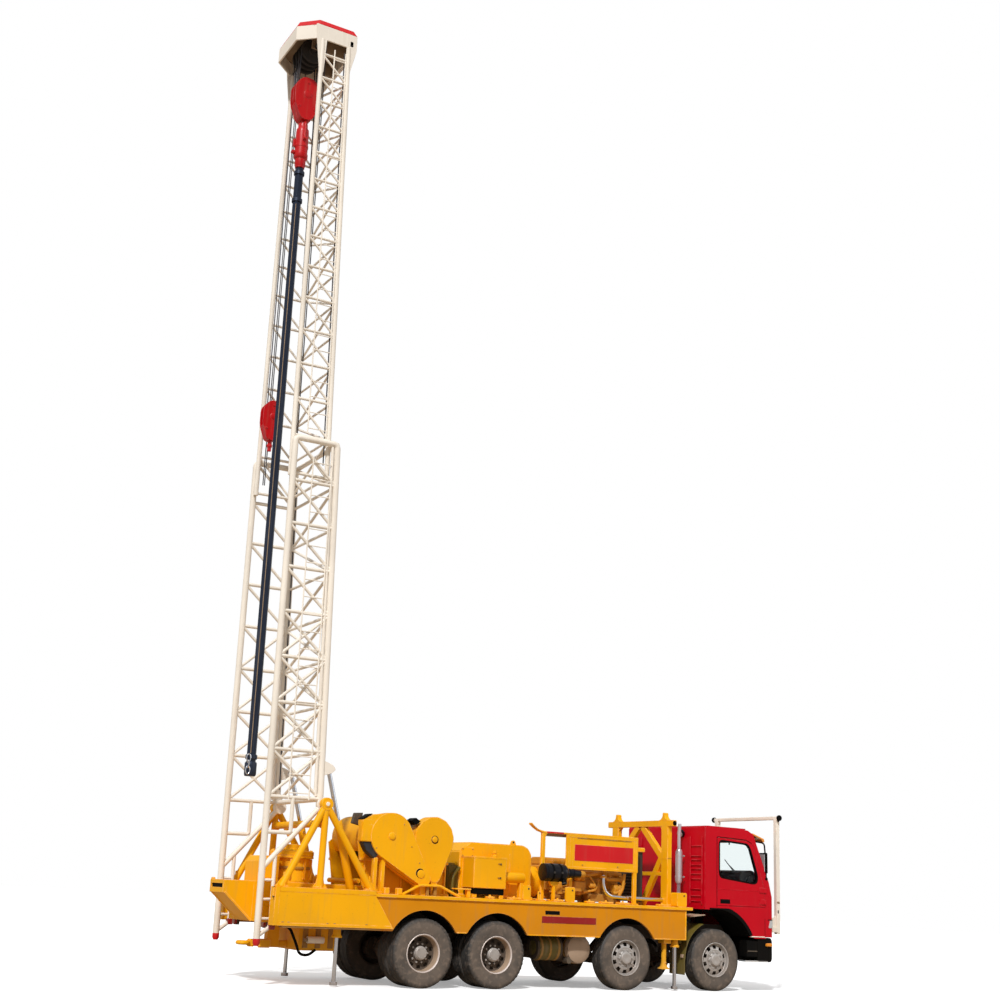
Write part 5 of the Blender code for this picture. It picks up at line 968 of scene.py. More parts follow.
HANG_X = -0.93
AXLE_Z = CROWN_LOW + 0.04
shapes = [
    walls(crown_plan(0), crown_plan(0.03), CROWN_LOW, CROWN_TOP - 0.13),
    (prism(crown_plan(0.02), CROWN_TOP - 0.16, CROWN_TOP - 0.13, 0.004, plane="XY"), "mast_shade"),
    (hipped(crown_plan(0), crown_plan(0.06), CROWN_TOP - 0.13, CROWN_TOP), "plate_red"),
    (bar(((HANG_X, -0.72, AXLE_Z), (HANG_X, 0.72, AXLE_Z)), 0.04), "chassis_dark"),
    *[sheave(HANG_X, number * 0.14 - 0.21, AXLE_Z, 0.24) for number in range(4)],
    sheave(HANG_X, 0.38, AXLE_Z, 0.12),
]
for side in (-1, 1):
    edges = sorted((side * 0.76, side * 0.732))
    for outline in ([(-1.1, 14.19), (-0.86, 14.19), (-0.9, 13.2), (-0.99, 13.28), (-1.06, 13.8)],
                    [(-0.27, 14.19), (-0.48, 14.19), (-0.46, 13.36), (-0.38, 13.38), (-0.27, 13.86)]):
        shapes.append(prism(rounded(outline, 0.02, 2), *edges, 0.003))
    for x in (-0.95, -0.44):
        shapes += [
            bar(((x, side * 0.75, 13.99), (x, side * 0.757, 13.99)), 0.055, 20),
            brick((x + 0.03, edges[0], 13.93), (x + 0.1, edges[1], 14.05), 0.006),
        ]
    shapes.append((brick((-1.02, side * 0.36 - 0.015, CROWN_LOW), (-0.3, side * 0.36 + 0.015, 14.16)),
                   "mast_shade"))
on_mast("crown_box", shapes, "mast_white", "mast_upper", ["crown"])

# %% Travelling block, swivel and ropes
BLOCK_OUTLINE = ((-0.2, 0.0), (-0.5, -0.2), (-0.5, -0.6), (-0.22, -1.0), (0.22, -1.0), (0.5, -0.6),
                 (0.5, -0.2), (0.2, 0.0))


def cheeks(top, height, width, y, half, plates):
    """Cheek plates of a block with bolts, pins and a solid foot between them."""
    outline = rounded([(HANG_X + u * width, top + v * height) for u, v in BLOCK_OUTLINE], width * 0.16)
    foot = rounded([(HANG_X + u * width * 0.94, top + (v - 0.03) * height * 0.97)
                    for u, v in BLOCK_OUTLINE if v < -0.5], width * 0.1)
    made = [
        *[prism(outline, y + low * half, y + high * half, 0.004) for low, high in plates],
        prism(foot, y - half * 0.86, y + half * 0.86, 0.004),
    ]
    for side in (-1, 1):
        for u, v, radius in ((0, -0.4, 0.17), (-0.3, -0.72, 0.05), (0.3, -0.72, 0.05), (0, -0.12, 0.06)):
            at = (HANG_X + u * width, y + side * half, top + v * height)
            cap = ((0, 0.016), (radius * width * 0.8, 0.016), (radius * width, 0.008),
                   (radius * width, -0.004))
            made.append(turned(cap, at, (0, side, 0), 24))
    return made


shapes = cheeks(13.42, 0.88, 0.5, 0, 0.125, ((-1.04, -0.84), (-0.1, 0.1), (0.84, 1.04)))
shapes += [sheave(HANG_X, y, 13.07, 0.205) for y in (-0.058, 0.058)]
hook = ((0, 12.58), (0.055, 12.58), (0.06, 12.5), (0.088, 12.48), (0.092, 12.4), (0.116, 12.36),
        (0.12, 12.3), (0.12, 12.04), (0.128, 12.03), (0.128, 11.99), (0.12, 11.98), (0.12, 11.86),
        (0.13, 11.85), (0.13, 11.78), (0.118, 11.76), (0.1, 11.74), (0.1, 11.62), (0.088, 11.6),
        (0.088, 11.57), (0, 11.57))
shapes.append(turned(hook, (HANG_X, 0, 0)))
for side in (-1, 1):
    arm = [(HANG_X, side * 0.05, 12.52), (HANG_X, side * 0.135, 12.46), (HANG_X, side * 0.135, 12.16)]
    shapes += [
        bar(bent(arm, 0.05), 0.022),
        bar(((HANG_X - 0.03, side * 0.13, 12.14), (HANG_X + 0.03, side * 0.13, 12.14)), 0.034),
    ]
shapes += [
    brick((HANG_X - 0.17, -0.03, 11.98), (HANG_X - 0.1, 0.03, 12.14), 0.008),
    brick((HANG_X - 0.19, -0.04, 11.84), (HANG_X - 0.1, 0.04, 11.9), 0.008),
]
for y in (-0.21, -0.07, 0.07, 0.21):
    for x in (-0.215, 0.215):
        shapes.append((bar(((HANG_X + x * 0.9, y * 0.3, 13.12), (HANG_X + x, y, AXLE_Z)), 0.013, 8),
                       "rope_dark"))
on_mast("block_and_swivel", shapes, "block_red", "mast_upper", ["travelling_block"])

shapes = cheeks(7.07, 0.74, 0.38, 0.38, 0.085, ((-1.04, -0.7), (0.7, 1.04)))
shapes.append(sheave(HANG_X, 0.38, 6.78, 0.15))
shank = ((0, 6.36), (0.04, 6.36), (0.04, 6.27), (0.05, 6.26), (0.05, 6.22), (0.036, 6.2), (0.036, 6.14),
         (0, 6.13))
shapes.append(turned(shank, (HANG_X, 0.38, 0), steps=24))
for x in (-0.1, 0.1):
    shapes.append((bar(((HANG_X + x, 0.38, 6.8), (HANG_X + x, 0.38, AXLE_Z)), 0.011, 8), "rope_dark"))
on_mast("winch_hook_block", shapes, "block_red", "mast_upper", ["winch_hook"])

# %% Kelly and the mast's ropes
hexagon = [(HANG_X + 0.084 * cos(radians(60 * step)), 0.084 * sin(radians(60 * step))) for step in range(6)]
shapes = [prism(rounded(hexagon, 0.012, 2), 0.62, 11.55, plane="XY")]
sub = ((0, 0.66), (0.088, 0.66), (0.1, 0.64), (0.1, 0.46), (0.088, 0.43), (0, 0.43))
shapes.append(turned(sub, (HANG_X, 0, 0), steps=32))
for z in (11.46, 10.9, 0.74):
    shapes.append(turned(((0.09, z - 0.04), (0.098, z - 0.03), (0.098, z + 0.03), (0.09, z + 0.04)),
                         (HANG_X, 0, 0)))
# A thin pale bar along one edge of the kelly is a painted highlight line.
kelly_highlight_line = (HANG_X + 0.087 * cos(radians(-120)), 0.087 * sin(radians(-120)))
shapes.append((bar(((*kelly_highlight_line, 0.8), (*kelly_highlight_line, 10.8)), 0.007, 6), "mast_shade"))
for z, turn in ((0.72, 0), (0.62, pi / 2), (0.52, 0)):
    ring = [(HANG_X - 0.075 + 0.036 * cos(step * pi / 8) * cos(turn),
             -0.085 + 0.036 * cos(step * pi / 8) * sin(turn), z + 0.065 * sin(step * pi / 8))
            for step in range(17)]
    shapes.append((bar(ring, 0.01, 8), "bright_rod"))
on_mast("hex_kelly", shapes, "kelly_blue", "mast_upper", ["kelly"])

shapes = []
for side in (-1, 1):
    for x in (-0.87, -0.84):
        shapes.append(bar(((x, side * 0.72, 5.6), (x, side * 0.66, AXLE_Z + 0.1)), 0.01, 8))
    shapes.append(bar(((upper_front(5.7) - 0.06, side * 0.77, 5.7),
                       (upper_front(13.8) - 0.06, side * 0.69, 13.8)), 0.012, 8))
on_mast("upper_mast_ropes", shapes, "rope_dark", "mast_upper")
shapes = [bar(((lower_front(0.3), side * 0.868, 0.3), (lower_front(5.9), side * 0.868, 5.9)), 0.012, 8)
          for side in (-1, 1)]
on_mast("lower_mast_hoses", shapes, "rope_dark", "mast_lower")

# %% [markdown]
# ## Deck, skirts and side boxes
# The deck is a folded plate with a lip. The skirts below it are cut in round arches over
# the wheels. An arch could be cut with a boolean, but here it is drawn into the skirt's own
# outline, which leaves clean edges to soften. The big side boxes at the rear carry the
# mast's A-frames, and raised strips round their faces hide the joints of the sheets.

# %% The deck and its skirts
DECK_TOP = 1.44
DECK_HALF = 1.25
LIP_LOW = 1.385
SKIRT_Y = 1.22
SKIRT_LOW = 0.87


def arch(axle, radius, low, steps=24):
    """Points along a wheel arch, from its rear foot over the top to its front foot."""
    half = (radius ** 2 - (low - HUB_Z) ** 2) ** 0.5
    start, end = atan2(low - HUB_Z, -half), atan2(low - HUB_Z, half)
    turns = [between(start, end, step / steps) for step in range(steps + 1)]
    return [(axle + radius * cos(turn), HUB_Z + radius * sin(turn)) for turn in turns]


def bent_strip(centre, outer, inner, start, end, steps):
    """The outline of a strip bent round a centre, between two angles in degrees."""
    turns = [radians(between(start, end, step / steps)) for step in range(steps + 1)]
    return [(centre[0] + radius * cos(turn), centre[1] + radius * sin(turn))
            for radius, run in ((outer, turns), (inner, turns[::-1])) for turn in run]


def both(make):
    """The same shapes on the right and on the left; make takes the side."""
    return [item for _, side in SIDES for item in make(side)]


def wall_at(outline, side, outer, inner, soften=0.003):
    """An upright sheet on one side of the truck between two distances from its middle."""
    return prism(outline, *sorted((side * outer, side * inner)), soften)


def slab(side, x, y, z, soften=0.004):
    """A box on one side of the truck; y holds its two distances from the middle."""
    edges = sorted((side * y[0], side * y[1]))
    return brick((x[0], edges[0], z[0]), (x[1], edges[1], z[1]), soften)


def skirts(side):
    """A skirt with its arches, its folded foot, the slot and the blank red plate; its deeper yellow is
    painted shade under the deck's lip.
    """
    outline = [(-3.2, LIP_LOW + 0.01), (-3.2, SKIRT_LOW)]
    for axle in sorted((*BOGIE, AXLES[1])):
        outline += arch(axle, 0.67, SKIRT_LOW)
    outline += [(3.11, SKIRT_LOW), (3.11, LIP_LOW + 0.01)]
    # The skirt is painted a deeper yellow: painted shade under the deck's lip.
    made = [(wall_at(outline, side, SKIRT_Y, 1.175, 0.0), "skirt_yellow_painted_shade")]
    for low, high in ((-1.6, -1.43), (-0.23, 1.22), (2.41, 3.11)):
        made.append((slab(side, (low, high), (1.228, 1.16), (SKIRT_LOW - 0.004, SKIRT_LOW + 0.016)),
                     "rig_yellow"))
    made += [
        (slab(side, (3.085, 3.115), (1.226, 1.1), (SKIRT_LOW, LIP_LOW)), "rig_yellow"),
        # The black slab is the slot, painted as the dark shade in its opening.
        (slab(side, (0.09, 0.39), (1.222, 1.19), (1.215, 1.285), 0.002), "black_matt"),
        (slab(side, (0.03, 1.14), (1.226, 1.2), (1.08, 1.19), 0.003), "plate_dark_red"),
    ]
    return made


def side_box(side):
    """A rear side box with raised strips round its face and the pocket behind it."""
    face = [(-4.84, 0.9), (-2.78, 0.9), (-3.12, 1.395), (-3.12, 1.48), (-4.84, 1.48)]
    made = [
        wall_at(face, side, 1.244, 1.05, 0.004),
        slab(side, (-4.84, -4.765), (DECK_HALF, 1.2), (0.9, 1.48)),
        slab(side, (-4.765, -3.12), (DECK_HALF, 1.2), (1.405, 1.48)),
        wall_at([(-4.765, 0.9), (-2.8, 0.9), (-2.828, 0.945), (-4.765, 0.945)],
                side, DECK_HALF, 1.2),
        (slab(side, (-4.68, -3.0), (1.235, 1.08), (0.872, 0.905)), "shade_yellow"),
        slab(side, (-4.58, -3.12), (1.06, 0.88), (0.91, 1.47)),
    ]
    for x in (-4.7, -4.6, -3.95, -3.83, -3.28):
        made.append((slab(side, (x, x + 0.035), (1.2499, 1.24), (0.955, 0.962), 0.001), "mast_shade"))
    made += [
        slab(side, (-4.875, -4.835), (1.235, 1.19), (1.33, 1.47), 0.008),
        (bar(((-4.857, side * 1.21, 1.31), (-4.857, side * 1.21, 1.48)), 0.014), "chassis_dark"),
        (slab(side, (-4.8, -4.7), (1.0, 0.9), (0.83, 0.93), 0.01), "lamp_red"),
    ]
    return made


def leg_tubes(side):
    """The jack tubes with their bells, and the stowed leg with its flat foot."""
    made = []
    for x, track in ((2.95, 1.09), (-3.66, 1.02)):
        bell = ((0.036, 0.74), (0.085, 0.74), (0.085, 0.762), (0.074, 0.775), (0.066, 0.8), (0.062, 0.84),
                (0.062, 1.39))
        made += [
            turned(bell, (x, side * track, 0), steps=32),
            turned(((0.07, 0.99), (0.07, 1.03), (0.0, 1.03)), (x, side * track, 0), steps=32),
        ]
    foot = ((0, 0.36), (0.11, 0.36), (0.11, 0.374), (0.07, 0.395), (0.052, 0.44), (0.045, 0.5),
            (0.045, 1.39))
    made += [
        turned(foot, (2.74, side * 1.05, 0), steps=32),
        bar(((2.74, side * 1.115, 0.47), (2.74, side * 0.985, 0.47)), 0.014, 6),
        slab(side, (2.66, 2.82), (1.16, 0.98), (0.8, 0.87), 0.006),
    ]
    return made


lip = [brick((-3.13, -DECK_HALF, LIP_LOW), (3.24, DECK_HALF, DECK_TOP), 0.005)]
lip += both(skirts) + both(side_box) + both(leg_tubes)
lip += [(brick((x, -1.17, 1.31), (x + 0.06, 1.17, 1.39)), "chassis_dark")
        for x in (-2.55, -1.5, -0.2, 1.0, 2.6)]
piece("deck_and_skirts", lip, "rig_yellow", "root", ["deck"])

# %% Lugs, feet and rails on the deck


def lug(side, x, width, height, y=1.2, thick=0.04):
    """An upright lug with a rounded top, a bolt and a foot plate."""
    outline = rounded(oblong(x, x + width, DECK_TOP, DECK_TOP + height), 0.03)
    made = [wall_at(outline, side, y + thick / 2, y - thick / 2, 0.004)]
    spot = (x + width * 0.7, side * (y + thick / 2), DECK_TOP + height * 0.78)
    made.append((turned(((0, 0.008), (0.014, 0.008), (0.016, 0.0)), spot, (0, side, 0), 6), "chassis_dark"))
    return made


def deck_fittings(side):
    """What stands along the deck's edge."""
    made = lug(side, -0.37, 0.16, 0.24) + lug(side, 0.5, 0.19, 0.25) + lug(side, -0.06, 0.04, 0.16)
    made += lug(side, 2.95, 0.22, 0.25, 1.06, 0.2)
    for x, width in ((0.27, 0.2), (0.95, 0.16), (1.25, 0.26), (1.62, 0.24), (2.5, 0.2),
                     (-0.62, 0.22), (-1.05, 0.14)):
        made += [
            slab(side, (x, x + width), (1.22, 1.1), (DECK_TOP, DECK_TOP + 0.035), 0.01),
            (bar(((x + width / 2, side * 1.16, DECK_TOP),
                  (x + width / 2, side * 1.16, DECK_TOP + 0.06)), 0.02, 6), "rig_yellow"),
        ]
    rail = [(-2.62, side * 1.15, DECK_TOP), (-2.3, side * 1.15, 1.6), (-1.93, side * 1.15, 1.6),
            (-1.55, side * 1.15, DECK_TOP)]
    ribbon = bar(bent(rail, 0.05), 0.022, 8)
    made += [
        ribbon,
        slab(side, (-2.35, -1.88), (1.17, 1.02), (1.585, 1.6), 0.004),
    ]
    for x in (-2.16, -2.02):
        made.append((slab(side, (x, x + 0.05), (1.12, 1.05), (DECK_TOP, 1.59)), "shade_yellow"))
    made += [
        slab(side, (-1.62, -1.32), (1.12, 0.98), (1.56, 1.585), 0.004),
        slab(side, (-1.38, -1.32), (1.1, 1.0), (DECK_TOP, 1.57)),
    ]
    for x in (-2.95, -2.72):
        made.append(slab(side, (x, x + 0.09), (1.18, 1.08), (DECK_TOP, DECK_TOP + 0.1), 0.008))
    return made


piece("deck_fittings", both(deck_fittings), "rig_yellow")

# %% Linings of the wheel arches, tanks and what hangs under the deck


def lining(axle, low, high, side):
    """A thin black arc over a wheel between two angles in degrees; it is a liner and also painted shade in
    the arch.
    """
    outline = bent_strip((axle, HUB_Z), 0.664, 0.652, low, high, 16)
    return wall_at(outline, side, 1.17, 0.62, 0.0)


shapes = both(lambda side: [lining(axle, 30, 150, side) for axle in BOGIE]
              + [lining(AXLES[1], 60, 120, side)])
piece("arch_linings_and_painted_shade", shapes, "black_matt")


def tanks(side):
    """The ends of the cross tank, and the shell and bands of an air tank."""
    cap = ((0, 1.045), (0.12, 1.043), (0.2, 1.034), (0.234, 1.018), (0.243, 1.0), (0.243, 0.93))
    made = [
        (turned(cap, (0.93, 0, 0.66), (0, side, 0)), "tank_tan"),
        (turned(((0.246, 0.86), (0.246, 0.92), (0.24, 0.92)), (0.93, 0, 0.66), (0, side, 0)),
         "shade_yellow"),
    ]
    shell = ((0, -0.26), (0.1, -0.255), (0.17, -0.24), (0.199, -0.21), (0.203, -0.18), (0.203, 0.18),
             (0.199, 0.21), (0.17, 0.24), (0.1, 0.255), (0, 0.26))
    made.append((turned(shell, (0.37, side * 0.8, 0.66), (1, 0, 0)), "olive_paint"))
    for x in (0.2, 0.37, 0.54):
        band = oblong(0.203, 0.209, x - 0.02, x + 0.02)
        made.append((turned(band, (0, side * 0.8, 0.66), (1, 0, 0)), "shade_yellow"))
    made.append((bar(((0.74, side * 0.86, 0.47), (0.74, side * 1.02, 0.47)), 0.055, 20), "drum_steel"))
    stay = [(3.05, side * 0.98, 1.36), (3.14, side * 0.98, 1.2), (3.14, side * 0.98, 0.8)]
    made.append((bar(bent(stay, 0.08), 0.045, 14), "olive_paint"))
    return made


piece("tanks_and_stays", both(tanks), "tank_tan")

# %% [markdown]
# ## Tail box, tongue and winch cabinet
# Between the mast's legs a narrow tongue reaches back. It carries a small cabinet and a
# round gear house with a bolted flange, and a towing ring hangs under it. Turned profiles
# give the gear house, since a lathe would make the real one as well.

# %% The tail


def bolts(centre, radius, count, size, height, axis=(0, 0, 1)):
    """Hexagonal bolt heads in a ring round a centre, standing along an axis."""
    turn = Vector((0, 0, 1)).rotation_difference(Vector(axis))
    made = []
    for number in range(count):
        angle = 2 * pi * number / count
        spot = Vector(centre) + turn @ Vector((radius * cos(angle), radius * sin(angle), 0))
        made.append(turned(((size, -0.004), (size, height * 0.8), (size * 0.8, height), (0, height)),
                           spot, axis, 6))
    return made


tail = [(-4.85, 0.93), (-2.951, 0.93), (-2.951, 1.384), (-3.131, 1.384), (-3.131, 1.55), (-4.85, 1.55)]
tongue = [(-4.84, 0.935), (-4.84, 1.545), (-5.325, 1.545), (-5.325, 1.355), (-4.87, 0.935)]
shapes = [
    prism(tail, -0.72, 0.72, 0.005),
    prism(tongue, -0.32, 0.32, 0.004),
    brick((-5.36, -0.32, 1.485), (-5.3, 0.32, 1.545)),
    brick((-5.36, -0.32, 1.345), (-5.3, 0.32, 1.425)),
    *both(lambda side: [slab(side, (-5.36, -5.3), (0.32, 0.27), (1.35, 1.54))]),
    # The black brick in the tongue's rear face is the slot, painted as dark shade inside it.
    (brick((-5.335, -0.28, 1.42), (-5.31, 0.28, 1.49), 0.002), "black_matt"),
    brick((-5.36, 0.22, 1.53), (-5.31, 0.3, 1.575), 0.008),
]
slope = [(-5.335, 1.345), (-4.865, 0.925), (-4.845, 0.945), (-5.315, 1.365)]
shapes += both(lambda side: [wall_at(slope, side, 0.328, 0.29, 0.002)])
cabinet = [(-4.8, 1.54), (-4.8, 1.86), (-4.73, 1.95), (-4.44, 1.95), (-4.44, 1.54)]
shapes += [
    prism(cabinet, -0.3, 0.3, 0.006),
    *both(lambda side: [wall_at([(-4.76, 1.6), (-4.76, 1.84), (-4.71, 1.91), (-4.5, 1.91), (-4.5, 1.6)],
                                side, 0.306, 0.29, 0.003)]),
    (brick((-4.79, -0.29, 1.545), (-4.45, 0.29, 1.565)), "chassis_dark"),
]
HOUSE_X = -4.12
house = ((0.31, 1.55), (0.31, 1.58), (0.3, 1.6), (0.3, 1.93), (0.36, 1.935), (0.36, 1.965),
         (0.352, 1.968), (0.352, 1.975), (0.36, 1.978), (0.36, 2.04), (0.34, 2.05), (0.2, 2.06),
         (0.15, 2.09), (0.15, 2.15), (0, 2.16))
shapes += [
    turned(house, (HOUSE_X, 0, 0)),
    *bolts((HOUSE_X, 0, 2.045), 0.325, 16, 0.016, 0.022),
    (turned(((0.312, 1.75), (0.318, 1.76), (0.318, 1.79), (0.312, 1.8)), (HOUSE_X, 0, 0)),
     "shade_yellow"),
]
for number in range(8):
    turn = 2 * pi * (number + 0.5) / 8
    rib = brick((0.29, -0.012, 1.6), (0.345, 0.012, 1.93))
    shapes.append(moved(rib, Matrix.Translation((HOUSE_X, 0, 0)) @ Matrix.Rotation(turn, 4, "Z")))
shapes += [
    (turned(((0, 0.012), (0.018, 0.012), (0.022, 0)), (-4.7, -0.72, 1.44), (0, -1, 0), 4),
     "chassis_dark"),
    *both(lambda side: [slab(side, (-3.365, -3.235), (0.765, 0.7), (1.135, 1.265), 0.01)]),
]
piece("tail_and_gear_house", shapes, "rig_yellow", "root", ["tail_box"])

# %% Under the tail
shapes = [brick((-4.1, -0.5, 0.51), (-3.45, 0.5, 0.94), 0.01),
          brick((-4.45, -0.08, 0.53), (-4.25, 0.08, 0.94)),
          brick((-4.76, -0.05, 0.54), (-4.09, 0.05, 0.64), 0.012)]
ring = [(-4.83 + 0.085 * cos(pi * step / 12), 0.085 * sin(pi * step / 12), 0.59) for step in range(25)]
shapes += [
    bar(ring, 0.033, 12),
    turned(oblong(0.0, 0.05, 0.53, 0.65), (-4.7, 0, 0), steps=20),
    slab(-1, (-4.62, -4.4), (0.14, 0.05), (0.52, 0.66), 0.02),
]
for x in (-4.02, -3.8, -3.58):
    shapes.append((brick((x, -0.515, 0.55), (x + 0.09, -0.49, 0.88)), "shade_yellow"))
shapes += [
    (bar(((-3.98, -0.6, 0.68), (-3.7, -0.6, 0.68)), 0.055, 20), "mast_white"),
    (turned(oblong(0, 0.03, 0.02, -0.04), (-4.0, -0.6, 0.68), (1, 0, 0)), "mast_shade"),
]
loop = [(-4.42, -0.45, 0.9), (-4.3, -0.62, 0.86), (-4.18, -0.66, 0.6), (-4.12, -0.64, 0.46),
        (-3.95, -0.6, 0.44), (-3.8, -0.52, 0.52)]
shapes.append((bar(bent(loop, 0.08), 0.022, 12), "black_matt"))
for x, y in ((-4.78, -0.7), (-4.78, 0.62)):
    shapes += [
        (brick((x, y, 0.85), (x + 0.05, y + 0.12, 0.93), 0.006), "lamp_red"),
        (brick((x + 0.03, y, 0.84), (x + 0.09, y + 0.13, 0.94)), "chassis_dark"),
    ]
piece("tow_hook_and_valves", shapes, "rig_yellow")
print("tail done")

# %% [markdown]
# ## A-frames and raising rams
# Two A-frames of heavy tube hold the mast's pivot, and two rams push it up. The tubes could
# be plain bars, but their feet stand on flared gussets, and those tell how big they are.

# %% The A-frames
A_FRAME_Y = 1.09
TIE_Z = 2.48


def gusset(side, x, lean, reach):
    """A flared plate at the foot of a tube."""
    outline = [(x - reach, 1.48), (x + reach, 1.48), (x + reach * 0.55, 1.56),
               (x + reach * 0.3 + lean, 1.7), (x - reach * 0.3 + lean, 1.7), (x - reach * 0.55, 1.56)]
    return wall_at(outline, side, 1.098, 1.082, 0.002)


def a_frame(side):
    """Three tubes from the side box to the apex, with soles, gussets and the bearing."""
    y = side * A_FRAME_Y
    made = []
    for foot, lean, reach in ((-4.69, 0.1, 0.1), (-4.05, 0.0, 0.13), (-3.16, -0.13, 0.1)):
        made += [
            bar(((foot, y, 1.482), (PIVOT_X, y, PIVOT_Z)), 0.055, 24),
            gusset(side, foot, lean, reach),
            slab(side, (foot - 0.1, foot + 0.1), (1.14, 1.04), (1.4803, 1.5), 0.004),
            moved(gusset(1, 0, 0, 0.07), Matrix.Translation((foot + lean * 0.3, y, 0))
                  @ Matrix.Rotation(pi / 2, 4, "Z") @ Matrix.Translation((0, -A_FRAME_Y, 0))),
        ]
    bearing = ((0, -0.06), (0.096, -0.06), (0.1, -0.054), (0.1, 0.054), (0.096, 0.06), (0.052, 0.06),
               (0.05, 0.07), (0, 0.07))
    made += [
        turned(bearing, (PIVOT_X, y, PIVOT_Z), (0, side, 0)),
        slab(side, (-4.075, -4.005), (1.145, 1.035), (2.86, 2.88), 0.006),
        (turned(((0, 0.012), (0.03, 0.01), (0.034, 0)), (PIVOT_X, side * 1.158, PIVOT_Z),
                (0, side, 0), 24), "mast_white"),
    ]
    return made


shapes = both(a_frame)
shapes.append(bar(((PIVOT_X, -A_FRAME_Y, TIE_Z), (PIVOT_X, A_FRAME_Y, TIE_Z)), 0.06, 24))
for side in (-1, 1):
    collar = oblong(0.06, 0.085, -0.02, 0.0)
    shapes.append(turned(collar, (PIVOT_X, side * 1.03, TIE_Z), (0, side, 0)))
piece("mast_a_frames", shapes, "rig_yellow", "root", ["a_frames"])

# %% The rams
RAM_BASE = Vector((-3.3, 0, 1.2))
RAM_PIN = MAST @ Vector((0.12, 0, 0.57))
push = (RAM_PIN - RAM_BASE).normalized()
reach = (RAM_PIN - RAM_BASE).length
for name, side in SIDES:
    foot = RAM_BASE + Vector((0, side * 0.8, 0))
    barrel = ((0.03, 0.04), (0.03, 0.12), (0.056, 0.115), (0.062, 0.125), (0.062, 0.2), (0.065, 0.205),
              (0.065, 1.3), (0.0648, 1.302), (0.0648, 1.39), (0.06, 1.4), (0.0383, 1.4), (0.0383, 1.3))
    shapes = [turned(barrel, foot, push, 32)]
    eye = ((0.022, -0.035), (0.056, -0.035), (0.06, -0.03), (0.06, 0.03), (0.056, 0.035), (0.022, 0.035))
    shapes += [
        turned(eye, foot, (0, 1, 0), 28),
        (turned(oblong(0, 0.022, 0.036, -0.036), foot, (0, 1, 0), 20), "bright_rod"),
    ]
    for along in (0.24, 1.24):
        port = foot + push * along
        shapes += [
            bar((port, port + Vector((0.0, -side * 0.085, 0.0))), 0.018, 12),
            (bar((port + Vector((0, -side * 0.08, 0)), port + Vector((0, -side * 0.1, 0))), 0.024, 6),
             "bright_rod"),
        ]
    near, far = (foot + push * along + Vector((0, -side * 0.085, 0)) for along in (0.28, 1.2))
    shapes.append(bar((near, far), 0.01, 8))
    piece("raising_ram_" + name, shapes, "rig_yellow", "ram_barrel_" + name, ["ram_barrel_" + name])
    head = foot + push * reach
    rod = ((0, reach - 1.32), (0.038, reach - 1.315), (0.038, reach - 0.075), (0.03, reach - 0.07),
           (0.03, reach - 0.03))
    shapes = [
        turned(rod, foot, push, 32),
        turned(eye, head, (0, 1, 0), 28),
        (turned(oblong(0, 0.022, 0.04, -0.04), head, (0, 1, 0), 20), "chassis_dark"),
    ]
    piece("ram_rod_polished_" + name, shapes, "bright_rod", "ram_rod_" + name, ["ram_rod_" + name])
print("frames and rams", round(reach, 3))

# %% [markdown]
# ## Drawworks
# Two rope drums turn between bearing plates, and two big chain guards cover their right
# ends. The guards are drop-shaped like the belt line round two sprockets. A drum could be
# a plain cylinder, but the rope lies on it in even turns, so its profile is a row of small
# half rounds.

# %% Rope drums
DRUMS = (("main_drum", "main_rope_drum", -2.83), ("sand_drum", "sand_line_drum", -1.99))
DRUM_Z = 2.35


def rope_turns(low, high, radius, size):
    """A profile of rope turns side by side from low to high."""
    count = int((high - low) / size)
    made = []
    for number in range(count):
        start = low + (high - low) * number / count
        for share, rise in ((0.0, 0.0), (0.25, 0.7), (0.5, 1.0), (0.75, 0.7)):
            made.append((radius + rise * size * 0.5, start + (high - low) / count * share))
    return made


for node_name, name, x in DRUMS:
    half = ((0, 0.7), (0.04, 0.7), (0.045, 0.695), (0.045, 0.53), (0.12, 0.525), (0.12, 0.52),
            (0.325, 0.52), (0.33, 0.515), (0.33, 0.5), (0.325, 0.495), (0.25, 0.49))
    upper = [(radius, along) for radius, along in half]
    lower = [(radius, -along) for radius, along in reversed(half)]
    turns = [(radius, -along) for radius, along in rope_turns(-0.485, 0.485, 0.245, 0.026)]
    centre = (x, 0, DRUM_Z)
    shapes = [
        (turned(upper, centre, (0, 1, 0), 64), "drum_steel"),
        (turned(lower, centre, (0, 1, 0), 64), "drum_steel"),
        (turned(turns, centre, (0, 1, 0), 64), "rope_dark"),
    ]
    for side in (-1, 1):
        ring = bolts((x, side * 0.52, DRUM_Z), 0.17, 12, 0.014, 0.018, (0, side, 0))
        shapes += [(item, "drum_steel") for item in ring]
        for number in range(6):
            turn = 2 * pi * number / 6
            spoke = prism([(0.12, -0.012), (0.31, -0.006), (0.31, 0.006), (0.12, 0.012)],
                          *sorted((side * 0.515, side * 0.535)))
            at = Matrix.Translation((x, 0, DRUM_Z)) @ Matrix.Rotation(turn, 4, "Y")
            shapes.append((moved(spoke, at), "drum_steel"))
    piece(name, shapes, "drum_steel", node_name, [node_name])

# %% Chain guards with their bosses


def belt_line(head, head_radius, toe, toe_radius, steps=40):
    """The outline round two circles, as a belt lies round two pulleys."""
    run = Vector((toe[0] - head[0], toe[1] - head[1]))
    heading = atan2(run.y, run.x)
    wrap = atan2(head_radius - toe_radius, run.length)
    made = []
    for centre, radius, start, sweep in ((head, head_radius, heading + pi / 2 - wrap, pi + 2 * wrap),
                                         (toe, toe_radius, heading - pi / 2 + wrap, pi - 2 * wrap)):
        for number in range(steps + 1):
            angle = start + sweep * number / steps
            made.append((centre[0] + radius * cos(angle), centre[1] + radius * sin(angle)))
    return made


def boss(x, y, z, radius, rise):
    """A round cover with a softened rim on a guard's face."""
    profile = ((0, rise), (radius * 0.75, rise), (radius * 0.93, rise * 0.8), (radius, rise * 0.5),
               (radius, -0.004))
    return turned(profile, (x, y, z), (0, -1, 0), 32)


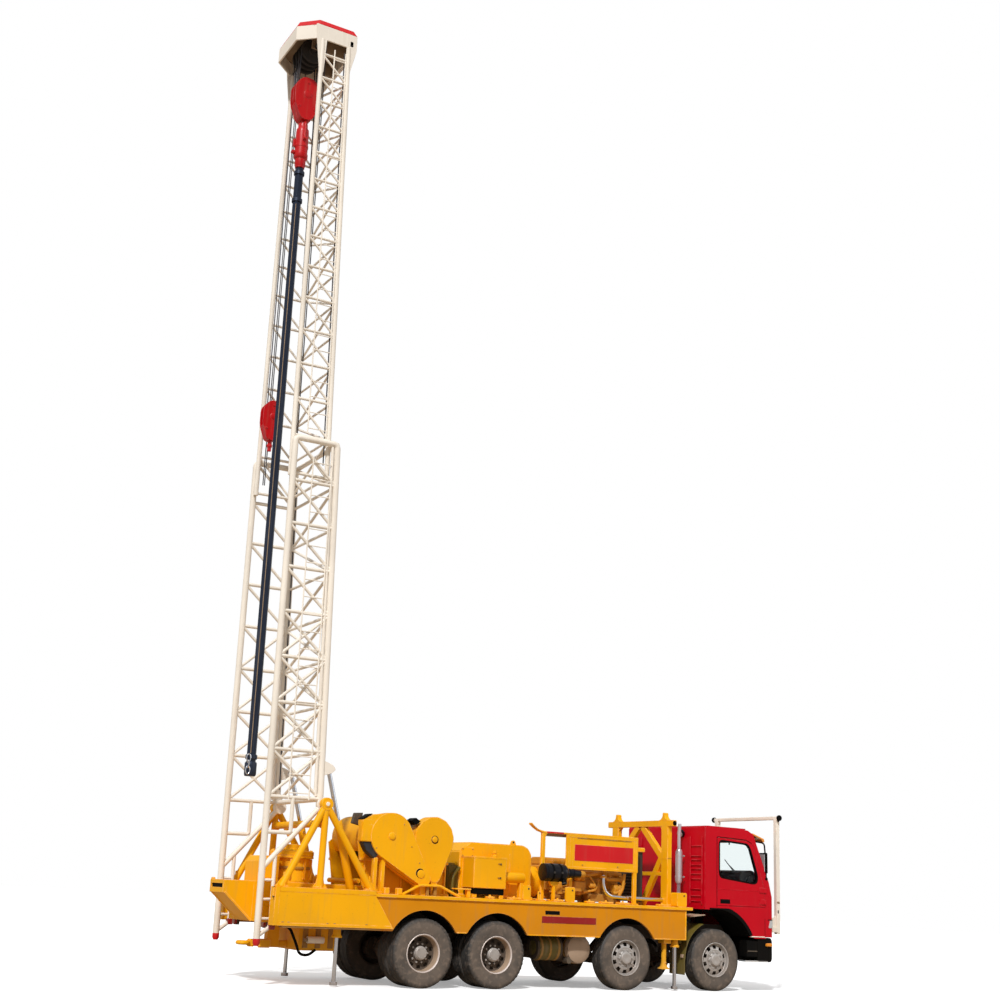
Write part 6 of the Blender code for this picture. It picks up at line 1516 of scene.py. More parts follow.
MAIN_X, SAND_X = (x for _, _, x in DRUMS)
REAR_TOE = (-2.2, 1.7)
FRONT_TOE = (-1.95, 1.76)
rear_guard = belt_line((MAIN_X, DRUM_Z), 0.375, REAR_TOE, 0.12)
front_guard = belt_line((SAND_X, DRUM_Z), 0.372, FRONT_TOE, 0.12, 9)
shapes = [
    prism(rear_guard, -1.08, -0.735, 0.014, 3),
    prism(front_guard, -0.98, -0.7355, 0.014, 3),
    boss(MAIN_X, -1.08, 2.353, 0.058, 0.024),
    boss(SAND_X, -0.98, 2.345, 0.052, 0.024),
    (turned(((0, 0.004), (0.066, 0.004), (0.066, -0.004)), (-1.985, -0.98, 2.342), (0, -1, 0), 32),
     "black_matt"),
    (turned(((0, 0.004), (0.075, 0.004), (0.075, -0.004)), (-2.28, -1.08, 1.79), (0, -1, 0), 32),
     "black_matt"),
    boss(-2.262, -1.08, 1.775, 0.07, 0.014),
]
rim = belt_line((MAIN_X, DRUM_Z), 0.379, REAR_TOE, 0.124)
shapes += [
    (prism(rim, -0.9, -0.885, 0.002), "shade_yellow"),
    brick((-3.37, -1.07, 2.24), (-3.0, -0.9, 2.6), 0.012, 3),
]
# The cover steps back beside the plate, where the ram lies when the mast is folded.
for low_x, low_z, inner in ((-3.37, 2.59, -0.885), (-3.22, 2.66, -0.75)):
    cover = [(low_x, low_z), (-3.18, 2.68), (-3.02, 2.7), (-2.9, 2.69), (-3.0, 2.5), (low_x, 2.5)]
    shapes.append(prism(cover, -1.07, inner, 0.008))
# The first two black plates on top of the cover stand for its slots, painted as the dark shade inside them.
shapes += [
    (prism([(-3.375, 2.585), (-3.325, 2.6), (-3.2, 2.688), (-3.25, 2.685), (-3.375, 2.6)],
           -1.073, -0.882, 0.002), "black_matt"),
    (prism([(-3.225, 2.672), (-3.2, 2.688), (-3.12, 2.7), (-3.14, 2.68)], -0.89, -0.745, 0.002),
     "black_matt"),
    (prism([(-2.44, 2.63), (-2.36, 2.68), (-2.27, 2.62), (-2.36, 2.56)], -0.985, -0.74, 0.003),
     "black_matt"),
    (prism([(-3.4, 2.53), (-3.36, 2.7), (-3.22, 2.71), (-3.25, 2.5)], -0.735, -0.64, 0.006),
     "drum_steel"),
    (prism([(-3.34, 2.24), (-3.02, 2.24), (-2.98, 2.1), (-3.1, 1.98), (-3.26, 2.1)],
           -1.04, -0.885, 0.01), "rope_dark"),
]
for toe_x, toe_z, outer in ((*REAR_TOE, 1.07), (*FRONT_TOE, 0.97)):
    shapes.append(brick((toe_x - 0.06, -outer, DECK_TOP), (toe_x + 0.06, -0.745, toe_z), 0.006))
for x, y in ((-3.11, -1.04), (-2.97, -1.04)):
    shapes.append(brick((x, y, DECK_TOP), (x + 0.07, y + 0.09, 2.0), 0.006))
shapes.append(brick((-3.15, -1.08, DECK_TOP), (-2.86, -0.9, DECK_TOP + 0.03), 0.004))
for x, z in ((-2.62, 2.55), (-2.46, 2.2), (-2.3, 1.95), (-3.1, 2.15)):
    shapes.append((turned(((0, 0.008), (0.01, 0.007), (0.012, 0)), (x, -1.08, z), (0, -1, 0), 8),
                   "shade_yellow"))
piece("drop_shaped_chain_guards", shapes, "rig_yellow", "root", ["chain_guards"])


def frame_ribs(side):
    """Bearing housings, stiffeners and brake linkage on a bearing plate."""
    made = []
    for _, _, x in DRUMS:
        housing = ((0.052, 0.62), (0.13, 0.62), (0.135, 0.625), (0.135, 0.655), (0.12, 0.67),
                   (0.052, 0.675))
        made += [
            turned(housing, (x, 0, DRUM_Z), (0, side, 0), 32),
            *bolts((x, side * 0.655, DRUM_Z), 0.105, 8, 0.011, 0.02, (0, side, 0)),
        ]
    for x in (-3.1, -2.42, -1.6):
        made.append(slab(side, (x, x + 0.03), (0.66, 0.6), (DECK_TOP + 0.02, 2.05)))
    made += [
        slab(side, (-3.18, -1.53), (0.655, 0.6), (1.95, 1.99)),
        slab(side, (-3.2, -1.5), (0.66, 0.56), (DECK_TOP, DECK_TOP + 0.035)),
    ]
    return made


shapes = both(frame_ribs)
for z, x in ((1.62, -3.16), (1.62, -1.6), (2.02, -2.4)):
    shapes.append(bar(((x, -0.6, z), (x, 0.6, z)), 0.04, 16))
shapes.append((bar(((-2.41, 0.5, 1.5), (-2.41, 0.5, 2.4), (-2.3, 0.5, 2.62)), 0.02, 10), "chassis_dark"))
shroud = bent_strip((MAIN_X, DRUM_Z), 0.35, 0.34, 62, 225, 20)
shapes.append(prism(shroud, -0.572, 0.572))
for y in (-0.572, 0.562):
    shapes.append(prism(shroud, y, y + 0.01))
piece("drawworks_ribs", shapes, "rig_yellow")
print("drawworks done")

# %% [markdown]
# ## Gearbox hood and engine
# The chamfered hood stands over the gearbox, with a console and a coupling cover on its
# near side. The engine is open below its side panel, so it needs real depth: a crankcase,
# cylinder heads, covers and pipes. They are simple forms, but many, and set at different
# depths, because that is what makes an engine bay look full.

# %% Hood and console
hood = [(-1.29, DECK_TOP), (-1.29, 2.2), (-1.09, 2.36), (-0.02, 2.36), (0.09, 2.31), (0.16, 2.2),
        (0.16, DECK_TOP)]
coupling = ((0.078, 0.0), (0.09, 0.004), (0.09, 0.45), (0.084, 0.46), (0.0, 0.46))
shapes = [
    prism(hood, -0.6, 0.6, 0.016, 3),
    brick((-1.22, -1.0, 1.6), (-0.58, -0.59, 2.11), 0.01, 3),
    brick((-1.225, -1.005, 2.085), (-0.575, -0.59, 2.118), 0.006),
    turned(coupling, (-0.585, -0.8, 1.8), (1, 0, 0), 36),
    (turned(oblong(0.091, 0.096, 0.0, 0.03), (-0.57, -0.8, 1.8), (1, 0, 0)), "shade_yellow"),
    brick((-1.27, -0.612, 2.1), (-1.02, -0.59, 2.27), 0.006),
]
for x, z in ((-1.24, 2.13), (-1.24, 2.24), (-1.05, 2.13), (-1.05, 2.24)):
    shapes += [(item, "shade_yellow") for item in bolts((x, -0.612, z), 0.0, 1, 0.012, 0.01, (0, -1, 0))]
shapes.append(turned(((0.05, 2.11), (0.05, 2.15), (0.03, 2.155), (0.03, 2.19), (0.042, 2.195),
                      (0.042, 2.23), (0, 2.235)), (-0.66, -0.7, 0), steps=20))
eye = rounded([(-0.24, 2.35), (-0.2, 2.44), (-0.14, 2.44), (-0.1, 2.35)], 0.03)
shapes += [
    prism(eye, -0.5, -0.47, 0.004),
    (turned(oblong(0, 0.018, 0.017, -0.017), (-0.17, -0.485, 2.405), (0, 1, 0), 16), "chassis_dark"),
    prism(rounded([(-1.06, 2.35), (-1.02, 2.43), (-0.96, 2.43), (-0.92, 2.35)], 0.03),
          0.47, 0.5, 0.004),
]
for z in (2.01, 1.78):
    shapes += [
        (brick((-0.75, -1.012, z - 0.012), (-0.69, -0.99, z + 0.012)), "shade_yellow"),
        (turned(((0, 0.02), (0.012, 0.02), (0.014, 0.0)), (-0.7, -1.0, z), (0, -1, 0), 10),
         "chassis_dark"),
    ]
shapes.append((brick((-1.2, -0.97, 1.5), (-0.6, -0.62, 1.61)), "black_matt"))
for x in (-1.2, -0.68):
    shapes.append((brick((x, -0.96, DECK_TOP), (x + 0.08, -0.88, 1.61)), "rig_yellow"))
shapes.append(brick((-0.21, -0.85, DECK_TOP), (-0.15, -0.75, 1.8), 0.004))
for x in (-1.18, -0.3):
    shapes.append(brick((x, -0.604, DECK_TOP), (x + 0.03, -0.59, 2.2)))
shapes += [
    *both(lambda side: [slab(side, (-1.31, 0.18), (0.64, 0.56), (DECK_TOP, DECK_TOP + 0.05))]),
    brick((-0.95, 0.59, 1.7), (-0.2, 0.612, 2.15), 0.006),
]
piece("hood_and_console", shapes, "rig_yellow", "root", ["gearbox_hood"])

shapes = []
for x, y, z, radius, length in ((-1.55, -0.35, 1.8, 0.2, 0.28), (-1.62, -0.35, 1.8, 0.11, 0.14)):
    profile = ((0, 0), (radius * 0.9, 0), (radius, 0.02), (radius, length - 0.02),
               (radius * 0.9, length), (0, length))
    shapes.append(turned(profile, (x, y, z), (1, 0, 0), 32))
shapes += [
    brick((-1.52, -0.62, 1.55), (-1.3, 0.5, 1.96), 0.02, 3),
    bar(bent([(-1.46, -0.7, 1.46), (-1.46, -0.7, 1.78), (-1.3, -0.62, 1.92)], 0.08), 0.03, 12),
    (bar(bent([(-1.4, -0.8, 1.5), (-1.46, -0.86, 1.6), (-1.56, -0.8, 1.54)], 0.04), 0.012, 8),
     "black_matt"),
]
bell = ((0, 0.0), (0.34, 0.0), (0.36, 0.02), (0.36, 0.1), (0.3, 0.2), (0.27, 0.24), (0.27, 0.4), (0, 0.4))
shapes += [
    (turned(bell, (0.16, 0, 1.76), (1, 0, 0)), "rig_yellow"),
    *[(item, "rig_yellow") for item in bolts((0.26, 0, 1.76), 0.335, 18, 0.014, 0.02, (1, 0, 0))],
]
piece("gear_train", shapes, "olive_paint")

# %% Engine


def engine_side(side):
    """What is bolted to one side of the crankcase."""
    made = []
    for number in range(6):
        x = 0.72 + number * 0.24
        made.append((slab(side, (x, x + 0.2), (0.4, 0.05), (2.02, 2.16), 0.015), "engine_paint"))
        port = [(x + 0.1, side * 0.4, 2.04), (x + 0.1, side * 0.5, 2.03), (x + 0.1, side * 0.53, 1.95)]
        made.append((bar(bent(port, 0.03), 0.032, 12), "engine_paint"))
    made += [
        bar(((0.66, side * 0.53, 1.95), (2.12, side * 0.53, 1.95)), 0.048, 18),
        slab(side, (0.62, 2.1), (0.455, 0.4), (1.7, 1.86), 0.012),
    ]
    for x in (0.8, 1.2, 1.6):
        made.append(turned(((0.05, 0), (0.07, 0.01), (0.07, 0.2), (0.05, 0.23), (0, 0.23)),
                           (x, side * 0.52, 1.56)))
    made += [
        bar(((0.62, side * 0.5, 1.6), (2.1, side * 0.5, 1.6)), 0.02, 10),
        *[slab(side, (x, x + 0.12), (0.56, 0.38), (DECK_TOP, 1.56), 0.01) for x in (0.7, 1.9)],
    ]
    return made


shapes = [
    brick((0.55, -0.42, 1.62), (2.15, 0.42, 2.06), 0.02, 3),
    brick((0.6, -0.3, 1.47), (2.08, 0.3, 1.64), 0.03, 3),
    brick((0.6, -0.16, 2.06), (2.05, 0.16, 2.2), 0.02, 3),
    *both(engine_side),
    turned(((0, 0), (0.15, 0.0), (0.16, 0.01), (0.13, 0.03), (0.16, 0.05), (0.15, 0.06), (0, 0.06)),
           (2.15, 0, 1.7), (1, 0, 0), 32),
]
for x, y, z, radius, length in ((1.86, -0.66, 1.7, 0.085, 0.2), (2.02, -0.62, 1.88, 0.06, 0.12),
                                (1.1, -0.6, 1.86, 0.055, 0.18), (1.34, -0.68, 1.74, 0.05, 0.12)):
    profile = ((0, 0), (radius * 0.85, 0), (radius, 0.015), (radius, length * 0.4),
               (radius * 0.8, length * 0.45), (radius * 0.8, length * 0.55), (radius, length * 0.6),
               (radius, length - 0.015), (radius * 0.8, length), (0, length))
    shapes.append(turned(profile, (x, y, z), (1, 0, 0), 28))
for path, radius in (([(1.7, -0.62, 2.0), (1.7, -0.68, 1.86), (2.0, -0.68, 1.86), (2.16, -0.6, 1.8)],
                      0.032),
                     ([(1.14, -0.55, 1.95), (1.26, -0.68, 1.9), (1.5, -0.7, 1.95)], 0.026),
                     ([(1.2, -0.7, 1.62), (1.45, -0.7, 1.66), (1.6, -0.6, 1.8)], 0.022),
                     ([(1.85, -0.7, 1.62), (2.0, -0.72, 1.66), (2.12, -0.6, 1.78)], 0.036),
                     ([(1.3, -0.72, 1.92), (1.44, -0.72, 1.76), (1.42, -0.62, 1.66)], 0.012),
                     ([(2.05, -0.76, 1.97), (2.02, -0.76, 1.72), (1.95, -0.74, 1.58)], 0.03)):
    shapes.append(bar(bent(path, 0.05), radius, 12))
for x, z in ((1.22, 1.86), (1.52, 1.84), (1.78, 1.92), (1.94, 1.66)):
    shapes += bolts((x, -0.7, z), 0.02, 3, 0.01, 0.02, (0, -1, 0))
shapes += [
    brick((1.05, -0.64, 1.62), (1.3, -0.44, 1.8), 0.015),
    (brick((1.4, -0.62, 1.46), (1.95, -0.4, 1.6), 0.01), "shade_yellow"),
]
elbow = [(1.59, -0.75, 1.93), (1.59, -0.75, 1.72), (1.7, -0.75, 1.57), (2.1, -0.75, 1.552),
         (2.92, -0.75, 1.552)]
shapes += [
    (bar(bent(elbow, 0.12, 8), 0.035, 18), "bright_rod"),
    (turned(((0.036, -0.09), (0.046, -0.08), (0.046, 0.08), (0.036, 0.09)), (2.2, -0.75, 1.552),
            (1, 0, 0)), "bright_rod"),
    turned(((0.036, -0.02), (0.06, -0.02), (0.06, 0.015), (0.04, 0.02)), (1.59, -0.75, 1.9), (0, 0, 1)),
    (bar(((2.92, -0.75, 1.552), (3.18, -0.66, 1.552)), 0.035, 16), "bright_rod"),
]
radiator = brick((2.42, -0.62, 1.5), (2.56, 0.62, 2.42), 0.01)
shapes += [
    (radiator, "chassis_dark"),
    (brick((2.4, -0.66, 2.38), (2.58, 0.66, 2.46), 0.01), "rig_yellow"),
    *[(brick((2.405, -0.6, 1.54 + number * 0.055), (2.425, 0.6, 1.56 + number * 0.055), 0.002),
       "drum_steel") for number in range(15)],
]
piece("open_engine", shapes, "engine_paint", "root", ["engine_block"])

# %% The side panel and its bay


def corner_web(x, z, dx, dz, radius, steps=6):
    """A rounded inner corner of an opening."""
    spots = [(x, z), (x + dx * radius, z)]
    for step in range(1, steps):
        turn = pi / 2 * step / steps
        spots.append((x + dx * radius * (1 - sin(turn)), z + dz * radius * (1 - cos(turn))))
    return spots + [(x, z + dz * radius)]


PANEL_REAR, PANEL_FRONT = 0.69, 2.25
PANEL_LOW, PANEL_HIGH = 2.0, 2.6
shapes = [brick((PANEL_REAR, -0.89, PANEL_LOW), (PANEL_FRONT, -0.87, PANEL_HIGH), 0.004)]
for low, high in ((2.55, PANEL_HIGH), (PANEL_LOW, 2.045)):
    shapes.append(brick((PANEL_REAR, -0.897, low), (PANEL_FRONT, -0.865, high), 0.004))
for x in (PANEL_REAR, PANEL_FRONT - 0.05):
    shapes.append(brick((x, -0.897, PANEL_LOW), (x + 0.05, -0.865, PANEL_HIGH), 0.004))
shapes += [
    (brick((0.87, -0.8965, 2.15), (2.14, -0.88, 2.43), 0.003), "plate_red"),
    (brick((0.92, -0.899, 2.535), (2.1, -0.89, 2.545), 0.002), "shade_yellow"),
    brick((2.2, -0.895, 2.01), (2.25, -0.79, 2.61), 0.004),
]
roof = [(2.25, 2.62), (0.22, 2.62), (0.1, 2.645), (0.02, 2.69), (-0.04, 2.75), (-0.04, 2.725),
        (0.04, 2.665), (0.12, 2.62), (0.22, 2.59), (2.25, 2.59)]
shapes += [
    prism(roof, -0.899, -0.785, 0.004),
    (brick((0.27, -0.9, 2.592), (0.63, -0.89, 2.619), 0.002), "plate_red"),
]
for x in (0.22, 0.805, 2.195):
    shapes += [
        brick((x - 0.035, -0.893, DECK_TOP), (x + 0.035, -0.83, 2.6), 0.006),
        brick((x - 0.07, -0.91, DECK_TOP), (x + 0.07, -0.8, DECK_TOP + 0.025), 0.004),
    ]
for x, dx in ((0.255, 1), (0.77, -1)):
    shapes += [
        prism(corner_web(x, 2.592, dx, -1, 0.07), -0.889, -0.85),
        prism(corner_web(x, 2.02, dx, 1, 0.07), -0.889, -0.85),
    ]
shapes += [
    brick((0.255, -0.885, 1.99), (0.77, -0.85, 2.02)),
    (brick((0.255, -0.8, 2.54), (0.77, -0.79, 2.595)), "mast_shade"),
]
for x in (1.04, 1.8):
    shapes.append((turned(((0, 0.01), (0.012, 0.01), (0.014, 0)), (x, -0.893, 2.08), (0, -1, 0), 10),
                   "shade_yellow"))
piece("engine_side_panel", shapes, "rig_yellow", "root", ["engine_canopy"])

# %% Air cleaner and exhaust
CLEANER_Y = -1.06
CLEANER_Z = 1.92
body = ((0, 0.1), (0.02, 0.1), (0.13, 0.102), (0.146, 0.108), (0.15, 0.118), (0.15, 0.138),
        (0.143, 0.142), (0.143, 0.152), (0.15, 0.156), (0.15, 0.5), (0.145, 0.54), (0.12, 0.575),
        (0.08, 0.6), (0.075, 0.62), (0.075, 0.64), (0.082, 0.644), (0.082, 0.66), (0.075, 0.664),
        (0.075, 0.72), (0.082, 0.724), (0.082, 0.74), (0.07, 0.746), (0.066, 0.8), (0.06, 0.88),
        (0, 0.88))
shapes = [(turned(body, (0, CLEANER_Y, CLEANER_Z), (1, 0, 0), 56), "black_gloss")]
for x in (0.26, 0.42):
    strap = oblong(0.15, 0.155, x - 0.018, x + 0.018)
    shapes += [
        (turned(strap, (0, CLEANER_Y, CLEANER_Z), (1, 0, 0), 40), "black_matt"),
        (brick((x - 0.02, -1.225, 1.9), (x + 0.02, -1.2, 1.94)), "chassis_dark"),
    ]
shapes += [
    (bar(((0.5, -1.12, 1.84), (0.5, -1.16, 1.74)), 0.045, 16), "black_matt"),
    (turned(oblong(0.03, 0.048, 0, 0.02), (0.5, -1.155, 1.75), (0, -0.37, -0.93), 20), "chassis_dark"),
    (brick((0.315, -1.085, DECK_TOP), (0.365, -1.035, 1.79)), "rig_yellow"),
    (brick((0.28, -1.12, DECK_TOP), (0.4, -1.0, DECK_TOP + 0.02)), "rig_yellow"),
    (prism([(0.24, 1.77), (0.44, 1.77), (0.4, 1.7), (0.28, 1.7)], -1.09, -1.03, 0.004), "rig_yellow"),
]
duct = [(0.86, CLEANER_Y, CLEANER_Z), (0.98, -1.02, CLEANER_Z), (1.1, -0.8, CLEANER_Z),
        (1.12, -0.62, 1.93)]
shapes.append((bar(bent(duct, 0.08), 0.056, 20), "engine_paint"))
piece("air_cleaner_can", shapes, "black_gloss", "root", ["air_cleaner"])

STACK = (3.36, -0.66)
can = ((0.036, 1.86), (0.05, 1.865), (0.062, 1.9), (0.065, 1.92), (0.065, 2.42), (0.062, 2.44),
       (0.05, 2.475), (0.036, 2.48))
shapes = [
    turned(can, (*STACK, 0), steps=36),
    bar(((*STACK, 2.44), (*STACK, 2.7), (3.375, -0.655, 2.945)), 0.033, 20),
]
flex = [(3.2, STACK[1], 1.5), (*STACK, 1.56), (*STACK, 1.7)]
shapes.append(bar(bent(flex, 0.08), 0.032, 20))
for number in range(12):
    z = 1.64 + number * 0.019
    shapes.append(turned(((0.03, z - 0.006), (0.04, z), (0.03, z + 0.006)), (*STACK, 0), steps=24))
for z in (1.98, 2.36):
    shapes += [
        turned(oblong(0.065, 0.069, z - 0.015, z + 0.015), (*STACK, 0), steps=32),
        (bar(((3.42, STACK[1], z), (3.475, STACK[1], z)), 0.012, 8), "lamp_clear"),
        (turned(((0, 0.02), (0.02, 0.02), (0.022, 0.0)), (3.465, STACK[1], z), (1, 0, 0), 12),
         "lamp_clear"),
    ]
shapes.append((brick((3.18, -0.7, DECK_TOP), (3.235, -0.62, 1.5)), "rig_yellow"))
piece("exhaust_and_silencer", shapes, "silencer_silver", "root", ["exhaust_stack"])

# %% [markdown]
# ## Mast rests
# The folded mast lies on two rests: a braced yellow gantry behind the cab, and a white
# goalpost in front of it. The gantry's horns keep the mast from sliding sideways. Their
# hollow flanks are arcs in the outline.

# %% Gantry behind the cab
GANTRY = (2.912, 3.008)
BEAM_LOW = 2.88


def horn(y):
    """A pointed horn on the beam with hollow flanks."""
    spots = []
    for way in (-1, 1):
        arc = []
        for step in range(7):
            turn = pi / 2 * step / 6
            arc.append((y + way * (0.03 + 0.15 * (1 - sin(turn))), 2.975 + 0.11 * (1 - cos(turn))))
        spots += arc if way < 0 else list(reversed(arc))
        if way < 0:
            spots += [(y - 0.028, 3.105), (y - 0.014, 3.12), (y + 0.014, 3.12), (y + 0.028, 3.105)]
    return spots


def gantry_side(side):
    """One post with its braces, seen along the truck."""
    made = []
    y = side * 0.8
    made += [
        brick((GANTRY[0], y - 0.1, DECK_TOP), (GANTRY[1], y + 0.1, BEAM_LOW), 0.006),
        brick((GANTRY[0], y - 0.13, DECK_TOP), (GANTRY[1], y + 0.13, DECK_TOP + 0.03), 0.004),
    ]
    for low, high in (((side * 0.06, BEAM_LOW), (side * 0.7, 2.3)),
                      ((side * 0.7, 2.34), (side * 0.06, DECK_TOP))):
        a, b = Vector(low), Vector(high)
        across = (b - a).normalized().orthogonal() * 0.062
        outline = [tuple(a + across), tuple(b + across), tuple(b - across), tuple(a - across)]
        made.append(prism(outline, GANTRY[0] + 0.01, GANTRY[1] - 0.01, 0.004, plane="YZ"))
    made += [
        prism(horn(side * 0.76), GANTRY[0], GANTRY[1], 0.004, plane="YZ"),
        (turned(oblong(0, 0.045, 0.0, 0.02), (2.96, side * 1.03, 2.925), (0, side, 0), 20),
         "black_matt"),
        prism([(side * 0.7, BEAM_LOW), (side * 0.7, 2.8), (side * 0.62, BEAM_LOW)],
              GANTRY[0] + 0.02, GANTRY[1] - 0.02, plane="YZ"),
        brick((GANTRY[0] - 0.006, y - 0.1, 2.28), (GANTRY[1], y + 0.1, 2.3)),
    ]
    return made


shapes = [
    brick((GANTRY[0], -1.045, 2.87), (GANTRY[1], 1.045, 2.98), 0.005),
    *both(gantry_side),
    brick((GANTRY[0] + 0.01, -0.72, 1.98), (GANTRY[1] - 0.01, 0.72, 2.05), 0.004),
]
piece("braced_gantry", shapes, "rig_yellow", "root", ["mast_gantry"])

# %% Goalpost in front of the cab


def post_side(side):
    """One square post with its arm, brackets and the knuckle of the top bar."""
    y = side * 0.9
    return [
        brick((5.496, y - 0.044, 1.02), (5.584, y + 0.044, 3.15), 0.008, 3),
        slab(side, (5.1315, 5.54), (0.95, 0.85), (1.05, 1.15), 0.008),
        slab(side, (5.1315, 5.15), (0.99, 0.81), (1.03, 1.3), 0.006),
        wall_at([(5.15, 1.15), (5.5, 1.15), (5.5, 1.36)], side, 0.908, 0.892, 0.002),
        (brick((5.502, y - 0.05, 1.58), (5.57, y + 0.05, 1.62)), "mast_shade"),
        (brick((5.515, y - 0.05, 1.4), (5.545, y + 0.05, 1.46)), "chassis_dark"),
        (turned(((0, 0.02), (0.05, 0.02), (0.055, 0.01), (0.055, -0.02), (0, -0.02)),
                (5.528, side * 1.0, 3.185), (0, side, 0), 24), "black_matt"),
        prism(rounded([(5.5, 3.1), (5.58, 3.1), (5.578, 3.2), (5.502, 3.2)], 0.02),
              y - 0.05, y + 0.05, 0.004),
        (bar(((5.54, side * 0.97, 3.12), (5.54, side * 0.93, 3.15)), 0.014, 8), "chassis_dark"),
    ]


shapes = [
    brick((5.507, -1.015, 3.152), (5.573, 1.015, 3.218), 0.01, 3),
    *both(post_side),
]
piece("white_goalpost", shapes, "mast_white", "root", ["front_mast_rest"])

# %% [markdown]
# ## The cab
# The cab's shell and doors keep the solid model's shape. What makes a cab look real is on
# top of it: black rubber round the glass, the flare over the wheel, pressed ribs in the
# rear wall, lamps, mirrors and a sun visor. Anything on a door rides on that door.

# %% Cab outlines
CAB_SIDE = 1.22
CREASE_Y = 1.2165
FRONT_HUB = (AXLES[0], HUB_Z)
SWAP = Matrix(((1, 0, 0, 0), (0, 0, 1, 0), (0, 1, 0, 0), (0, 0, 0, 1)))
WINDOW = [(3.9, 2.012), (3.878, 2.11), (3.878, 2.622), (3.912, 2.659), (4.533, 2.622), (4.602, 2.549),
          (4.775, 2.061), (4.763, 1.951), (4.694, 1.927)]


def grown(outline, amount):
    """An outline pushed outwards all round."""
    spots = [Vector(spot) for spot in outline]
    middle = sum(spots, Vector((0, 0))) / len(spots)
    made = []
    for number, spot in enumerate(spots):
        before = (spot - spots[number - 1]).normalized()
        after = (spots[(number + 1) % len(spots)] - spot).normalized()
        normal = (before + after).normalized().orthogonal()
        if normal.dot(spot - middle) < 0:
            normal.negate()
        made.append(tuple(spot + normal * amount))
    return made


def rim_of(outline, outwards, inwards, side, outer, inner):
    """A flat ring that follows an outline on one side of the cab."""
    edges = sorted((side * outer, side * inner))
    return moved(walls(grown(outline, outwards), grown(outline, -inwards), *edges), SWAP)


# %% Door fittings
for name, side in SIDES:
    soft_window = rounded(WINDOW, 0.05, 3)
    shapes = [
        rim_of(soft_window, 0.024, 0.006, side, CAB_SIDE + 0.006, CAB_SIDE - 0.045),
        (wall_at(grown(soft_window, -0.002), side, 1.186, 1.18, 0.0), "cab_glass"),
        slab(side, (3.89, 4.13), (1.222, 1.17), (1.53, 1.62), 0.006),
        (slab(side, (3.92, 4.1), (1.226, 1.21), (1.585, 1.605), 0.006), "black_gloss"),
    ]
    for crease, radius in (([(3.835, 1.79), (4.3, 1.79), (4.93, 1.778)], 0.007),
                           ([(4.12, 1.515), (4.6, 1.52), (4.94, 1.53)], 0.006)):
        shapes.append((bar([(x, side * CREASE_Y, z) for x, z in crease], radius, 8), "cab_red"))
    card = grown([(3.84, 1.53), (3.84, 1.9), (4.7, 1.88), (4.86, 1.9), (4.92, 1.53)], -0.01)
    shapes += [
        (wall_at(card, side, 1.163, 1.145, 0.006), "cab_trim"),
        (slab(side, (4.05, 4.55), (1.15, 1.09), (1.78, 1.83), 0.02), "cab_trim"),
        (bar(((4.12, side * 1.2, 2.648), (4.12, side * 1.2, 2.6)), 0.012, 8), "black_matt"),
    ]
    piece("door_seal_and_glass_" + name, shapes, "black_matt", "cab_door_" + name)

# %% Cab shell fittings


def flare(side):
    """The black flare over the wheel, with the liner behind it."""
    band = [(max(x, 3.55), min(z, 1.452))
            for x, z in bent_strip(FRONT_HUB, 0.955, 0.892, 100, 29, 30)]
    liner = bent_strip(FRONT_HUB, 0.897, 0.88, 100, 29, 30)
    return [(wall_at(band, side, 1.238, 1.19, 0.0), "black_matt"),
            (wall_at(liner, side, 1.19, 0.55, 0.0), "black_matt")]


def nose(side):
    """Trim, lamps, marker and step at one front corner."""
    made = [
        (slab(side, (4.6, 4.95), (1.226, 1.18), (0.958, 0.978), 0.004), "mast_white"),
        (slab(side, (4.953, 4.965), (1.2225, 1.18), (0.99, 1.3), 0.002), "black_matt"),
    ]
    lens = rounded([(5.04, 1.13), (5.138, 1.13), (5.138, 1.27), (5.08, 1.27)], 0.02)
    made += [
        (wall_at(lens, side, 1.232, 0.95, 0.012), "lamp_clear"),
        (slab(side, (5.03, 5.14), (1.228, 1.16), (1.27, 1.285), 0.004), "black_matt"),
        (slab(side, (4.99, 5.13), (1.236, 1.18), (0.8, 0.86), 0.012), "amber"),
        (slab(side, (4.7, 4.98), (1.2215, 1.19), (0.935, 0.96), 0.003), "cab_red"),
        (slab(side, (5.118, 5.15), (1.05, 0.8), (1.16, 1.25), 0.008), "lamp_clear"),
    ]
    return made


def rear_wall(side):
    """Pressed ribs in the rear wall and the gutter over it."""
    made = []
    for z in (2.548, 2.366, 2.294, 2.203, 2.131, 2.041, 1.951, 1.772, 1.647, 1.558):
        edges = sorted((side * 0.8, side * 1.11))
        made.append(brick((3.528, edges[0], z - 0.014), (3.55, edges[1], z + 0.014), 0.008, 3))
    for y in (0.775, 1.125):
        made.append(slab(side, (3.522, 3.55), (y + 0.018, y - 0.018), (1.5, 2.72), 0.01))
    made.append(slab(side, (3.53, 3.56), (1.222, 1.19), (1.44, 2.9), 0.012))
    gutter = [(3.545, side * 1.205, 2.905), (4.4, side * 1.205, 2.905), (4.7, side * 1.16, 2.825)]
    made.append(bar(bent(gutter, 0.1), 0.014, 10))
    return made


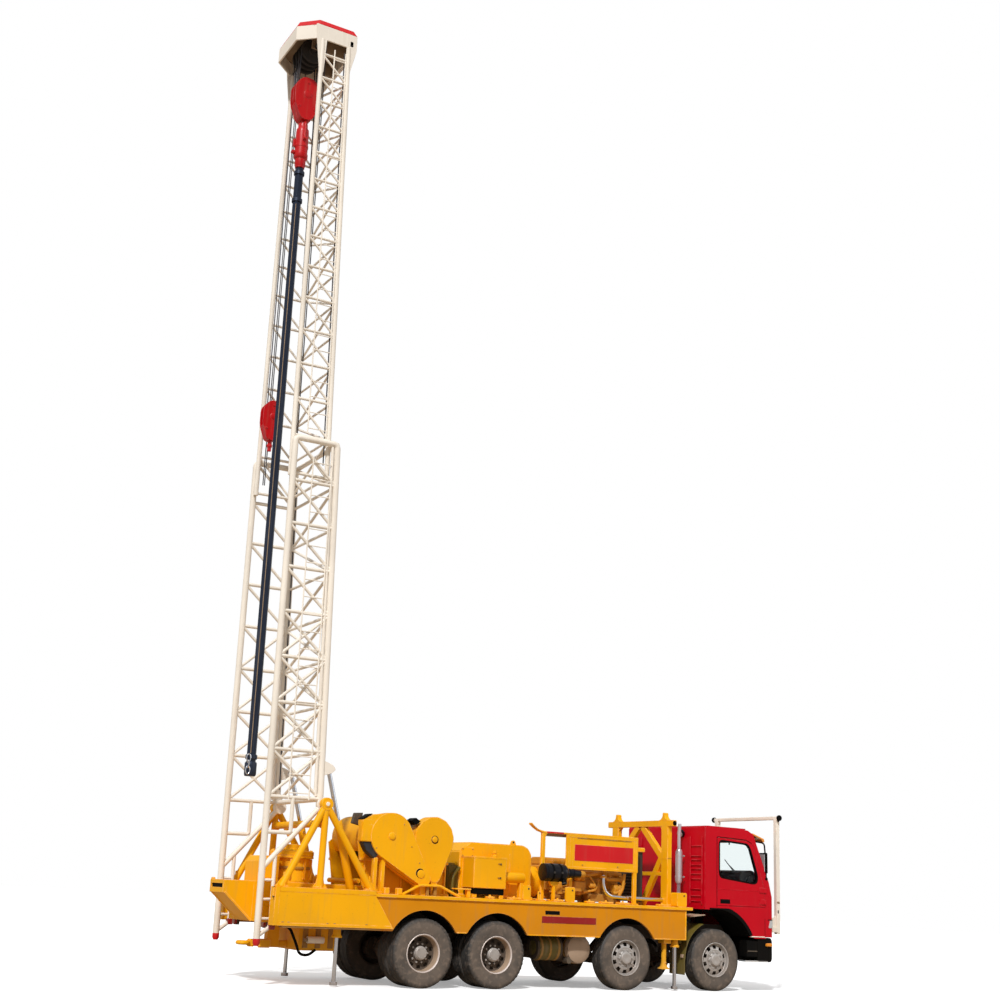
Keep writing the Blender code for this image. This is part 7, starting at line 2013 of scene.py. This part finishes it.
def mirror(side):
    """A mirror on its black arm in front of the door pillar."""
    arm = [(4.7, side * 1.19, 2.7), (4.95, side * 1.225, 2.675), (4.99, side * 1.225, 2.3),
           (5.0, side * 1.215, 2.01)]
    made = [bar(bent(arm, 0.06), 0.015, 12)]
    head = rounded([(4.965, 2.12), (5.02, 2.12), (5.015, 2.5), (4.955, 2.5)], 0.02)
    made += [
        wall_at(head, side, 1.245, 1.06, 0.015),
        (slab(side, (4.95, 4.962), (1.23, 1.075), (2.15, 2.47), 0.004), "lamp_clear"),
        turned(((0, 0.03), (0.03, 0.02), (0.04, 0), (0.03, -0.02), (0, -0.03)),
               (5.0, side * 1.205, 2.02), (0, 0, 1), 16),
    ]
    gap = [(3.814, side * 1.2195, 1.47), (3.814, side * 1.2195, 2.732), (4.5, side * 1.2195, 2.71),
           (4.64, side * 1.2195, 2.655)]
    made.append(bar(bent(gap, 0.03), 0.006, 6))
    return made


shapes = both(flare) + both(nose) + both(rear_wall)
shapes += [(item, "black_matt") if not isinstance(item, tuple) else item for item in both(mirror)]
visor = [(4.705, 2.845), (4.985, 2.755), (5.0, 2.7), (4.965, 2.69), (4.93, 2.74), (4.7, 2.82)]
shapes.append((prism(visor, -1.18, 1.18, 0.004), "amber"))
for y in (-1.1, -0.4, 0.4, 1.1):
    shapes.append((brick((4.72, y - 0.012, 2.76), (4.93, y + 0.012, 2.785)), "black_matt"))
for y in (-1.112, 1.112):
    shapes.append((bar(((4.712, y, 2.765), (5.036, y, 2.02)), 0.016, 10), "black_matt"))
for x, z in ((4.712, 2.768), (5.036, 2.018)):
    shapes.append((bar(((x, -1.12, z), (x, 1.12, z)), 0.016, 10), "black_matt"))
for y in (-0.55, 0.1):
    wiper = [(5.075, y, 1.93), (5.05, y + 0.1, 2.03), (4.95, y + 0.36, 2.26)]
    shapes += [
        (bar(wiper, 0.009, 8), "black_matt"),
        (bar(((5.035, y + 0.22, 2.06), (4.9, y + 0.44, 2.37)), 0.008, 8), "black_matt"),
    ]
for number in range(6):
    z = 1.1 + number * 0.085
    shapes.append((brick((5.118, -0.74, z), (5.146, 0.74, z + 0.045), 0.008), "black_matt"))
shapes += [
    (brick((5.12, -0.8, 1.66), (5.138, 0.8, 1.69), 0.006), "black_gloss"),
    (bar(bent([(3.5, -0.49, 2.74), (3.47, -0.49, 2.8), (3.53, -0.49, 2.84)], 0.02), 0.012, 8),
     "chassis_dark"),
]
lamp_case = ((0, 0.09), (0.055, 0.09), (0.07, 0.08), (0.075, 0.02), (0.06, 0.0), (0, 0.0))
lamp_glass = ((0, 0.096), (0.055, 0.094), (0.062, 0.086))
lamp_at, lamp_aim = (3.545, -0.52, 2.79), (-1, -0.2, -0.3)
shapes += [
    (turned(lamp_case, lamp_at, lamp_aim, 24), "black_gloss"),
    (turned(lamp_glass, lamp_at, lamp_aim, 24), "lamp_clear"),
    brick((3.56, -1.17, 2.9), (4.55, 1.17, 2.9185), 0.008),
]
piece("cab_fittings", shapes, "cab_red")


def rear_guard_of(side):
    """The dusty plate behind a front wheel, with the flap that hangs from it."""
    arc = bent_strip(FRONT_HUB, 0.672, 0.66, 112, 180, 20)
    shelf = [(3.25, 1.27), (3.6, 1.31), (3.6, 1.33), (3.25, 1.29)]
    return [wall_at(arc, side, 1.15, 0.68, 0.0), slab(side, (3.13, 3.148), (1.15, 0.7), (0.27, 0.6), 0.004),
            (wall_at(shelf, side, 1.15, 0.7, 0.003), "tank_tan"),
            (slab(side, (3.1, 3.16), (1.12, 1.06), (0.56, 0.62), 0.006), "tank_tan")]


piece("front_wheel_guards", both(rear_guard_of), "olive_paint")

# %% Bumper and steps
bumper = rounded([(4.8, 0.52), (5.12, 0.52), (5.15, 0.58), (5.15, 0.9), (5.12, 0.955), (4.8, 0.955)], 0.04)
shapes = [
    prism(bumper, -1.195, 1.195, 0.02, 3),
    brick((4.7505, -0.46, 0.87), (4.81, 0.46, 0.95)),
    *both(lambda side: [slab(side, (4.53, 4.82), (1.19, 0.98), (0.6, 0.9), 0.015),
                        (slab(side, (4.5, 5.05), (1.2, 0.99), (0.522, 0.545), 0.006), "lamp_clear"),
                        (slab(side, (4.56, 4.8), (1.195, 1.0), (0.7, 0.72), 0.004), "drum_steel"),
                        (slab(side, (5.1, 5.152), (1.19, 1.1), (0.62, 0.655), 0.008), "lamp_clear"),
                        (turned(((0, 0.02), (0.06, 0.018), (0.07, 0.005), (0.07, -0.01)),
                                (5.14, side * 0.85, 0.74), (1, 0, 0), 28), "lamp_clear"),
                        (turned(((0.0, 0.05), (0.022, 0.05), (0.03, 0.0)), (5.14, side * 0.4, 0.66),
                                (1, 0, 0), 16), "drum_steel")]),
    (brick((5.145, -0.3, 0.62), (5.156, 0.3, 0.8), 0.004), "cab_trim"),
]
piece("bumper_with_steps", shapes, "black_matt", "root", ["front_bumper"])

# %% [markdown]
# ## Inside the cab
# Only a little of the inside shows through the side windows, but it shows. The seats are
# padded, so each is a crowned closed form with piping where its panels are sewn, in a
# woven cloth. A box with soft edges would look like a crate. The form used here is a
# superellipse, which is fullest in its middle and pulls in at its corners.

# %% A woven cloth
weave, given, gives = group(
    "weave", (("Colour", "Color", (0.1, 0.1, 0.12, 1)), ("Thread", "Float", 0.004)),
    (("Colour", "Color", None), ("Height", "Float", None)))
cloth_place = weave.nodes.new("ShaderNodeTexCoord").outputs["Object"]
cloth_axes = weave.nodes.new("ShaderNodeSeparateXYZ")
weave.links.new(cloth_place, cloth_axes.inputs[0])
threads = []
for first, second in (("X", "Z"), ("Y", "Z")):
    along = math(weave, "ADD", cloth_axes.outputs[first], cloth_axes.outputs[second])
    along = math(weave, "DIVIDE", along, given["Thread"])
    threads.append(math(weave, "SINE", math(weave, "MULTIPLY", along, 2 * pi), 0.0))
crossing = math(weave, "MULTIPLY", threads[0], threads[1])
mottle = ranged(weave, grain(weave, cloth_place, 9, 4), 0.35, 0.65, 0.0, 0.5)
darker = weave.nodes.new("ShaderNodeHueSaturation")
darker.inputs["Value"].default_value = 0.5
weave.links.new(given["Colour"], darker.inputs["Color"])
shade = math(weave, "ADD", mottle, ranged(weave, crossing, -1, 1, 0.0, 0.4), True)
weave.links.new(blend(weave, shade, given["Colour"], darker.outputs[0]), gives["Colour"])
weave.links.new(crossing, gives["Height"])
tree, shader = empty_material("seat_cloth", "cab_trim")
values(shader, Roughness=0.9, Sheen_Weight=0.3)
node, relief = surface(tree, shader, weave, 0.4, 0.001)
values(node, Colour=(0.03, 0.034, 0.055, 1))

# %% Seats


def crowned(low, high, power=4.5, cells=9):
    """A padded block that is fullest in its middle and pulls in at its corners."""
    work = bmesh.new()
    bmesh.ops.create_cube(work, size=2)
    bmesh.ops.subdivide_edges(work, edges=work.edges, cuts=cells, use_grid_fill=True)
    middle = (Vector(low) + Vector(high)) / 2
    half = (Vector(high) - Vector(low)) / 2
    for vert in work.verts:
        size = sum(abs(part) ** power for part in vert.co) ** (1 / power)
        vert.co = middle + Vector([part / size * extent for part, extent in zip(vert.co, half)])
    return work


def piping(low, high, axis, share, power=4.5, steps=48):
    """A sewn cord round a crowned pad at a share of its thickness along an axis."""
    middle = (Vector(low) + Vector(high)) / 2
    half = (Vector(high) - Vector(low)) / 2
    others = [number for number in range(3) if number != axis]
    room = (1 - abs(share) ** power) ** (1 / power)
    made = []
    for step in range(steps + 1):
        turn = 2 * pi * step / steps
        u, v = cos(turn), sin(turn)
        size = (abs(u) ** power + abs(v) ** power) ** (1 / power)
        spot = middle.copy()
        spot[axis] += share * half[axis]
        spot[others[0]] += u / size * room * half[others[0]]
        spot[others[1]] += v / size * room * half[others[1]]
        made.append(spot)
    return bar(made, 0.006, 6)


for name, side in SIDES:
    y_low, y_high = sorted((side * 0.4, side * 0.84))
    pads = (("seat_cushion_", (4.0, y_low, 1.8), (4.43, y_high, 1.98), 2),
            ("seat_back_", (3.87, y_low, 1.92), (4.02, y_high, 2.42), 0),
            ("seat_headrest_", (3.89, side * 0.62 - 0.13, 2.41), (3.99, side * 0.62 + 0.13, 2.55), 0))
    for label, low, high, axis in pads:
        pad = piece(label + name, [crowned(low, high), piping(low, high, axis, 0.6)], "seat_cloth", "root",
                    ["cab_interior"] if label == "seat_cushion_" and side < 0 else ())
    shapes = [
        slab(side, (3.95, 4.38), (0.8, 0.44), (1.52, 1.78), 0.02),
        slab(side, (3.87, 3.91), (0.8, 0.44), (1.78, 2.38), 0.012),
        *[bar(((3.94, side * 0.62 + y, 2.36), (3.94, side * 0.62 + y, 2.46)), 0.007, 8)
          for y in (-0.06, 0.06)],
    ]
    piece("seat_frame_" + name, shapes, "cab_trim")

# %% Dashboard and steering wheel
dash = rounded([(4.72, 1.52), (4.7, 1.86), (4.66, 2.0), (4.72, 2.07), (4.93, 2.06), (4.94, 1.9),
                (4.94, 1.52)], 0.04)
shapes = [prism(dash, -1.1, 1.1, 0.012, 3), brick((3.87, -0.85, 1.495), (4.73, 0.85, 1.52))]
hood_over_dials = rounded([(4.7, 1.9), (4.72, 2.02), (4.84, 2.03), (4.9, 1.96)], 0.03)
shapes.append(prism(hood_over_dials, 0.36, 0.88, 0.012, 3))
console_top = rounded([(4.55, 1.9), (4.52, 2.04), (4.58, 2.13), (4.8, 2.17), (4.9, 2.13), (4.92, 1.95)],
                      0.05)
shapes.append(prism(console_top, -1.02, 0.1, 0.02, 3))
WHEEL_AT = Vector((4.59, 0.62, 2.11))
lean_back = Vector((-0.62, 0, 0.78)).normalized()
level_way = Vector((0, 1, 0))
rise = lean_back.cross(level_way)
ring = [WHEEL_AT + (level_way * cos(2 * pi * step / 40) + rise * sin(2 * pi * step / 40)) * 0.215
        for step in range(41)]
shapes.append(bar(ring, 0.015, 10))
for turn in (0.3, pi - 0.3, -pi / 2):
    end = WHEEL_AT + (level_way * cos(turn) + rise * sin(turn)) * 0.21
    shapes.append(bar((WHEEL_AT - lean_back * 0.03, end), (0.022, 0.012), 8))
shapes += [
    turned(((0, 0.0), (0.05, -0.005), (0.055, -0.03), (0.03, -0.06), (0.025, -0.22), (0, -0.22)),
           WHEEL_AT, lean_back, 24),
    bar(bent([(4.45, 0.18, 1.52), (4.42, 0.18, 1.8), (4.4, 0.2, 1.9)], 0.06), 0.012, 8),
    turned(((0, 0.03), (0.024, 0.015), (0.024, -0.015), (0, -0.03)), (4.4, 0.2, 1.92), steps=16),
]
piece("dashboard_and_wheel", shapes, "cab_trim")

# %% [markdown]
# ## Plain carry-overs
# Some nodes of the solid model already have the right shape, so they only need a finish.

# %% Finishes for the nodes that keep their shape
finish_node(["frame_rails", "rear_bogie", "front_axle_1", "front_axle_2"]
            + [f"knuckle_{name}_{number}" for name, _ in SIDES for number in (1, 2)], "chassis_dark")
finish_node(["drawworks_frame"], "rig_yellow")
finish_node(["jack_leg_front_right", "jack_leg_front_left", "jack_leg_rear_right",
             "jack_leg_rear_left"], "bright_rod")
finish_node(["cab_shell", "cab_door_right", "cab_door_left"], "cab_red")
finish_node(["windscreen"], "cab_glass")
